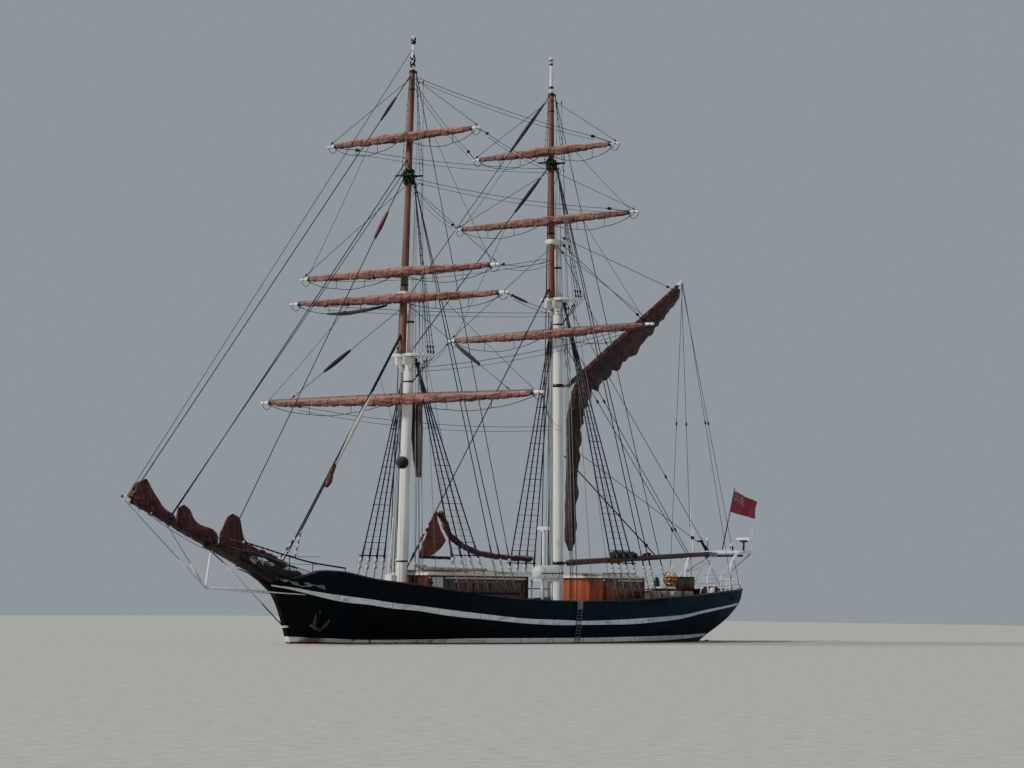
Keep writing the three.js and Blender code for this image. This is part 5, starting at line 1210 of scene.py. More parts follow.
def add_backbone():
    """Keel, sternpost, stem and the knee of the head in one thick profile."""
    piece = Piece("backbone")
    for paint, low, high in BACKBONE_BANDS:
        cut = clipped(BACKBONE_OUTER + BACKBONE_INNER, low, high)
        sides = [[Vector((x, y, z)) for x, z in cut] for y in (-BACKBONE_HALF, BACKBONE_HALF)]
        piece.loft(sides, paint, smooth=False)
    piece.done(slot="hull_paint")


def clipped(outline, low, high):
    """The part of an outline (x, z) between two heights."""
    for limit, way in ((low, 1), (high, -1)):
        made = []
        for (x0, z0), (x1, z1) in around(outline):
            inside0, inside1 = way * (z0 - limit) >= 0, way * (z1 - limit) >= 0
            if inside0:
                made.append((x0, z0))
            if inside0 != inside1:
                made.append((lerp(x0, x1, (limit - z0) / (z1 - z0)), limit))
        outline = made
    return outline


def add_side_stripe():
    """The raised white strake along the side, with its ends faired into the hull."""
    stripe = Piece("sheer_strake")
    xs = spread(SHEER_STRIPE[-1][0], SHEER_STRIPE[0][0], STRAKE_STEPS)
    for side in (1, -1):
        rings = []
        for i, x in enumerate(xs):
            top, low = sheer_stripe(x)
            proud = STRAKE_PROUD * min(1.0, 6 * min(i, STRAKE_STEPS - i) / STRAKE_STEPS + 0.2)
            shape = ((low, -0.004), (low + 0.006, proud), (top - 0.006, proud), (top, -0.004))
            rings.append([Vector((x, side * (half_width(x, z) + out), z)) for z, out in shape][::side])
        stripe.loft(rings, "stripe_paint", smooth=False)
    stripe.done(slot="white_paint")


def add_bulwark():
    """The inside of the bulwarks with their frames, and the rail cap."""
    inside, cap = Piece("bulwark_inside"), Piece("rail_cap")
    soft = 0.008
    for side in (1, -1):
        wall, rail = [], []
        for x in spread(STATIONS[0][0] + 0.03, STATIONS[-1][0], BULWARK_STEPS):
            row = station(x)
            thick = min(WALL, row[7] * 0.6)
            foot = max(deck_z(x) - PLANK, row[0])
            face = ((half_width(x, foot) - thick, foot), (row[7] - thick, row[8]))
            wall.append([Vector((x, side * max(y, 0.004), z)) for y, z in face][::-side])
            outer = row[7] + RAIL_OVERHANG
            inner = max(outer - RAIL_WIDTH, 0.005)
            low, high = row[8], row[8] + RAIL_THICKNESS
            shape = (
                (inner, low), (outer - soft, low), (outer, low + soft), (outer, high - soft),
                (outer - soft, high), (inner + soft, high), (inner, high - soft),
            )
            rail.append([Vector((x, side * y, z)) for y, z in shape][::side])
        inside.loft(wall, "bulwark_paint", closed=False)
        cap.loft(rail, "rail_grey")
    for k in range(FRAMES["count"]):
        x = FRAMES["first"] + FRAMES["apart"] * k
        foot, top = deck_z(x), station(x)[8] + 0.004
        low_y, high_y = half_width(x, foot) - WALL - 0.022, station(x)[7] - WALL - 0.022
        for side in (1, -1):
            low, high = (x, side * low_y, foot - 0.01), (x, side * high_y, top)
            inside.beam(low, high, 0.045, 0.040, "bulwark_paint", X_AXIS)
    inside.done(slot="white_paint", replaces=("bulwark",))
    cap.done(slot="varnished_spar")


def add_waterway():
    """The edge planks of the deck, open at the break of the quarterdeck."""
    piece = Piece("waterways")
    for side in (1, -1):
        for low, high, steps in WATERWAYS:
            rings = []
            for x in spread(low, high, steps):
                z = deck_z(x)
                y = half_width(x, z) - min(WALL, station(x)[5] * 0.5)
                shape = ((y + 0.01, -0.01), (y + 0.01, 0.022), (y - 0.085, 0.018), (y - 0.095, -0.01))
                rings.append([Vector((x, side * max(out, 0.001), z + up)) for out, up in shape][::-side])
            piece.loft(rings, "dark_wood", smooth=False)
    piece.done(slot="deck_planks")


def add_side_details():
    """Scuppers, ports and ring eyes on the side."""
    piece = Piece("side_fittings")
    for side in (1, -1):
        for x in SCUPPERS:
            z = deck_z(x) + 0.03
            y = side * half_width(x, z)
            low, high = (x - 0.04, y - 0.006, z - 0.012), (x + 0.04, y + 0.005, z + 0.012)
            piece.block(low, high, "hull_low", 0.003)
        for x, z in SIDE_PORTS:
            base = (x, side * (half_width(x, z) - 0.006), z)
            piece.turned(base, (0, side, 0), [(0, 0.034), (0.012, 0.034), (0.018, 0.022)], "hull_paint", 12)
        for x, z in SIDE_EYES:
            centre = (x, side * (half_width(x, z) + 0.004), z)
            piece.ring(centre, 0.048, 0.012, "dark_metal", Y_AXIS, steps=16)
    piece.done(slot="rigging")


def add_boarding_ladder():
    """Rope-and-slat ladder on the port side, hung from the rail to the water."""
    piece = Piece("boarding_ladder")
    x0, half = LADDER["x"], LADDER["half"]
    rail_y, top = station(x0)[7], station(x0)[8] + RAIL_THICKNESS
    heights = spread(LADDER["low"], top, 14)
    for x in (x0 - half, x0 + half):
        line = [(x, half_width(x, z) + 0.030, z) for z in heights]
        piece.tube(line + [(x, rail_y - 0.05, top + 0.012)], 0.007, "grey_rope", 5)
    low, high = x0 - half - 0.01, x0 + half + 0.01
    for z in heights[1:-1]:
        y = half_width(x0, z) + 0.038
        piece.block((low, y - 0.018, z - 0.006), (high, y + 0.018, z + 0.006), "grey_metal", 0.002)
    y = rail_y + RAIL_OVERHANG
    corner = (low - 0.01, y + 0.001, top - 0.19)
    piece.block(corner, (high + 0.01, y + 0.010, top - 0.01), "grey_metal", 0.003)
    piece.done(slot="rusty_iron")


def add_anchors():
    """Dull stocked-in anchors hanging low on each bow, with both flukes up and a shank to the hawse."""
    x0, z0 = ANCHOR["at"]
    for side, word in ((1, "port"), (-1, "starboard")):
        piece = Piece("anchor_" + word + "_skin")

        def beside(place, out=0.0):
            x, z = x0 + place[0], z0 + place[1]
            return Vector((x, side * (half_width(x, z) + 0.040 + out), z))

        low, high = (beside(place) for place in ANCHOR["crown"])
        crown = [low, low.lerp(high, 0.5) + Vector((0, side * 0.006, -0.012)), high]
        piece.tube(crown, [0.034, 0.040, 0.034], "old_iron", 10)
        shank = [beside((0.01, 0.0)), beside((0.03, 0.2), 0.004), beside(ANCHOR["hawse"])]
        piece.tube(shank, [0.026, 0.014, 0.014], "black_iron", 8)
        for root, tip in ANCHOR["flukes"]:
            a, b = beside(root), beside(tip, 0.012)
            belly = a.lerp(b, 0.45) + Vector(((b - a).normalized().x * 0.03, side * 0.008, 0))
            fluke = [a, a.lerp(belly, 0.6), belly, belly.lerp(b, 0.5), b]
            piece.tube(fluke, [0.034, 0.034, 0.042, 0.032, 0.008], "old_iron", 8)
        piece.ring(beside(ANCHOR["hawse"]), 0.030, 0.009, "old_iron", X_AXIS, steps=14)
        piece.done(slot="rusty_iron", replaces=("anchor_" + word,))


def add_head_scroll():
    """Carved scrollwork on the trailboards under the bowsprit."""
    piece = Piece("trailboard_scroll")
    steps = 25
    for side in (1, -1):

        def on_board(x, z):
            return Vector((x, side * (max(half_width(x, z), BACKBONE_HALF) + 0.006), z))

        for middle_x, middle_z, size, turns in SCROLLS:
            points = []
            for t in spread(0, 1, steps):
                a, r = t * turns * 2 * math.pi, size * (1 - t * 0.82)
                dx = r * math.cos(a) * 1.35
                points.append(on_board(middle_x + dx, middle_z + r * math.sin(a) * 0.62 + dx * 0.30))
            piece.tube(points, spread(0.010, 0.005, steps), "worn_gilt", 6)
        for start, end in zip(VINE, VINE[1:]):
            piece.wire(on_board(*start), on_board(*end), 0.009, "worn_gilt", 6)
    piece.done(slot="white_paint")


# Masts and tops.
def add_lower_mast(mast):
    """The white lower mast with its foot, bands and doubling, and the mast cap."""
    row = MASTS[mast]
    piece = Piece(mast + "_lower_mast_skin")
    foot, top, cap = row["foot"], row["top"], row["cap"]
    zs = spread(foot - 0.07, top, 18)
    radii = [mast_radius(mast, min(z, top)) for z in zs]
    piece.tube([mast_point(mast, z) for z in zs], radii, "white_spar", 28)
    piece.wire(mast_point(mast, top - 0.03), mast_point(mast, cap), LOWER_RADIUS[2], "white_spar", 24)
    collar = [(0, 0.185), (0.05, 0.185), (0.07, 0.165), (0.10, 0.135), (0.12, 0.124)]
    piece.turned((mast_x(mast, foot), 0, foot - 0.02), Z_AXIS, collar, "white_paint", 28)
    for z in (foot + 1.12, top - 0.55):
        piece.band(mast_point(mast, z - 0.02), Z_AXIS, mast_radius(mast, z), 0.040, 0.007, 28, 0.004)
    piece.band(mast_point(mast, top + 0.75), Z_AXIS, LOWER_RADIUS[2], 0.046, 0.008, 24, 0.004)
    x, half = mast_x(mast, cap), CAP_SIZE["half"]
    low = (x + CAP_SIZE["aft"], -half, cap - CAP_SIZE["thickness"])
    piece.block(low, (x + CAP_SIZE["fore"], half, cap), "white_paint", 0.03)
    x = mast_x(mast, top)
    for y in (0.115, -0.115):
        aft, fore = (x - 0.12, y, top - 0.10), (x + 0.30, y, top - 0.10)
        piece.beam(aft, fore, 0.05, 0.16, "white_paint", bevel=0.01)
        piece.tube([(x + 0.20, y, top - 0.14), (x + 0.09, y, top - 0.34)], [0.04, 0.022], "white_paint", 8)
    for yard in yards_on(mast, False):
        add_truss_bracket(piece, yard)
    if mast == "main":
        add_gooseneck(piece, GAFF)
        add_gooseneck(piece, BOOM)
    piece.done(slot="white_paint", replaces=(mast + "_lower_mast",))


def yards_on(mast, on_topmast):
    return [name for name, row in YARDS.items() if row[0] == mast and row[1] == on_topmast]


def yard_place(name):
    """The x of the pin that a yard turns on and of its own middle, and its height."""
    mast, on_topmast, _, _, z = YARDS[name][:5]
    axis, radius = mast_at(mast, z, on_topmast)
    pin_x = axis + radius + PIN_AHEAD
    return pin_x, pin_x + YARD_AHEAD[on_topmast], z


def add_truss_bracket(piece, name):
    """The iron under a yard's arm, banded round the mast."""
    mast, on_topmast = YARDS[name][:2]
    pin_x, _, z = yard_place(name)
    axis, radius = mast_at(mast, z, on_topmast)
    piece.block((axis, -0.040, z - 0.037), (pin_x + 0.040, 0.040, z - 0.0135), "black_paint")
    piece.band((axis, 0, z - 0.045), Z_AXIS, radius, 0.040, 0.009, 24)
    piece.wire((pin_x, 0, z - 0.05), (pin_x, 0, z - 0.0135), 0.016, "dark_metal", 12)


def add_gooseneck(piece, spar):
    """The iron under the eye of the gaff or the boom, banded round the mast."""
    z = spar["inner"][1]
    axis, radius = mast_at("main", z)
    piece.block((pin_of(spar) - 0.040, -0.040, z - 0.045), (axis, 0.040, z - 0.0155), "black_paint")
    piece.band((axis, 0, z - 0.055), Z_AXIS, radius, 0.080, 0.009, 24)


def add_spar_eye(piece, spar):
    """The flat iron eye at the inner end of the gaff or the boom."""
    x, z = spar["inner"]
    piece.block((x - 0.10, -0.036, z - 0.0145), (pin_of(spar) + 0.028, 0.036, z + 0.0145), "black_paint")


def add_top(mast):
    """The platform with its slats and the battens round its edge."""
    piece = Piece(mast + "_top_skin")
    z, half = MASTS[mast]["top"], TOP_PLATFORM["half"]
    x = mast_x(mast, z)
    aft, fore = x + TOP_PLATFORM["aft"], x + TOP_PLATFORM["fore"]
    port = [(fore, half - 0.21), (fore - 0.18, half), (aft, half)]
    outline = [(px, -py) for px, py in port[::-1]] + port
    heights = (z + 0.004, z + TOP_PLATFORM["thickness"])
    rings = [[Vector((*place, height)) for place in outline] for height in heights]
    piece.loft(rings, "white_paint", smooth=False)
    for y in spread(-half + 0.05, half - 0.05, 8):
        if abs(y) > 0.12:
            low, high = (aft + 0.02, y - 0.018, z + 0.05), (fore - 0.05, y + 0.018, z + 0.056)
            piece.block(low, high, "teak", 0.002)
    for a, b in around(outline):
        piece.beam((*a, z + 0.04), (*b, z + 0.04), 0.022, 0.036, "white_paint")
    piece.done(slot="white_paint", replaces=(mast + "_top",))


def add_topmast(mast):
    """The varnished topmast with its crosstrees and irons, the white pole and its truck."""
    row = MASTS[mast]
    piece = Piece(mast + "_topmast_skin")
    cross, head, truck = row["cross"], row["head"], row["truck"]
    zs = spread(row["top"] + 0.052, head, 24)
    radii = [topmast_radius(mast, z) for z in zs]
    piece.tube([mast_point(mast, z, True) for z in zs], radii, "spar_varnish", 24)
    zs = spread(head - 0.02, truck, 6)
    piece.tube([mast_point(mast, z, True) for z in zs], spread(*POLE_RADIUS, 6), "white_spar", 16)
    button = [(0, 0.026), (0.004, 0.046), (0.025, 0.048), (0.05, 0.040), (0.055, 0.01)]
    piece.turned((topmast_x(mast, truck), 0, truck - 0.03), Z_AXIS, button, "white_paint", 16)
    for z, radius in ((head - 0.06, 0.062), (head + 0.10, 0.046), (truck - 0.17, 0.030)):
        piece.band(mast_point(mast, z, True), Z_AXIS, radius, 0.054, 0.012, 18, 0.004)
    x, half = topmast_x(mast, cross), CROSSTREES["half"] - 0.05
    aft, fore = x + CROSSTREES["aft"], x + CROSSTREES["fore"]
    for end in (aft, fore):
        piece.beam((end, -half, cross), (end, half, cross), 0.050, 0.040, "black_paint", bevel=0.008)
    for y in (-0.07, 0.07):
        piece.beam((aft - 0.012, y, cross), (fore + 0.012, y, cross), 0.024, 0.060, "black_paint")
    for low, high, size, count in MAST_LUMPS[mast]:
        for k, z in enumerate(spread(low + size, high - size, count - 1)):
            out = (topmast_radius(mast, z) if z < head else POLE_RADIUS[1]) + size * 0.45
            centre = mast_point(mast, z, True, out * math.cos(k * 2.4), out * math.sin(k * 2.4))
            piece.ball(centre, size, "black_paint", (1, 1, 1.3), 8)
    for z in (row["cap"] + 0.12, head - 0.45):
        piece.band(mast_point(mast, z, True), Z_AXIS, topmast_radius(mast, z), 0.040, 0.008, 20)
    for yard in yards_on(mast, True):
        add_truss_bracket(piece, yard)
    piece.done(slot="varnished_spar", replaces=(mast + "_topmast",))


# Yards and furled square sails.
def yard_point(name, along, ahead=0.0, up=0.0):
    """A point by a yard: metres to port along it, and ahead of and above its middle line."""
    pin_x, x, z = yard_place(name)
    turn = math.radians(YARDS[name][3])
    dx = x - pin_x + ahead
    return Vector((
        pin_x + dx * math.cos(turn) - along * math.sin(turn),
        dx * math.sin(turn) + along * math.cos(turn),
        z + up,
    ))


def yard_radius(name, along):
    half = YARDS[name][2] / 2
    return lerp(YARDS[name][5], YARDS[name][6], abs(along) / half)


def add_yard(name):
    """A yard with its arm, white yardarms, bands and jackstay."""
    half, white = YARDS[name][2] / 2, YARDARM_WHITE
    piece = Piece(name + "_yard_skin")
    for low, high, steps, paint in (
        (-half, -half + white, 4, "white_spar"), (-half + white, half - white, 28, "yard_varnish"),
        (half - white, half, 4, "white_spar"),
    ):
        marks = spread(low, high, steps)
        taper = [lerp(1.0, YARDARM_TAPER, max(0.0, 1 - (half - abs(along)) / white)) for along in marks]
        radii = [yard_radius(name, along) * share for along, share in zip(marks, taper)]
        piece.tube([yard_point(name, along) for along in marks], radii, paint, 18)
    way = (yard_point(name, 1) - yard_point(name, 0)).normalized()
    for side in (1, -1):
        for back in YARDARM_IRONS:
            centre = yard_point(name, side * (half - back), 0.01, -0.01)
            piece.ball(centre, yard_radius(name, half) + 0.022, "black_paint", (0.8, 0.6, 1.0), 8)
        along = side * (half - 0.10)
        piece.band(yard_point(name, along - 0.011), way, yard_radius(name, along) * 0.8, 0.022, 0.006)
        tip = YARDS[name][6] * YARDARM_TAPER * 0.98
        piece.ball(yard_point(name, side * half), tip, "white_spar", (0.6, 0.35, 0.95), 12)
    pin_x, x, z = yard_place(name)
    turn = Quaternion(Z_AXIS, math.radians(YARDS[name][3]))
    low, high = (pin_x - 0.028, -0.028, z - 0.0125), (x, 0.028, z + 0.0125)
    piece.block(low, high, "black_paint", 0.004, turn, (pin_x, 0, z))
    for along in (-0.16, 0.16):
        piece.band(yard_point(name, along - 0.02), way, yard_radius(name, along), 0.040, 0.007)
    marks = spread(-half + 0.25, half - 0.25, 24)
    rail = [yard_point(name, along, 0.0, yard_radius(name, along) + 0.012) for along in marks]
    piece.tube(rail, 0.006, "dark_metal", 5)
    piece.done(name, "varnished_spar", (name + "_yard",))


def furl_reach(name):
    """How far out on each side the furled sail of a yard goes."""
    return YARDS[name][2] / 2 - FURL["short"]


def furl_full(t):
    """How full the furled bundle is at t, from -1 to 1 along it."""
    edge = min(1.0, (1 - abs(t)) / 0.10)
    return (1 - (1 - FURL["tip_share"]) * abs(t) ** 1.25) * (0.42 + 0.58 * math.sin(edge * math.pi / 2))


def gasket_marks(name, rng):
    reach = furl_reach(name)
    count = int(2 * reach / GASKET_SPACING)
    shares = [(k + 0.5 + rng.uniform(-0.32, 0.32)) / count for k in range(count)]
    return [lerp(-reach + 0.06, reach - 0.06, share) for share in shares]


def pinch(s, marks):
    """How far a gasket near s pulls the cloth in."""
    nearest = min(abs(s - mark) for mark in marks)
    return math.exp(-(nearest / 0.030) ** 2)


def bundle_ring(name, s, marks, seed, sides, swell=1.0):
    """One ring of the furled bundle of a yard's sail."""
    full = furl_full(s / furl_reach(name))
    tight = pinch(s, marks)
    sag = 0.012 * (1 - tight) * (1 + noise.noise(Vector((s * 2.1, seed, 3.0))))
    ring = []
    for k, (c, u) in enumerate(circle(sides)):
        a = 2 * math.pi * k / sides
        wander = noise.noise(Vector((s * 1.7, seed * 7.3, c))) * 1.6
        folds = math.sin(3 * a + s * 5 + wander * 3 + seed) * 0.090
        folds += math.sin(8 * a - s * 11 + wander * 5) * 0.045
        rough = noise.noise(Vector((s * 3.2 + seed, 2.2 * c, 2.2 * u))) * 0.30
        fine = noise.noise(Vector((s * 14, seed + 5.0 * c, 5.0 * u))) * 0.11
        m = (1.0 + folds + rough + fine) * (1 - 0.09 * tight) * swell
        ahead = (FURL["ahead"] + FURL["half_depth"] * m * c) * full
        up = (YARDS[name][7] + FURL["half_height"] * m * u) * full - (sag if u < 0 else 0)
        ring.append(yard_point(name, s, ahead, up))
    return ring


def add_furled_sail(name, seed):
    """A square sail rolled up along its yard, pinched by its gaskets."""
    marks = gasket_marks(name, random.Random(seed))
    reach = furl_reach(name)
    steps = int(2 * reach / 0.022)
    cloth, ties = Piece(name + "_furled_sail"), Piece(name + "_gaskets")
    cloth.loft([bundle_ring(name, s, marks, seed, 26) for s in spread(-reach, reach, steps)], "sail_canvas")
    cloth.done(name, "sail_canvas", (name + "_sail",))
    for mark in marks:
        ring = bundle_ring(name, mark, marks, seed, 20, 1.05)
        r = yard_radius(name, mark) + 0.004
        over = [yard_point(name, mark, -r * math.sin(a), r * math.cos(a)) for a in spread(0, math.pi, 8)]
        for line in (ring + [ring[0]], over):
            ties.tube(line, 0.0060, "dark_rope", 5)
    ties.done(name, "sail_canvas")


def add_footropes(name):
    """Footropes under a yard with their stirrups, and a small loop beyond each end."""
    half = YARDS[name][2] / 2
    piece = Piece(name + "_footropes")
    drop = 0.30 if half > 3 else 0.26
    for side in (1, -1):
        marks = spread(side * 0.14, side * (half - 0.20), 3)
        hangs = (0.06, drop, drop, 0.05)
        ends = [yard_point(name, along, -0.04, -hang) for along, hang in zip(marks, hangs)]
        for a, b in zip(ends, ends[1:]):
            piece.tube(sagging(a, b, 0.045, 8), 0.0095, "wire", 5)
        for along in marks[1:3]:
            piece.wire(yard_point(name, along, -0.03, -0.02), yard_point(name, along, -0.04, -drop), 0.0070)
        a = yard_point(name, side * (half - 0.30), -0.02, -0.04)
        piece.tube(sagging(a, yard_point(name, side * half, -0.02, -0.02), 0.13, 8), 0.0085, "wire", 5)
    if name in FOOTROPE_SLEEVES:
        start, end, radius = FOOTROPE_SLEEVES[name]
        a, b = yard_point(name, start, -0.04, -0.14), yard_point(name, end, -0.04, -drop)
        sleeve(piece, sagging(a, b, 0.045, 10), radius)
    piece.done(name, "rigging")


# Gaff, boom and the fore-and-aft sails.
def spar_point(spar, t, up=0.0):
    (x0, z0), (x1, z1) = spar["inner"], spar["outer"]
    return Vector((lerp(x0, x1, t), 0, lerp(z0, z1, t) + up))


def spar_radius(spar, t):
    return lerp(*spar["radii"], t)


def add_spar(piece, spar, marks, paint, sides):
    """The round of the gaff or the boom at those shares of its length."""
    piece.tube([spar_point(spar, t) for t in marks], [spar_radius(spar, t) for t in marks], paint, sides)


def add_gaff():
    """The gaff with its eye, bands and white tip."""
    piece = Piece("gaff_skin")
    add_spar(piece, GAFF, spread(0, 0.95, 19), "boom_varnish", 16)
    add_spar(piece, GAFF, (0.95, 1.0), "white_spar", 16)
    add_spar_eye(piece, GAFF)
    along = spar_point(GAFF, 1) - spar_point(GAFF, 0)
    for t in (0.05, 0.33, 0.62, 0.93):
        piece.band(spar_point(GAFF, t), along, spar_radius(GAFF, t), 0.040, 0.007, 16)
    piece.done("gaff_rig", "varnished_spar", ("gaff",))


def pin_of(spar):
    z = spar["inner"][1]
    return mast_x("main", z) - mast_radius("main", z) - PIN_BEHIND


def add_boom():
    """The boom with its eye, bands, white end, lashings and leather, and a black roll lashed on it."""
    piece = Piece("boom_skin")
    add_spar(piece, BOOM, spread(0, 1, 24), "boom_varnish", 18)
    add_spar_eye(piece, BOOM)
    for t in (0.03, 0.25, 0.5, 0.75, 0.93):
        piece.band(spar_point(BOOM, t), -X_AXIS, spar_radius(BOOM, t), 0.040, 0.007)
    r = BOOM["radii"][1]
    end = [(-0.05, r + 0.004), (0.0, r + 0.004), (0.006, r * 0.7)]
    piece.turned(spar_point(BOOM, 1), -X_AXIS, end, "white_spar", 18)
    for t in (0.945, 0.957, 0.969, 0.981):
        piece.ring(spar_point(BOOM, t), spar_radius(BOOM, t) + 0.004, 0.012, "white_cord", X_AXIS, 6, 18)
    pad = [spar_point(BOOM, t, 0.085) for t in (0.494, 0.510, 0.535, 0.548)]
    piece.tube(pad, [0.02, 0.042, 0.045, 0.018], "leather", 10)
    piece.done("boom", "varnished_spar", ("spanker_boom",))
    add_cloth_roll("boom_roll", BOOM_ROLL, "black_canvas", "boom")


def add_cloth_roll(name, row, paint, body):
    """A roll of cloth along a line over the middle of the ship, pinched by its ties."""
    table = smooth_table([(float(i), x, z) for i, (x, z) in enumerate(row["path"])])
    last = len(row["path"]) - 1
    steps = 36 * max(1, last // 2)
    sides = 20
    rings = []
    for i, s in enumerate(spread(0, last, steps)):
        x, z = table(s)
        ahead = (Vector(table(min(s + 0.02, last))) - Vector(table(max(s - 0.02, 0)))).normalized()
        end = min(1.0, min(i, steps - i) / 3 + 0.5)
        tight = max(math.exp(-((s / last - mark) * 55 / last) ** 2) for mark in row["ties"])
        ring = []
        for k, (c, u) in enumerate(circle(sides)):
            r = row["radius"] * end * (1 - 0.20 * tight)
            r *= 1 + 0.07 * math.sin(6 * math.pi * k / sides + s * 9)
            r *= 1 + 0.22 * noise.noise(Vector((s * 5, c * 1.6, u * 1.6)))
            ring.append(Vector((x - ahead.y * r * u, r * c * 1.1, z + ahead.x * r * u)))
        rings.append(ring)
    roll = Piece(name)
    roll.loft(rings, paint)
    roll.done(body, "sail_canvas")


def outline_span(outline, z):
    """The aft and the fore x of an upright outline (x, z) at height z."""
    crossings = []
    for (x0, z0), (x1, z1) in around(outline):
        if (z0 - z) * (z1 - z) < 0:
            crossings.append(lerp(x0, x1, (z - z0) / (z1 - z0)))
    return min(crossings), max(crossings)


def add_spanker_sail():
    """The brailed-in sail: a hanging bundle under the gaff, and a scalloped column down the mast."""
    sides, steps = 30, 330
    path = smooth_table([(float(i), *row) for i, row in enumerate(SPANKER_SPINE)])
    last = len(SPANKER_SPINE) - 1
    rings = []
    for i, s in enumerate(spread(0, last, steps)):
        x, z, depth, width = path(s)
        ahead = (Vector(path(min(s + 0.02, last))[:2]) - Vector(path(max(s - 0.02, 0))[:2])).normalized()
        scallop = 1 + 0.16 * math.sin(s * 9.5) * (1 if s > 3.2 else 0.5)
        scallop += 0.30 * noise.noise(Vector((s * 4.0, 8.1, 0.4)))
        ends = min(1.0, 0.35 + min(i, steps - i) / 10)
        ring = []
        for k, (c, u) in enumerate(circle(sides)):
            a = 2 * math.pi * k / sides
            folds = 0.11 * math.sin(5 * a + s * 1.5) + 0.06 * math.sin(11 * a - s * 2.2)
            folds += 0.16 * noise.noise(Vector((s * 3.5, 2.6 * c, 2.6 * u)))
            m = (1 + folds) * ends
            out = depth * m * c * (scallop if c > 0 else 1)
            ring.append(Vector((x + ahead.y * out, width * m * u, z - ahead.x * out)))
        rings.append(ring)
    cloth = Piece("spanker_bundle")
    cloth.loft(rings, "dark_canvas")
    cloth.done("gaff_rig", "sail_canvas", ("spanker_sail",))
    add_brails(rings, [path(s)[1] for s in spread(0, last, steps)])


def add_brails(rings, heights):
    """The brails round the column of the sail, and the lacing and rope of its head on the gaff."""
    ties = Piece("spanker_brails")
    column = range(len(rings) * 9 // 20 + 1, len(rings))
    for z in SPANKER_TIES:
        ring = rings[min(column, key=lambda i: abs(heights[i] - z))]
        middle = sum(ring, Vector()) / len(ring)
        line = [middle + (p - middle) * 1.03 for p in ring]
        ties.tube(line + line[:1], 0.007, "black_paint", 5)
    along = spar_point(GAFF, 1) - spar_point(GAFF, 0)
    for k in range(15):
        t = 0.05 + 0.062 * k
        ties.ring(spar_point(GAFF, t), spar_radius(GAFF, t) + 0.005, 0.005, "cream_rope", along, 5, 14)
    marks = spread(0, 1, 20)
    head = [spar_point(GAFF, 0.04 + 0.91 * t) - Vector((0.022, 0, 0.052 - 0.018 * t)) for t in marks]
    ties.tube(head, 0.012, "cream_rope", 6)
    ties.done("gaff_rig", "sail_canvas")


def add_upright_cloth(name, outline, half, seed, body, node, paint):
    """A stowed fore-and-aft sail: upright folds of cloth within a side outline."""
    zs = sorted(z for _, z in outline)
    rings = []
    for z in spread(zs[0] + 0.004, zs[-1] - 0.004, 90):
        aft, fore = outline_span(outline, z)
        middle, reach = (aft + fore) / 2, (fore - aft) / 2
        ring = []
        for c, s in circle(34):
            rough = 0.97 + 0.06 * noise.noise(Vector((z * 7, seed, c)))
            x = middle + reach * math.copysign(abs(c) ** 0.8, c) * rough
            folds = 0.30 * math.sin(x * 17 + z * 2.5 + seed)
            folds += 0.55 * noise.noise(Vector((x * 5, z * 2.4, seed)))
            thick = half * (0.72 + 0.28 * folds) * min(1.0, reach / half * 1.6)
            out = thick * math.copysign(abs(s) ** 0.7, s) + 0.12 * half * folds * s * s
            ring.append(Vector((x, out, z)))
        rings.append(ring)
    cloth = Piece(name)
    cloth.loft(rings, paint)
    cloth.done(body, "sail_canvas", (node,))


# Bowsprit, jib boom and headsails.
def add_bowsprit():
    """The bowsprit and the jib boom beyond it, with their bands and irons."""
    (heel_x, heel_z), (cap_x, _), (tip_x, tip_z) = SPRIT["heel"], SPRIT["cap"], SPRIT["tip"]
    along = Vector((tip_x - heel_x, 0, tip_z - heel_z))
    piece, boom = Piece("bowsprit_skin"), Piece("jib_boom_skin")
    heel, r, boom_radius, tip = (SPRIT_RADIUS[key] for key in ("heel", "cap", "boom", "tip"))
    piece.tube([sprit_point(x) for x in spread(heel_x, cap_x, 12)], spread(heel, r, 12), "dark_wood", 22)
    cap_band = [(0, r), (0.004, r + 0.022), (0.088, r + 0.022), (0.096, r)]
    piece.turned(sprit_point(cap_x - 0.09), along, cap_band, "black_paint", 22)
    for x in (7.6, 8.5):
        hoop = [(0, 0.105), (0.004, 0.116), (0.04, 0.116), (0.044, 0.104)]
        piece.turned(sprit_point(x), along, hoop, "black_paint", 22)
    piece.done(slot="varnished_spar", replaces=("bowsprit",))
    marks = spread(cap_x + 0.001, tip_x, 12)
    boom.tube([sprit_point(x) for x in marks], spread(boom_radius, tip, 12), "dark_wood", 18)
    end = [(0, tip), (0.003, tip + 0.009), (0.19, tip + 0.007), (0.20, tip * 0.6)]
    boom.turned(sprit_point(tip_x - 0.19), along, end, "white_spar", 18)
    boom.band(sprit_point(tip_x - 0.28), along, tip, 0.043, 0.012)
    boom.done(slot="varnished_spar", replaces=("jib_boom",))


def add_striker():
    """The white strut under the bowsprit's cap."""
    (x0, _), (x1, z1) = STRIKER["top"], STRIKER["foot"]
    piece = Piece("dolphin_striker_skin")
    r = STRIKER["radius"]
    top = sprit_point(x0, 0.01 - SPRIT_RADIUS["cap"])
    piece.tube(straight(top, (x1, 0, z1), 8), spread(r, r * 0.72, 8), "white_spar", 14)
    foot = [(0, 0.012), (0.01, 0.030), (0.045, 0.030), (0.055, 0.02)]
    piece.turned((x1, 0, z1 - 0.005), Z_AXIS, foot, "cream_paint", 12)
    piece.done(slot="white_paint", replaces=("dolphin_striker",))


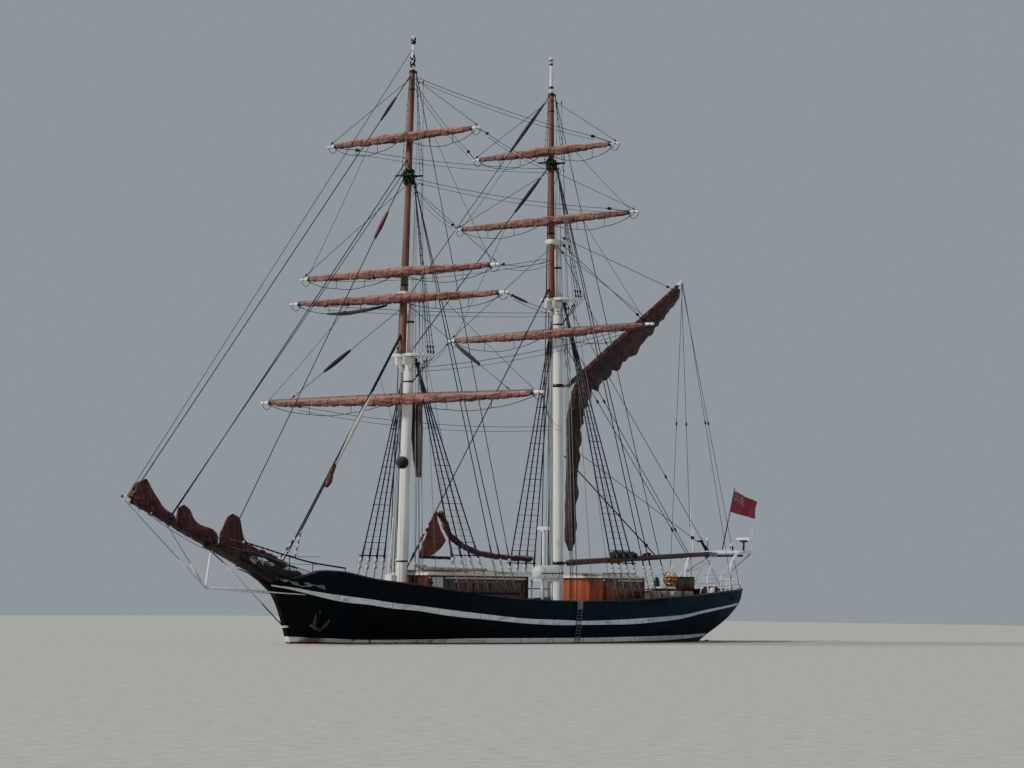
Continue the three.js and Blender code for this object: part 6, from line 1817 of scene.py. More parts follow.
def add_headsail(name, seed):
    """A headsail stowed along the spar, with its head hauled up into a peak on the stay."""
    aft_x, fore_x, radius = HEADSAILS[name]
    tops = HEADSAIL_TOPS[name]
    top_at = smooth_table(tops)
    sides = 34
    rings = []
    for t in spread(0, 1, 150):
        x = lerp(aft_x, fore_x, t)
        full = (0.45 + 0.55 * min(1, t / 0.08)) * (0.45 + 0.55 * min(1, (1 - t) / 0.08))
        z0 = sprit_z(x) + HEADSAIL_UP
        rise = max(top_at(x)[0] - z0, radius * full)
        ring = []
        for k, (c, s) in enumerate(circle(sides)):
            a = 2 * math.pi * k / sides
            lumps = 0.34 * noise.noise(Vector((t * 9 + seed, 1.6 * c, 2.4 * s)))
            lumps += 0.16 * noise.noise(Vector((t * 23, 3.5 * c, seed + 5.0 * s)))
            folds = 0.10 * math.sin(5 * a + t * 17 + seed) + 0.07 * math.sin(11 * a - t * 29)
            drapes = 0.34 * noise.noise(Vector((t * 30 + seed, 1.1 * c, 1.2 * s)))
            creases = 0.30 * abs(noise.noise(Vector((t * 15, 3.0 * c + seed, 3.4 * s))))
            m = (1.06 + folds + lumps + drapes - creases) * full
            narrow, z = 1.0, z0 + radius * m * s
            if s > 0:
                narrow = 1 - 0.42 * s * min(1.0, rise / (3 * radius))
                z = z0 + rise * s ** 1.25 * (1 + 0.30 * (folds + lumps) * (1 - s))
            ring.append(Vector((x + 0.05 * lumps, radius * 1.12 * m * c * narrow, z)))
        rings.append(ring)
    cloth, ties = Piece(name + "_furled"), Piece(name + "_ties")
    cloth.loft(rings, "jib_canvas")
    cloth.done(SHIP, "sail_canvas", (name,))
    for x in spread(aft_x + 0.08, fore_x - 0.08, 4):
        centre = sprit_point(x, HEADSAIL_UP * 0.55)
        ties.ring(centre, radius * 1.15, 0.006, "dark_rope", (0.93, 0, 0.36), 5, 20)
    peak_x, peak_z = max(tops, key=lambda point: point[1])
    low = (peak_x - 0.03, -0.022, peak_z - 0.07)
    ties.block(low, (peak_x + 0.05, 0.022, peak_z + 0.008), "black_paint", 0.010)
    ties.done(SHIP, "rigging")


def add_flag():
    """A plain red ensign with a crossed canton, streaming aft and down with ripples."""
    piece = Piece("ensign")
    hoist_top, fly_top, fly_low, hoist_low = (Vector((x, 0, z)) for x, z in FLAG_CORNERS)
    columns, rows = 56, 28

    def at(u, v):
        top = hoist_top.lerp(fly_top, u)
        low = hoist_low.lerp(fly_low, u)
        p = top.lerp(low, v)
        wave = 0.030 * u * math.sin(9.5 * u + 2.2 * v) + 0.012 * u * math.sin(19 * u - 5 * v)
        drop = -0.040 * u * (1 - u)
        return p + Vector((0.006 * math.sin(14 * u) * u, wave, drop))

    def shade(u, v):
        if u > 0.5 or v > 0.5:
            return "flag_red"
        x, y = u * 2, v * 2
        if abs(x - 0.5) < 0.055 or abs(y - 0.5) < 0.10:
            return "flag_red"
        if abs(x - 0.5) < 0.095 or abs(y - 0.5) < 0.17:
            return "flag_white"
        if abs(x - y) < 0.05 or abs(x + y - 1) < 0.05:
            return "flag_red"
        if abs(x - y) < 0.12 or abs(x + y - 1) < 0.12:
            return "flag_white"
        return "flag_blue"

    for i in range(columns):
        for j in range(rows):
            corners = [(i, j), (i, j + 1), (i + 1, j + 1), (i + 1, j)]
            paint = shade((i + 0.5) / columns, (j + 0.5) / rows)
            piece.add([at(a / columns, b / rows) for a, b in corners], [(0, 1, 2, 3)], paint)
    flag = piece.done(SHIP, "bunting", ("flag",))
    joined = bmesh.new()
    joined.from_mesh(flag.data)
    bmesh.ops.remove_doubles(joined, verts=joined.verts, dist=0.0004)
    joined.to_mesh(flag.data)
    joined.free()


# Standing rigging.
def channel_y(mast, x):
    (x0, y0), (x1, y1) = SHROUDS[mast]["side"]
    return lerp(y0, y1, (x - x0) / (x1 - x0))


def hounds(mast, side):
    """Where the shrouds of a mast meet it, for its lower mast, topmast and pole."""
    row = MASTS[mast]
    return {
        "lower": mast_point(mast, row["top"], False, -0.060, side * 0.150) - Z_AXIS * 0.080,
        "back": mast_point(mast, row["cross"], True, -0.040, side * 0.118) - Z_AXIS * 0.040,
        "topgallant": mast_point(mast, row["head"], True, -0.020, side * 0.096) - Z_AXIS * 0.060,
    }


def deadeye(piece, centre, radius, paint):
    """A round block with its groove, facing outboard."""
    out = Vector((0, math.copysign(1, centre.y), 0))
    shares = ((0, 0.6), (0.2, 1), (0.45, 0.93), (0.55, 0.93), (0.8, 1), (1, 0.6))
    thick = radius * 0.8
    profile = [(thick * along, radius * wide) for along, wide in shares]
    piece.turned(centre - out * thick / 2, out, profile, paint, 12)


def add_deadeyes(piece, low, high, radius, paint="block_wood"):
    """Two deadeyes with the lashing between them."""
    for centre in (low, high):
        deadeye(piece, centre, radius, paint)
    for dx in (-0.55, 0.0, 0.55):
        shift = Vector((dx * radius, 0, radius * 0.4))
        piece.wire(low + shift, high + Vector((shift.x, 0, -shift.z)), 0.005)


def pulley(piece, centre, size, along=Z_AXIS):
    """A wooden block on its strop, with its cheeks set along a rope."""
    centre = Vector(centre)
    along, across, side = axes(along)
    rings = []
    for t, wide in ((-1, 0.35), (-0.6, 0.85), (0, 1.0), (0.6, 0.85), (1, 0.35)):
        middle = centre + along * t * size * 0.72
        rings.append([middle + (across * c * 0.55 + side * s * 0.34) * size * wide for c, s in circle(8)])
    piece.loft(rings, "block_wood")


def add_shrouds(mast, side):
    """Shrouds and backstays with channel, deadeyes and ratlines, and the topmast shrouds."""
    word = "port" if side > 0 else "starboard"
    piece = Piece(mast + "_shrouds_" + word + "_skin")
    row, top = SHROUDS[mast], hounds(mast, side)
    lower, bar = [], []
    for group, radius, size, knob in SHROUD_GROUPS:
        head = top[group]
        for x in row[group]:
            foot = Vector((x, side * channel_y(mast, x), row["z"]))
            ahead = (head - foot).normalized()
            low, high, bar_end = (foot + ahead * ((z - row["z"]) / ahead.z) for z in DEADEYES[mast])
            piece.wire(high, head, radius, "wire", 6)
            piece.wire(high + ahead * 0.03, high + ahead * 0.34, radius * 1.5, "wire", 6)
            add_deadeyes(piece, low, high, size, "white_cord")
            piece.wire(foot, low, 0.014, "old_wood", 7)
            bar.append(bar_end)
            piece.ball(head, knob, "wire", (1, 1, 1.6), 8)
            if group == "lower":
                lower.append((high, head))
    piece.tube([bar[0] + (bar[0] - bar[-1]) * 0.05] + bar[1:-1], 0.015, "old_wood", 7)
    add_channel(piece, mast, side)
    add_ratlines(piece, lower)
    add_topmast_shrouds(piece, mast, side, top["back"], top["topgallant"])
    piece.done(SHIP, "rigging", (mast + "_shrouds_" + word,))


def add_topmast_shrouds(piece, mast, side, back, pole):
    """Shrouds from the top up to the crosstrees, and from the crosstrees up to the pole."""
    row = MASTS[mast]
    z = row["top"] + 0.052
    feet = []
    for dx in TOPMAST_SHROUD_FEET:
        foot = Vector((mast_x(mast, row["top"]) + dx, side * 0.470, z))
        up = (back - foot).normalized()
        high = foot + up * 0.17
        add_deadeyes(piece, foot + up * 0.05, high, 0.030)
        piece.wire(high, back, 0.008)
        piece.wire(foot, foot + up * 0.06, 0.008, "dark_metal")
        feet.append((high, back))
        piece.wire(foot - Z_AXIS * 0.06, mast_point(mast, z - 0.62, out=side * 0.115), 0.008)
    add_ratlines(piece, feet, 0.160, 0.80, False)
    x, out = topmast_x(mast, row["cross"]), side * CROSSTREES["half"] * 0.9
    aft, fore = (Vector((x + dx, out, row["cross"] + 0.02)) for dx in (CROSSTREES["aft"], -0.060))
    piece.wire(aft, pole, 0.007)
    piece.wire(fore, pole, 0.006)
    add_ratlines(piece, [(aft, pole), (fore, pole)], 0.150, 0.80, False)
    piece.wire(aft, back - Vector((0, side * 0.05, 0.45)), 0.006)


def add_channel(piece, mast, side):
    """The plank outside the rail that spreads the shrouds, with its softened edge."""
    row, width = SHROUDS[mast], CHANNEL["width"]
    high, low = row["z"], row["z"] - CHANNEL["thickness"]
    rings = []
    for x in spread(row["side"][0][0] - 0.06, row["side"][1][0] + 0.06, 12):
        outer = channel_y(mast, x) + width / 2
        inner = min(outer - 0.02, max(half_width(x, high - 0.03) + 0.002, outer - width * 1.5))
        soft = outer - 0.008
        shape = [(inner, low), (soft, low), (outer, low + 0.008)]
        shape += [(outer, high - 0.008), (soft, high), (inner, high)]
        rings.append([Vector((x, side * y, z)) for y, z in shape][::-side])
    piece.loft(rings, "hull_paint", smooth=False)


def add_ratlines(piece, lines, spacing=0.140, last=0.93, battens=True):
    """Rungs across a fan of shrouds, with a wooden batten at every sixth."""
    first_z = max(a.z for a, _ in lines) + 0.10
    for k in range(int((lines[0][1] - lines[0][0]).length * last / spacing)):
        z = first_z + k * spacing
        shares = [(a, b, (z - a.z) / (b.z - a.z)) for a, b in lines]
        points = [a.lerp(b, t) for a, b, t in shares if 0 < t < 0.97]
        if len(points) < 2:
            continue
        if battens and k % 6 == 2:
            out = (points[0] - points[-1]).normalized() * 0.03
            piece.beam(points[0] + out, points[-1] - out, 0.026, 0.014, "block_wood")
            continue
        for a, b in zip(points, points[1:]):
            piece.tube(sagging(a, b, 0.006, 2), 0.0050, "wire", 4)
        for p in points:
            piece.ball(p, 0.013, "wire", sides=6)
    if battens:
        first, final = (lines[k][0] + Z_AXIS * 0.09 for k in (0, -1))
        out = (first - final).normalized() * 0.08
        piece.wire(first + out, final - out, 0.014, "block_wood", 7)


def add_stays():
    """The centreline stays with seizings, each standing for its own node."""
    for name, ((x0, z0), (x1, z1), radius) in STAYS.items():
        piece = Piece(name + "_wire")
        a, b = Vector((x0, 0, z0)), Vector((x1, 0, z1))
        along = (b - a).normalized()
        piece.wire(a, b, radius * (0.65 if name == "mainstay" else 1.1), "wire", 8)
        for start in (a, a.lerp(b, 0.92)):
            piece.wire(start + along * 0.02, start + along * 0.40, radius * 1.25, "wire", 8)
        if name in ("forestay", "mainstay"):
            ends = [a.lerp(b, t) for t in (0.90, 0.955)]
            paint = "white_cord" if name == "forestay" else "block_wood"
            for centre in ends:
                piece.ball(centre, 0.050, paint, (0.8, 0.6, 1.2), 10)
            for y in (-0.020, 0.020):
                piece.wire(ends[0] + Y_AXIS * y, ends[1] + Y_AXIS * y, 0.007, "white_cord")
        if name == "mainstay":
            for k, t in enumerate(spread(*HANKS, 12)[:-1]):
                start = a.lerp(b, t)
                piece.wire(start, start + along * 0.07, 0.020, "black_paint" if k % 2 else "white_cord", 8)
        piece.done(SHIP, "rigging", (name,))


def add_sleeves():
    """Chafe sleeves, sail heads and leathers that stand out along the stays."""
    piece = Piece("stay_sleeves")
    for start, end, radius, paint in SLEEVES:
        sleeve(piece, straight(start, end, 10), radius, paint)
    piece.done(SHIP, "rigging")


def add_head_rigging():
    """Bobstay, martingales and forked stay over the bow, with the guys and rails on each side."""
    piece = Piece("head_rigging")
    foot = Vector((STRIKER["foot"][0], 0, STRIKER["foot"][1] + 0.03))
    cap = sprit_point(SPRIT["cap"][0] - 0.05, -SPRIT_RADIUS["cap"])
    tip = sprit_point(SPRIT["tip"][0] - 0.04, -SPRIT_RADIUS["tip"])
    piece.wire(cap, BOBSTAY_KNOB, 0.014, "wire", 6)
    piece.wire(BOBSTAY_KNOB, BOBSTAY_CHAIN, 0.017, "white_cord", 6)
    piece.wire(BOBSTAY_CHAIN, BOBSTAY_FOOT, 0.014, "wire", 6)
    piece.ball(BOBSTAY_KNOB, 0.040, "white_cord", (1, 0.7, 1), 10)
    for end, share in ((tip, 0.32), (sprit_point(10.55, -0.06), 0.38)):
        joint = foot.lerp(end, share)
        piece.wire(foot, joint, 0.022, "white_cord", 7)
        piece.wire(joint, end, 0.010, "light_wire", 6)
    for end in STAY_FORK["feet"]:
        points = straight(STAY_FORK["top"], end, 9)
        for k in range(9):
            piece.wire(points[k], points[k + 1], 0.017, "wire" if k % 2 else "white_cord", 6)
    for side in (1, -1):
        add_head_side(piece, side, foot)
    reach = Vector((0.012, BACKBONE_HALF + 0.006, 0.022))
    piece.block(BOBSTAY_FOOT - reach - X_AXIS * 0.118, BOBSTAY_FOOT + reach, "white_paint", 0.006)
    piece.done(SHIP, "rigging")
    add_head_net()


def add_head_side(piece, side, foot):
    """One side of the bow: martingale, pipe rail, guys, footrope and side ropes."""
    cap_x, tip_x = SPRIT["cap"][0], SPRIT["tip"][0]
    end = Vector((6.98, side * (half_width(6.98, 1.03) + 0.012), 1.035))
    joint = foot.lerp(end, 0.60)
    piece.wire(foot, joint, 0.024, "white_cord", 8)
    piece.ball(joint, 0.034, "white_cord", (1.3, 0.8, 0.8), 10)
    piece.wire(joint, end, 0.014, "white_cord", 7)
    rail = on_side(HEAD_RAIL, side)
    piece.tube(smooth_path(rail, 6), 0.018, "black_iron", 7)
    for k in range(9):
        piece.ring(rail[0].lerp(rail[1], k / 9), 0.022, 0.006, "white_cord", rail[1] - rail[0], 5, 10)
    for p in rail[1:]:
        piece.wire(p, (p.x, p.y, rail_point(min(p.x, 7.6), 1).z), 0.011, "dark_metal", 6)
    guy = rail_point(7.05, side, 0.0, 0.02)
    piece.wire((tip_x - 0.10, 0, sprit_z(tip_x) - 0.02), guy, 0.007)
    piece.wire((cap_x - 0.05, side * 0.05, sprit_z(cap_x)), guy, 0.007)
    outer, inner = (tip_x - 0.20, side * 0.05, sprit_z(tip_x) - 0.02), sprit_point(cap_x, -0.10, side * 0.10)
    rope = sagging(outer, inner, 0.07, 12)
    piece.tube(rope, 0.007, "wire", 5)
    for p in rope[3:12:3]:
        piece.ball(p, 0.022, "white_cord", sides=8)
        piece.wire(p, (p.x + 0.02, side * 0.03, sprit_z(p.x) - 0.03), 0.005)
    for up in (0.15, 0.31):
        line = [p + Z_AXIS * up for p in on_side(SIDE_ROPES, side)]
        piece.tube(smooth_path([sprit_point(8.9, up, side * 0.12)] + line, 5), 0.007, "grey_rope", 5)


def add_head_net():
    """The net under the bowsprit: two hanging sides of crossing cords, and bundles of stowed net."""
    piece = Piece("bowsprit_net")
    rows, columns = 9, 26

    def at(side, u, v):
        x = lerp(6.95, 8.55, u)
        high = sprit_point(x, lerp(0.42, 0.25, u), side * lerp(0.50, 0.26, u))
        low = sprit_point(x, -lerp(0.02, 0.16, u), side * 0.03)
        belly = math.sin(math.pi * v) * 0.07
        return high.lerp(low, v) + Vector((0, side * belly, -belly * 0.6))

    for side in (1, -1):
        for i in range(columns):
            for lean in (1, -1):
                marks = [((i + lean * j * 0.75) / columns, j / rows) for j in range(rows + 1)]
                points = [at(side, u, v) for u, v in marks if 0 <= u <= 1]
                if len(points) > 1:
                    piece.tube(points, 0.0035, "wire", 4)
        for v in (0.0, 1.0):
            piece.tube([at(side, u, v) for u in spread(0, 1, 12)], 0.008, "grey_rope", 5)
        for x, y, z, reach, radius, paint in NET_LUMPS:
            points, radii = [], []
            for t in spread(-1, 1, 14):
                place = Vector((x + t * reach, side * y, z + t * reach * 0.36))
                rough = noise.noise(place * 9.0)
                points.append(place + Vector((0, side * 0.02 * rough, 0.03 * rough)))
                radii.append(radius * math.sqrt(max(0.05, 1 - t * t)) * (1 + 0.45 * rough))
            piece.tube(points, radii, paint, 12)
    piece.done(SHIP, "rigging")


# Running rigging.
def sleeve(piece, points, radius, paint="black_canvas"):
    """A sleeve laced round a line, thinner towards its ends."""
    radii = [radius * (0.55 + 0.45 * math.sin(a)) for a in spread(0, math.pi, len(points) - 1)]
    piece.tube(points, radii, paint, 10)


def add_lifts(name):
    """Lifts from the yardarms to the mast."""
    if name not in LIFTS:
        return
    mast, on_topmast = YARDS[name][:2]
    target = LIFTS[name]
    piece = Piece(name + "_lifts")
    x = topmast_x(mast, target) if on_topmast or target > MASTS[mast]["cap"] else mast_x(mast, target) + 0.14
    reach = YARDS[name][2] / 2 * LIFT_REACH.get(name, 1.0) - 0.08
    for side in (1, -1):
        tip = yard_point(name, side * reach, 0, yard_radius(name, reach) + 0.004)
        head = Vector((x, side * 0.07, target))
        piece.tube(straight(head, tip, 10), 0.0080, "wire", 5)
        if name in LIFT_SLEEVES:
            start, end, radius = LIFT_SLEEVES[name]
            sleeve(piece, straight(head.lerp(tip, start), head.lerp(tip, end), 10), radius)
        pulley(piece, tip.lerp(head, 0.03), 0.050, head - tip)
    piece.bend(name, (x, 0, target), (x, 0, YARDS[name][4] + 0.05))


def add_braces():
    """Braces from each yardarm to the other mast."""
    for name, (lead_x, lead_y, lead_z, drop) in BRACES:
        half = YARDS[name][2] / 2
        for side, word in ((1, "port"), (-1, "starboard")):
            piece = Piece(name + "_brace_" + word)
            tip = yard_point(name, side * (half - 0.10), 0.0, -0.02)
            lead = Vector((lead_x, side * lead_y, lead_z))
            pennant = tip.lerp(lead, 0.12)
            rope = sagging(lead, pennant, drop, 14)
            piece.tube(rope, 0.0072, "wire", 5)
            if side > 0 and name in BRACE_SLEEVES:
                first, last, radius = BRACE_SLEEVES[name]
                sleeve(piece, rope[first:last], radius)
            piece.tube([tip, pennant], 0.010, "wire", 5)
            beside = Vector((0, side * 0.03, -0.085))
            piece.tube(sagging(lead + beside, pennant + beside, drop * 1.2, 14), 0.0060, "wire", 5)
            pulley(piece, pennant, 0.080, pennant - tip)
            piece.bend(name, lead, tip)


def add_sheets():
    """Sheets and clewlines that hang in the plane of each sail, from yard to yard."""
    for upper, lower in SHEET_PAIRS:
        piece = Piece(upper + "_sheets")
        half_up, half_low = YARDS[upper][2] / 2, YARDS[lower][2] / 2
        for side in (1, -1):
            a = yard_point(upper, side * 0.42 * half_up, 0.02, -0.06)
            b = yard_point(lower, side * (half_low - 0.22), 0.0, 0.04)
            piece.tube(sagging(a, b, 0.03, 8), 0.0065, "wire", 5)
        piece.done(upper, "rigging")


def add_halyards():
    """Halyards and buntlines that run down each mast to the pin rails."""
    for mast in ("fore", "main"):
        piece = Piece(mast + "_halyards")
        row = MASTS[mast]
        foot = row["foot"] + 0.30
        for dx, dy, z1, x1, y1 in HALYARDS[mast]:
            for side in (1, -1):
                head = (mast_x(mast, z1) + dx, side * dy, z1)
                piece.wire(head, (x1, side * y1, foot + 0.2), 0.0065, "pale_rope", 5)
                pulley(piece, head, 0.050)
        piece.done(SHIP, "rigging")


def add_gaff_rigging():
    """Peak halyards, vangs and topping lifts of the gaff and boom, with a tail of cloth and the sheet of the
    boom.
    """
    peaks = Piece("peak_halyards")
    for t, z in ((0.34, 9.15), (0.62, 9.30), (0.90, 9.45)):
        a = spar_point(GAFF, t, lerp(*GAFF["radii"], t) + 0.01)
        b = Vector((mast_x("main", z) - 0.12, 0, z))
        peaks.tube(straight(b, a, 8), 0.0080, "wire", 5)
        pulley(peaks, a.lerp(b, 0.04), 0.07, b - a)
        pulley(peaks, b.lerp(a, 0.03), 0.07, b - a)
    for side in (1, -1):
        a = spar_point(GAFF, 0.02, 0.06)
        b = Vector((mast_x("main", 7.7) - 0.10, side * 0.05, 7.7))
        peaks.wire(b, a + Y_AXIS * side * 0.03, 0.008)
    peaks.bend("gaff_rig", (mast_x("main", 9.3) - 0.12, 0, 9.3), spar_point(GAFF, 0.34, 0.2))
    vangs = Piece("gaff_vangs")
    for side in (1, -1):
        for back, x, y in ((0.995, -6.9, 0.98), (0.985, -7.5, 0.75)):
            a = spar_point(GAFF, back)
            b = Vector((x, side * y, rail_point(x, 1).z + 0.04))
            vangs.tube(sagging(b, a, 0.02, 12), 0.0072, "wire", 5)
            pulley(vangs, a.lerp(b, 0.46), 0.075, b - a)
    vangs.bend("gaff_rig", (-6.9, 0, 1.25), spar_point(GAFF, 1))
    for number, (x0, y0, z0, x1, z1, radius, blocks) in enumerate(BOOM_LINES):
        lift = Piece(f"boom_lift_{number + 1}")
        top, low = Vector((x0, y0, z0)), Vector((x1, y0 * 0.3, z1))
        lift.tube(straight(top, low, 10), radius, "wire", 6)
        for share in blocks:
            pulley(lift, top.lerp(low, share), 0.085, low - top)
        lift.bend("boom", top, low)
    tail = Piece("boom_tail")
    cloth = [(-6.75, 0, 2.43), (-6.92, 0, 2.45), (-7.10, 0, 2.21)]
    tail.tube(cloth, [0.016, 0.040, 0.026], "black_canvas", 8)
    tail.done("boom", "rigging")
    sheets = Piece("boom_sheet")
    for side in (1, -1):
        a = spar_point(BOOM, 0.93, -0.06)
        b = Vector((-7.15, side * 0.55, rail_point(-7.15, 1).z - 0.10))
        for shift in (-0.02, 0.02):
            sheets.wire(b + X_AXIS * shift, a + X_AXIS * shift, 0.0075, "cream_rope")
        pulley(sheets, a, 0.07)
        pulley(sheets, b, 0.07)
    sheets.bend("boom", (-7.15, 0, 1.15), spar_point(BOOM, 0.93))


# Deck houses and deck gear.
def add_house(name):
    """A deckhouse in boards, with corner posts, mouldings, windows and a roof edge."""
    row = HOUSES[name]
    half, top = row["half"], row["top"]
    paint = "bright_mahogany" if name == "aft_house" else "mahogany"
    trims = Piece(name + "_trims")
    for x in (row["aft"], row["fore"]):
        for y in (half, -half):
            low = (x - 0.030, y - 0.030, deck_z(x) - 0.01)
            trims.block(low, (x + 0.030, y + 0.030, top - 0.002), paint, 0.010)
    for x in row["windows"]:
        for side in (1, -1):
            add_window(trims, x, side * half, side, paint)
    for z, trim, out in ((top - 0.055, "white_paint", 0.014), (top - 0.30, paint, 0.008)):
        for side in (1, -1):
            for aft, fore in wall_runs(row, z):
                low = (aft, side * half, z - 0.018)
                trims.block(low, (fore, side * (half + out), z + 0.018), trim, 0.004)
    add_roof(trims, name)
    trims.done(SHIP, "mahogany")


def wall_runs(row, z):
    """The lengths of a house's side that a moulding can run along, clear of its door."""
    aft, fore, door = row["aft"] + 0.03, row["fore"] - 0.03, row["door"]
    return [(aft, door - 0.42), (door + 0.05, fore)] if z < DOOR_TOP else [(aft, fore)]


def add_window(piece, x, y, side, paint):
    """Glass in a raised frame, set in its opening."""
    w, h, bar = WINDOW["width"] / 2, WINDOW["height"] / 2, WINDOW["bar"]
    z = WINDOW["sill"] + h
    inner, outer = y - side * 0.012, y + side * 0.012
    piece.block((x - w, y - side * 0.022, z - h), (x + w, inner, z + h), "window_glass", 0.001)
    for way in (-1, 1):
        edge = z + way * h
        piece.block((x - w - bar, inner, edge), (x + w + bar, outer, edge + way * bar), paint, 0.004)
    for way in (-1, 1):
        edge = x + way * w
        piece.block((edge, inner, z - h), (edge + way * bar, outer, z + h), paint, 0.004)


def add_roof(piece, name):
    """A white crowned roof edge with handrails on it."""
    low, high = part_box(name + "_roof")
    under, over = low.z - 0.004, low.z + 0.048
    for edge, side in ((high.y, 1), (low.y, -1)):
        outer = edge + side * 0.012
        piece.block((low.x - 0.004, edge, under), (high.x + 0.004, outer, over), "white_paint", 0.006)
        y = side * (high.y - 0.16)
        z = roof_z(name, y)
        marks = spread(low.x + 0.25, high.x - 0.25, 5)
        for x in marks:
            piece.block((x - 0.02, y - 0.010, z - 0.01), (x + 0.02, y + 0.010, z + 0.045), "teak", 0.004)
        piece.wire((marks[0], y, z + 0.05), (marks[-1], y, z + 0.05), 0.012, "teak", 8)
    for edge, way in ((low.x, -1), (high.x, 1)):
        piece.block((edge, low.y, under), (edge + way * 0.012, high.y, over), "white_paint", 0.006)


def roof_z(name, y):
    """Height of the crowned roof's top at y."""
    low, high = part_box(name + "_roof")
    crown = high.z - low.z - 0.045
    return high.z - crown * abs(y) / high.y


def add_house_gear():
    """Rolled mats, a white spar and a coil of rope on the fore house, and boxes beside it."""
    piece = Piece("fore_house_gear")
    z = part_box("fore_house_roof")[1].z
    piece.tube(ROOF_SPAR, 0.042, "white_spar", 12)
    shares = spread(0, 1, 10)
    for x, y, length, radius, paint in ROOF_ROLLS:
        up = z + radius * 0.9 - abs(y) * 0.08
        points = [(x + length * t, y + 0.012 * math.sin(k * 1.3), up) for k, t in enumerate(shares)]
        radii = [radius * (0.75 + 0.25 * math.sin(math.pi * max(0.02, t))) for t in shares]
        piece.tube(points, radii, paint, 12)
    for k in range(7):
        centre = (2.75 + 0.012 * k, -0.20, z + 0.02 + 0.016 * k)
        piece.ring(centre, 0.11 - 0.004 * k, 0.010, "cream_rope", Z_AXIS)
    add_boxes(piece, DECK_BOXES)
    piece.done(SHIP, "white_paint")


def add_boxes(piece, table):
    """The plain boxes of a table, with soft edges."""
    for x0, y0, x1, y1, z0, z1, paint in table:
        piece.block((x0, y0, z0), (x1, y1, z1), paint, 0.012)


def add_pin_rails():
    """Belaying rails inside the bulwarks and fife rails at the masts, with pins and coils of rope."""
    piece = Piece("pin_rails")
    rng = random.Random(31)
    for low, high in PIN_RAILS:
        for side in (1, -1):
            points = [pin_rail_point(x, side, 0.055) for x in spread(low, high, 8)]
            for a, b in zip(points, points[1:]):
                piece.beam(a, b, 0.075, 0.030, "rail_wood")
            for x in spread(low + 0.08, high - 0.08, int((high - low) / 0.16) - 1):
                centre = pin_rail_point(x, side, 0.060)
                add_pin(piece, centre)
                if rng.random() < 0.8:
                    add_coil(piece, centre - Vector((0, side * 0.052, 0.11)), side, rng)
    for mast in MASTS:
        add_fife_rails(piece, mast, rng)
    piece.done(SHIP, "varnished_spar")


def pin_rail_point(x, side, inside):
    """A point on the belaying rail, so far inside the bulwark."""
    row = station(x)
    return Vector((x, side * (row[7] - WALL - inside), row[8] - 0.10))


def add_fife_rails(piece, mast, rng):
    """The two rails that stand across the deck at a mast, each with five pins."""
    foot = MASTS[mast]["foot"]
    z = foot + 0.34
    for dx in (-0.34, 0.34):
        x = mast_x(mast, foot) + dx
        piece.beam((x, -0.36, z), (x, 0.36, z), 0.075, 0.035, "rail_wood")
        for y in (-0.33, 0.33):
            piece.beam((x, y, foot - 0.01), (x, y, z), 0.06, 0.06, "rail_wood", X_AXIS)
        for y in spread(-0.24, 0.24, 4):
            add_pin(piece, (x, y, z))
            add_coil(piece, Vector((x + math.copysign(0.05, dx), y, z - 0.12)), 0, rng)


def add_pin(piece, centre):
    """A turned pin that stands through its rail."""
    profile = [(-0.085, 0.007), (0.0, 0.009), (0.015, 0.014), (0.055, 0.016), (0.085, 0.009)]
    piece.turned(centre, Z_AXIS, profile, "dark_wood", 8)


def add_coil(piece, centre, side, rng):
    """A hank of rope hung on a pin."""
    paint = "cream_rope" if rng.random() < 0.6 else "grey_rope"
    out = Y_AXIS * side if side else X_AXIS
    across = out.cross(Z_AXIS)
    for k in range(4):
        wide = 0.038 + 0.006 * rng.random()
        tall = 0.095 + 0.018 * rng.random()
        middle = centre + out * (0.010 * (k - 1.5))
        points = [middle + across * c * wide + Z_AXIS * s * tall for c, s in circle(12)]
        piece.tube(points + points[:1], 0.0075, paint, 5, caps=False)


def add_raft():
    """The white canister with ribs and straps in its cradle on white posts."""
    piece = Piece("liferaft_skin")
    x, y, z, length, r = (RAFT[key] for key in ("x", "y", "z", "length", "radius"))
    half = length / 2
    end = [(0, r * 0.30), (0.02, r * 0.72), (0.06, r * 0.92), (0.11, r)]
    ribs = []
    for s in spread(0.14, length - 0.14, 6):
        ribs += [(s - 0.018, r), (s - 0.010, r * 1.03), (s + 0.010, r * 1.03), (s + 0.018, r)]
    profile = end + ribs + [(length - s, radius) for s, radius in reversed(end)]
    piece.turned((x - half, y, z), X_AXIS, profile, "raft_plastic", 32)
    strap = Vector((half - 0.05, r + 0.008, 0.012))
    piece.block(Vector((x, y, z)) - strap, Vector((x, y, z)) + strap, "dark_metal", 0.004)
    for dx in (-0.24, 0.0, 0.24):
        piece.ring((x + dx, y, z), r * 1.005, 0.006, "black_rubber", X_AXIS, 6, 32)
    add_raft_cradle(piece, z - r + 0.01)
    piece.done(SHIP, "raft_plastic", ("liferaft",))


def add_raft_cradle(piece, z):
    """Four posts on the deck and the bars across and along them."""
    xs = [RAFT["x"] + way * RAFT["leg_x"] * 0.82 for way in (-1, 1)]
    ys = [RAFT["y"] + way * RAFT["leg_y"] for way in (-1, 1)]
    for x in xs:
        low = deck_z(x) - 0.004
        for y in ys:
            piece.wire((x, y, low), (x, y, z + 0.01), 0.022, "white_paint", 10)
            piece.block((x - 0.05, y - 0.05, low), (x + 0.05, y + 0.05, low + 0.015), "white_paint")
        piece.beam((x, ys[0] - 0.02, z), (x, ys[1] + 0.02, z), 0.05, 0.05, "white_paint")
    for y in ys:
        piece.beam((xs[0], y, z), (xs[1], y, z), 0.04, 0.04, "white_paint")


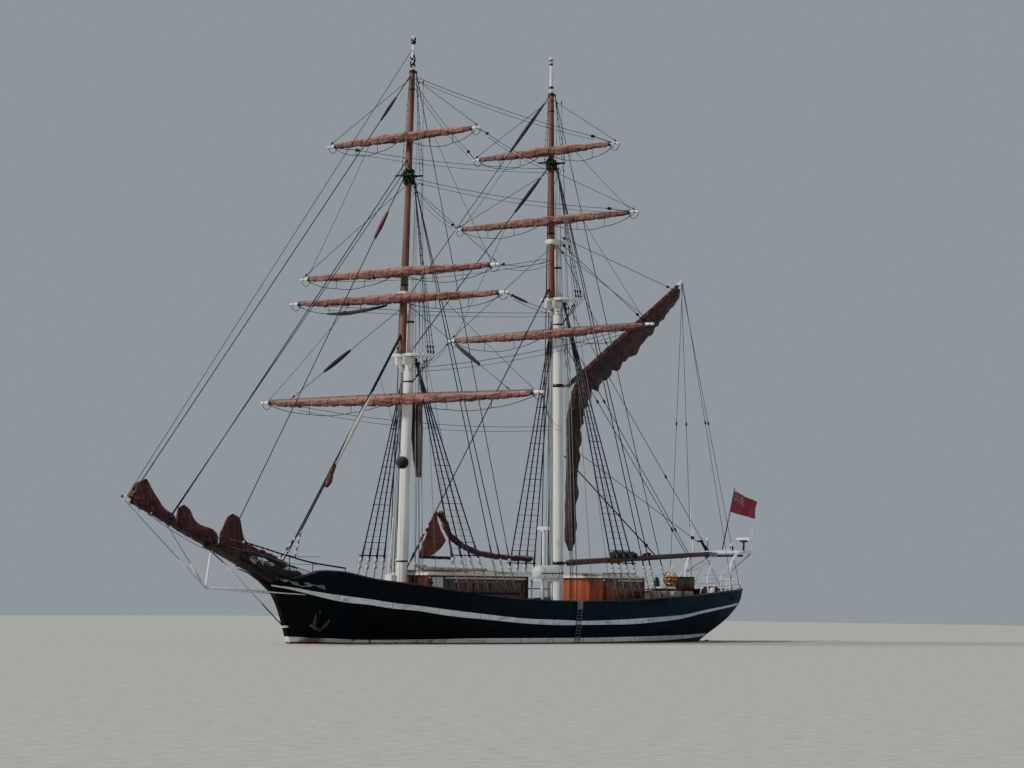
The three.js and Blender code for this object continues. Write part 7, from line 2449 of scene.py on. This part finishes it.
def add_deck_radar():
    """A short white scanner on a thin post with a lamp."""
    piece = Piece("deck_radar_skin")
    low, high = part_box("deck_radar")
    x = (low.x + high.x) / 2
    top = high.z
    foot = deck_z(x) if low.z < 0.7 else low.z
    piece.tube([(x, 0, foot), (x, 0, top - 0.09)], 0.024, "white_spar", 12)
    piece.block((x - 0.06, -0.150, top - 0.085), (x + 0.06, 0.150, top), "radar_white", 0.014)
    piece.block((x - 0.045, -0.05, top - 0.125), (x + 0.045, 0.05, top - 0.085), "radar_white", 0.010)
    piece.done(SHIP, "white_paint", ("deck_radar",))


def add_windlass():
    """Barrel, warping ends, pawl post and cheeks of the windlass, with chain."""
    piece = Piece("windlass_skin")
    x, half, r, z = WINDLASS["x"], WINDLASS["half"], WINDLASS["radius"], WINDLASS["z"]
    low = deck_z(x) - 0.004
    profile = [(s, r * share) for s, share in WINDLASS_END]
    profile += [(2 * half - s, radius) for s, radius in reversed(profile)]
    piece.turned((x, -half, z), Y_AXIS, profile, "dark_wood", 20)
    for y in (-0.20, 0.20):
        piece.block((x - 0.13, y - 0.03, low), (x + 0.12, y + 0.03, z + 0.13), "dark_wood", 0.02)
    piece.block((x + 0.04, -0.05, low), (x + 0.14, 0.05, z + 0.16), "dark_wood", 0.015)
    for y in (-0.28, 0.28):
        for k in range(9):
            centre = (x + 0.10 + 0.052 * k, y, z - 0.02 - 0.006 * k if k < 3 else deck_z(x) + 0.05)
            piece.ring(centre, 0.020, 0.008, "rusty_iron", Y_AXIS if k % 2 else Z_AXIS, 5, 10)
    piece.done(SHIP, "rusty_iron", ("windlass",))


def add_wheel():
    """The steering wheel: pale rim, turned spokes with handles and a brass hub."""
    piece = Piece("steering_wheel_skin")
    x, z, rim, handle, hub = (WHEEL[key] for key in ("x", "z", "rim", "handle", "hub"))
    piece.ring((x, 0, z), rim, 0.017, "teak", X_AXIS, 8, 40)
    for shift in (0.012, -0.012):
        piece.ring((x + shift, 0, z), rim - 0.002, 0.008, "brass", X_AXIS, 8, 40)
    piece.ring((x, 0, z), 0.105, 0.013, "brass", X_AXIS, 8, 32)
    boss = [(0, 0.02), (0.01, 0.034), (0.025, hub), (0.065, hub), (0.08, 0.034), (0.09, 0.02)]
    piece.turned((x - 0.045, 0, z), X_AXIS, boss, "brass", 18)
    spoke = [(hub * 0.8, 0.011), (0.07, 0.008), (0.10, 0.012), (0.13, 0.008), (rim, 0.011)]
    spoke += [(rim + 0.018, 0.007), (rim + 0.028, 0.011), (handle - 0.004, 0.008), (handle, 0.004)]
    for c, s in circle(WHEEL["spokes"]):
        piece.turned((x, 0, z), (0, c, s), spoke, "teak", 10)
    piece.done("wheel", "varnished_spar", ("steering_wheel",))


def add_gantry():
    """White bent posts with the beam and the thick platform, and what stands on it."""
    piece = Piece("gantry_skin")
    (foot_x, foot_y), r = GANTRY["foot"], GANTRY["radius"]
    for side in (1, -1):
        foot = Vector((foot_x, side * foot_y, deck_z(foot_x) - 0.004))
        piece.tube([foot] + smooth_path(on_side(GANTRY["bend"], side), 8), r, "white_spar", 16)
        piece.wire(foot, foot + Z_AXIS * 0.022, 0.052, "white_paint", 16)
        piece.wire(*on_side(GANTRY["brace"], side), 0.013, "steel", 8)
        for z in (1.30, 1.62):
            base = (foot_x - 0.005, side * foot_y, z)
            piece.band(base, Z_AXIS, r, 0.032, 0.008, 16, 0.006, "white_spar")
    piece.block(*GANTRY["beam"], "black_iron", 0.008)
    add_platform(piece)
    add_gantry_gear(piece)
    piece.done(SHIP, "white_paint", ("gantry",))


def add_platform(piece):
    """The gantry's platform, with cut corners and a soft edge."""
    aft, fore, z, half, thick = (GANTRY[key] for key in ("aft", "fore", "z", "half", "thickness"))
    port = [(aft, half - 0.10), (aft + 0.10, half), (fore - 0.10, half), (fore, half - 0.10)]
    outline = [(x, -y) for x, y in reversed(port)] + port
    middle = (aft + fore) / 2
    rings = []
    for up, soft in ((0, 0.012), (0.012, 0), (thick - 0.012, 0), (thick, 0.012)):
        places = [(x - math.copysign(soft, x - middle), y + math.copysign(soft, y)) for x, y in outline]
        rings.append([Vector((*place, z + up)) for place in places])
    piece.loft(rings, "white_paint", smooth=False)


def add_gantry_gear(piece):
    """The radar, domes, lamps and aerials on the platform."""
    top = GANTRY["z"] + GANTRY["thickness"]
    x, y, half = (GANTRY_RADAR[key] for key in ("x", "y", "half"))
    low, high = top + GANTRY_RADAR["low"], top + GANTRY_RADAR["top"]
    piece.wire((x, y, top - 0.01), (x, y, low - 0.04), GANTRY_RADAR["foot"], "black_iron", 12)
    piece.block((x - 0.05, y - 0.10, low - 0.045), (x + 0.05, y + 0.10, low), "black_iron", 0.012)
    piece.block((x - 0.040, y - half, low), (x + 0.040, y + half, high), "radar_white", 0.014)
    for x, y, low, high, r in GANTRY_DOMES:
        tall = high - low
        profile = [(0, r * 0.50), (0.02, r * 0.95), (tall * 0.5, r)]
        profile += [(tall * 0.75, r * 0.86), (tall * 0.93, r * 0.5), (tall, r * 0.1)]
        piece.turned((x, y, low), Z_AXIS, profile, "radar_white", 20)
    for x, y, tall, radius, paint in GANTRY_POSTS:
        piece.wire((x, y, top - 0.005), (x, y, top + tall), radius, paint, 12)
    piece.ball(*GANTRY_BALL, "radar_white", sides=14)
    for x, y, low, high, radius in WHIPS:
        points = [(x, y, lerp(low, high, share)) for share in (0, 0.25, 1)]
        piece.tube(points, [radius, radius * 0.7, radius * 0.35], "white_spar", 7)


def add_flagstaff():
    """The pole that the flag flies from, with its round end."""
    staff = Piece("flagstaff")
    (x0, z0), (x1, z1), r = STAFF
    staff.tube([(x0, 0, z0), (x1, 0, z1)], [r, r * 0.75], "staff_paint", 10)
    staff.ball((x1, 0, z1 + 0.004), 0.018, "staff_paint", sides=12)
    staff.done(SHIP, "varnished_spar")


def add_stern_gear():
    """Stern rail, pipes, bottles, benches and lockers on the quarterdeck."""
    piece = Piece("stern_gear")
    for side in (1, -1):
        feet = [rail_point(x, side, 0.03, RAIL_THICKNESS - 0.004) for x in spread(-5.15, -8.02, 8)]
        tops = [foot + Z_AXIS * (0.235 if k else 0.10) for k, foot in enumerate(feet)]
        for foot, top in zip(feet, tops):
            piece.wire(foot, top, 0.011, "white_spar", 8)
        piece.tube(smooth_path(tops, 3), 0.011, "white_spar", 8)
        piece.tube(smooth_path([top - Z_AXIS * 0.11 for top in tops[1:]], 3), 0.006, "steel", 6)
        for points, radius in STERN_PIPES:
            piece.tube(smooth_path(on_side(points, side), 4), radius, "white_spar", 8)
    ends = [rail_point(-8.1, side, 0.03, 0.262) for side in (1, -1)]
    piece.wire(*ends, 0.011, "white_spar", 8)
    for x, y, z, r, tall, paint in STERN_BOTTLES:
        profile = [(0, r * 0.8), (0.012, r), (tall * 0.82, r), (tall * 0.93, r * 0.7), (tall, r * 0.25)]
        piece.turned((x, y, z), Z_AXIS, profile, paint, 16)
    add_boxes(piece, STERN_BOXES)
    piece.done(SHIP, "white_paint")


def add_wheel_box():
    """Side panels and the lid's edge on the steering gear's box."""
    piece = Piece("wheel_box_trims")
    fore, aft, half, top = (WHEEL_BOX[key] for key in ("fore", "aft", "half", "top"))
    for side in (1, -1):
        y = side * half
        for a, b in ((aft + 0.05, aft + 0.32), (aft + 0.38, fore - 0.05)):
            piece.block((a, y, 1.12), (b, y + side * 0.010, top - 0.06), "mahogany", 0.005)
        low = (aft, y - side * 0.002, top - 0.035)
        piece.block(low, (fore, y + side * 0.016, top - 0.002), "dark_wood", 0.005)
    piece.done(SHIP, "mahogany")


def add_thin_stays():
    """Lighter stays and preventers that only show as lines."""
    piece = Piece("thin_stays")
    for a, b, radius in THIN_STAYS:
        piece.wire(a, b, radius)
    piece.done(SHIP, "rigging")


def add_masthead_ball():
    """The black ball hung ahead of the fore mast on its line."""
    piece = Piece("anchor_ball")
    centre, radius = Vector(SIGNAL_BALL["at"]), SIGNAL_BALL["radius"]
    piece.ball(centre, radius, "black_canvas", sides=20)
    piece.wire(centre + Z_AXIS * radius, (4.44, 0.00, 5.82), 0.005)
    piece.wire(centre - Z_AXIS * radius, (4.06, 0.30, 1.05), 0.005)
    piece.done(SHIP, "rigging")


def paint_kept_nodes():
    """Material of each node that keeps its own shape."""
    for name, (paint, slot) in NODE_PAINTS.items():
        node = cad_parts[name]
        node.data.materials.clear()
        node.data.materials.append(material(paint))


def build_hull():
    add_hull_skin()
    add_backbone()
    add_side_stripe()
    add_bulwark()
    add_waterway()
    add_side_details()
    add_boarding_ladder()
    add_anchors()
    add_head_scroll()


def build_rig():
    for mast in MASTS:
        add_lower_mast(mast)
        add_top(mast)
        add_topmast(mast)
        for side in (1, -1):
            add_shrouds(mast, side)
    for seed, name in enumerate(YARDS):
        add_yard(name)
        add_furled_sail(name, seed + 3)
        add_footropes(name)
        add_lifts(name)
    add_gaff()
    add_boom()
    add_spanker_sail()
    add_upright_cloth("main_staysail_flap", STAYSAIL_FLAP, 0.034, 5.0, SHIP, "main_staysail", "flap_canvas")
    add_cloth_roll("main_staysail_roll", STAYSAIL_ROLL, "jib_canvas", SHIP)
    add_cloth_roll("main_staysail_foot", STAYSAIL_FOOT, "black_canvas", SHIP)
    add_cloth_roll("head_roll", HEAD_ROLL, "jib_canvas", SHIP)
    add_upright_cloth("fore_trysail_folds", TRYSAIL, 0.080, 9.0, SHIP, "fore_trysail", "dark_canvas")
    add_bowsprit()
    add_striker()
    for seed, name in enumerate(HEADSAILS):
        add_headsail(name, seed * 2.7 + 1)
    add_stays()
    add_thin_stays()
    add_sleeves()
    add_head_rigging()
    add_braces()
    add_sheets()
    add_halyards()
    add_gaff_rigging()
    add_masthead_ball()
    add_flag()


def build_deck():
    for name in HOUSES:
        add_house(name)
    add_house_gear()
    add_pin_rails()
    add_raft()
    add_deck_radar()
    add_windlass()
    add_wheel()
    add_wheel_box()
    add_gantry()
    add_flagstaff()
    add_stern_gear()


add_camera()
add_light()
add_floor()
paint_kept_nodes()
build_hull()
build_rig()
build_deck()
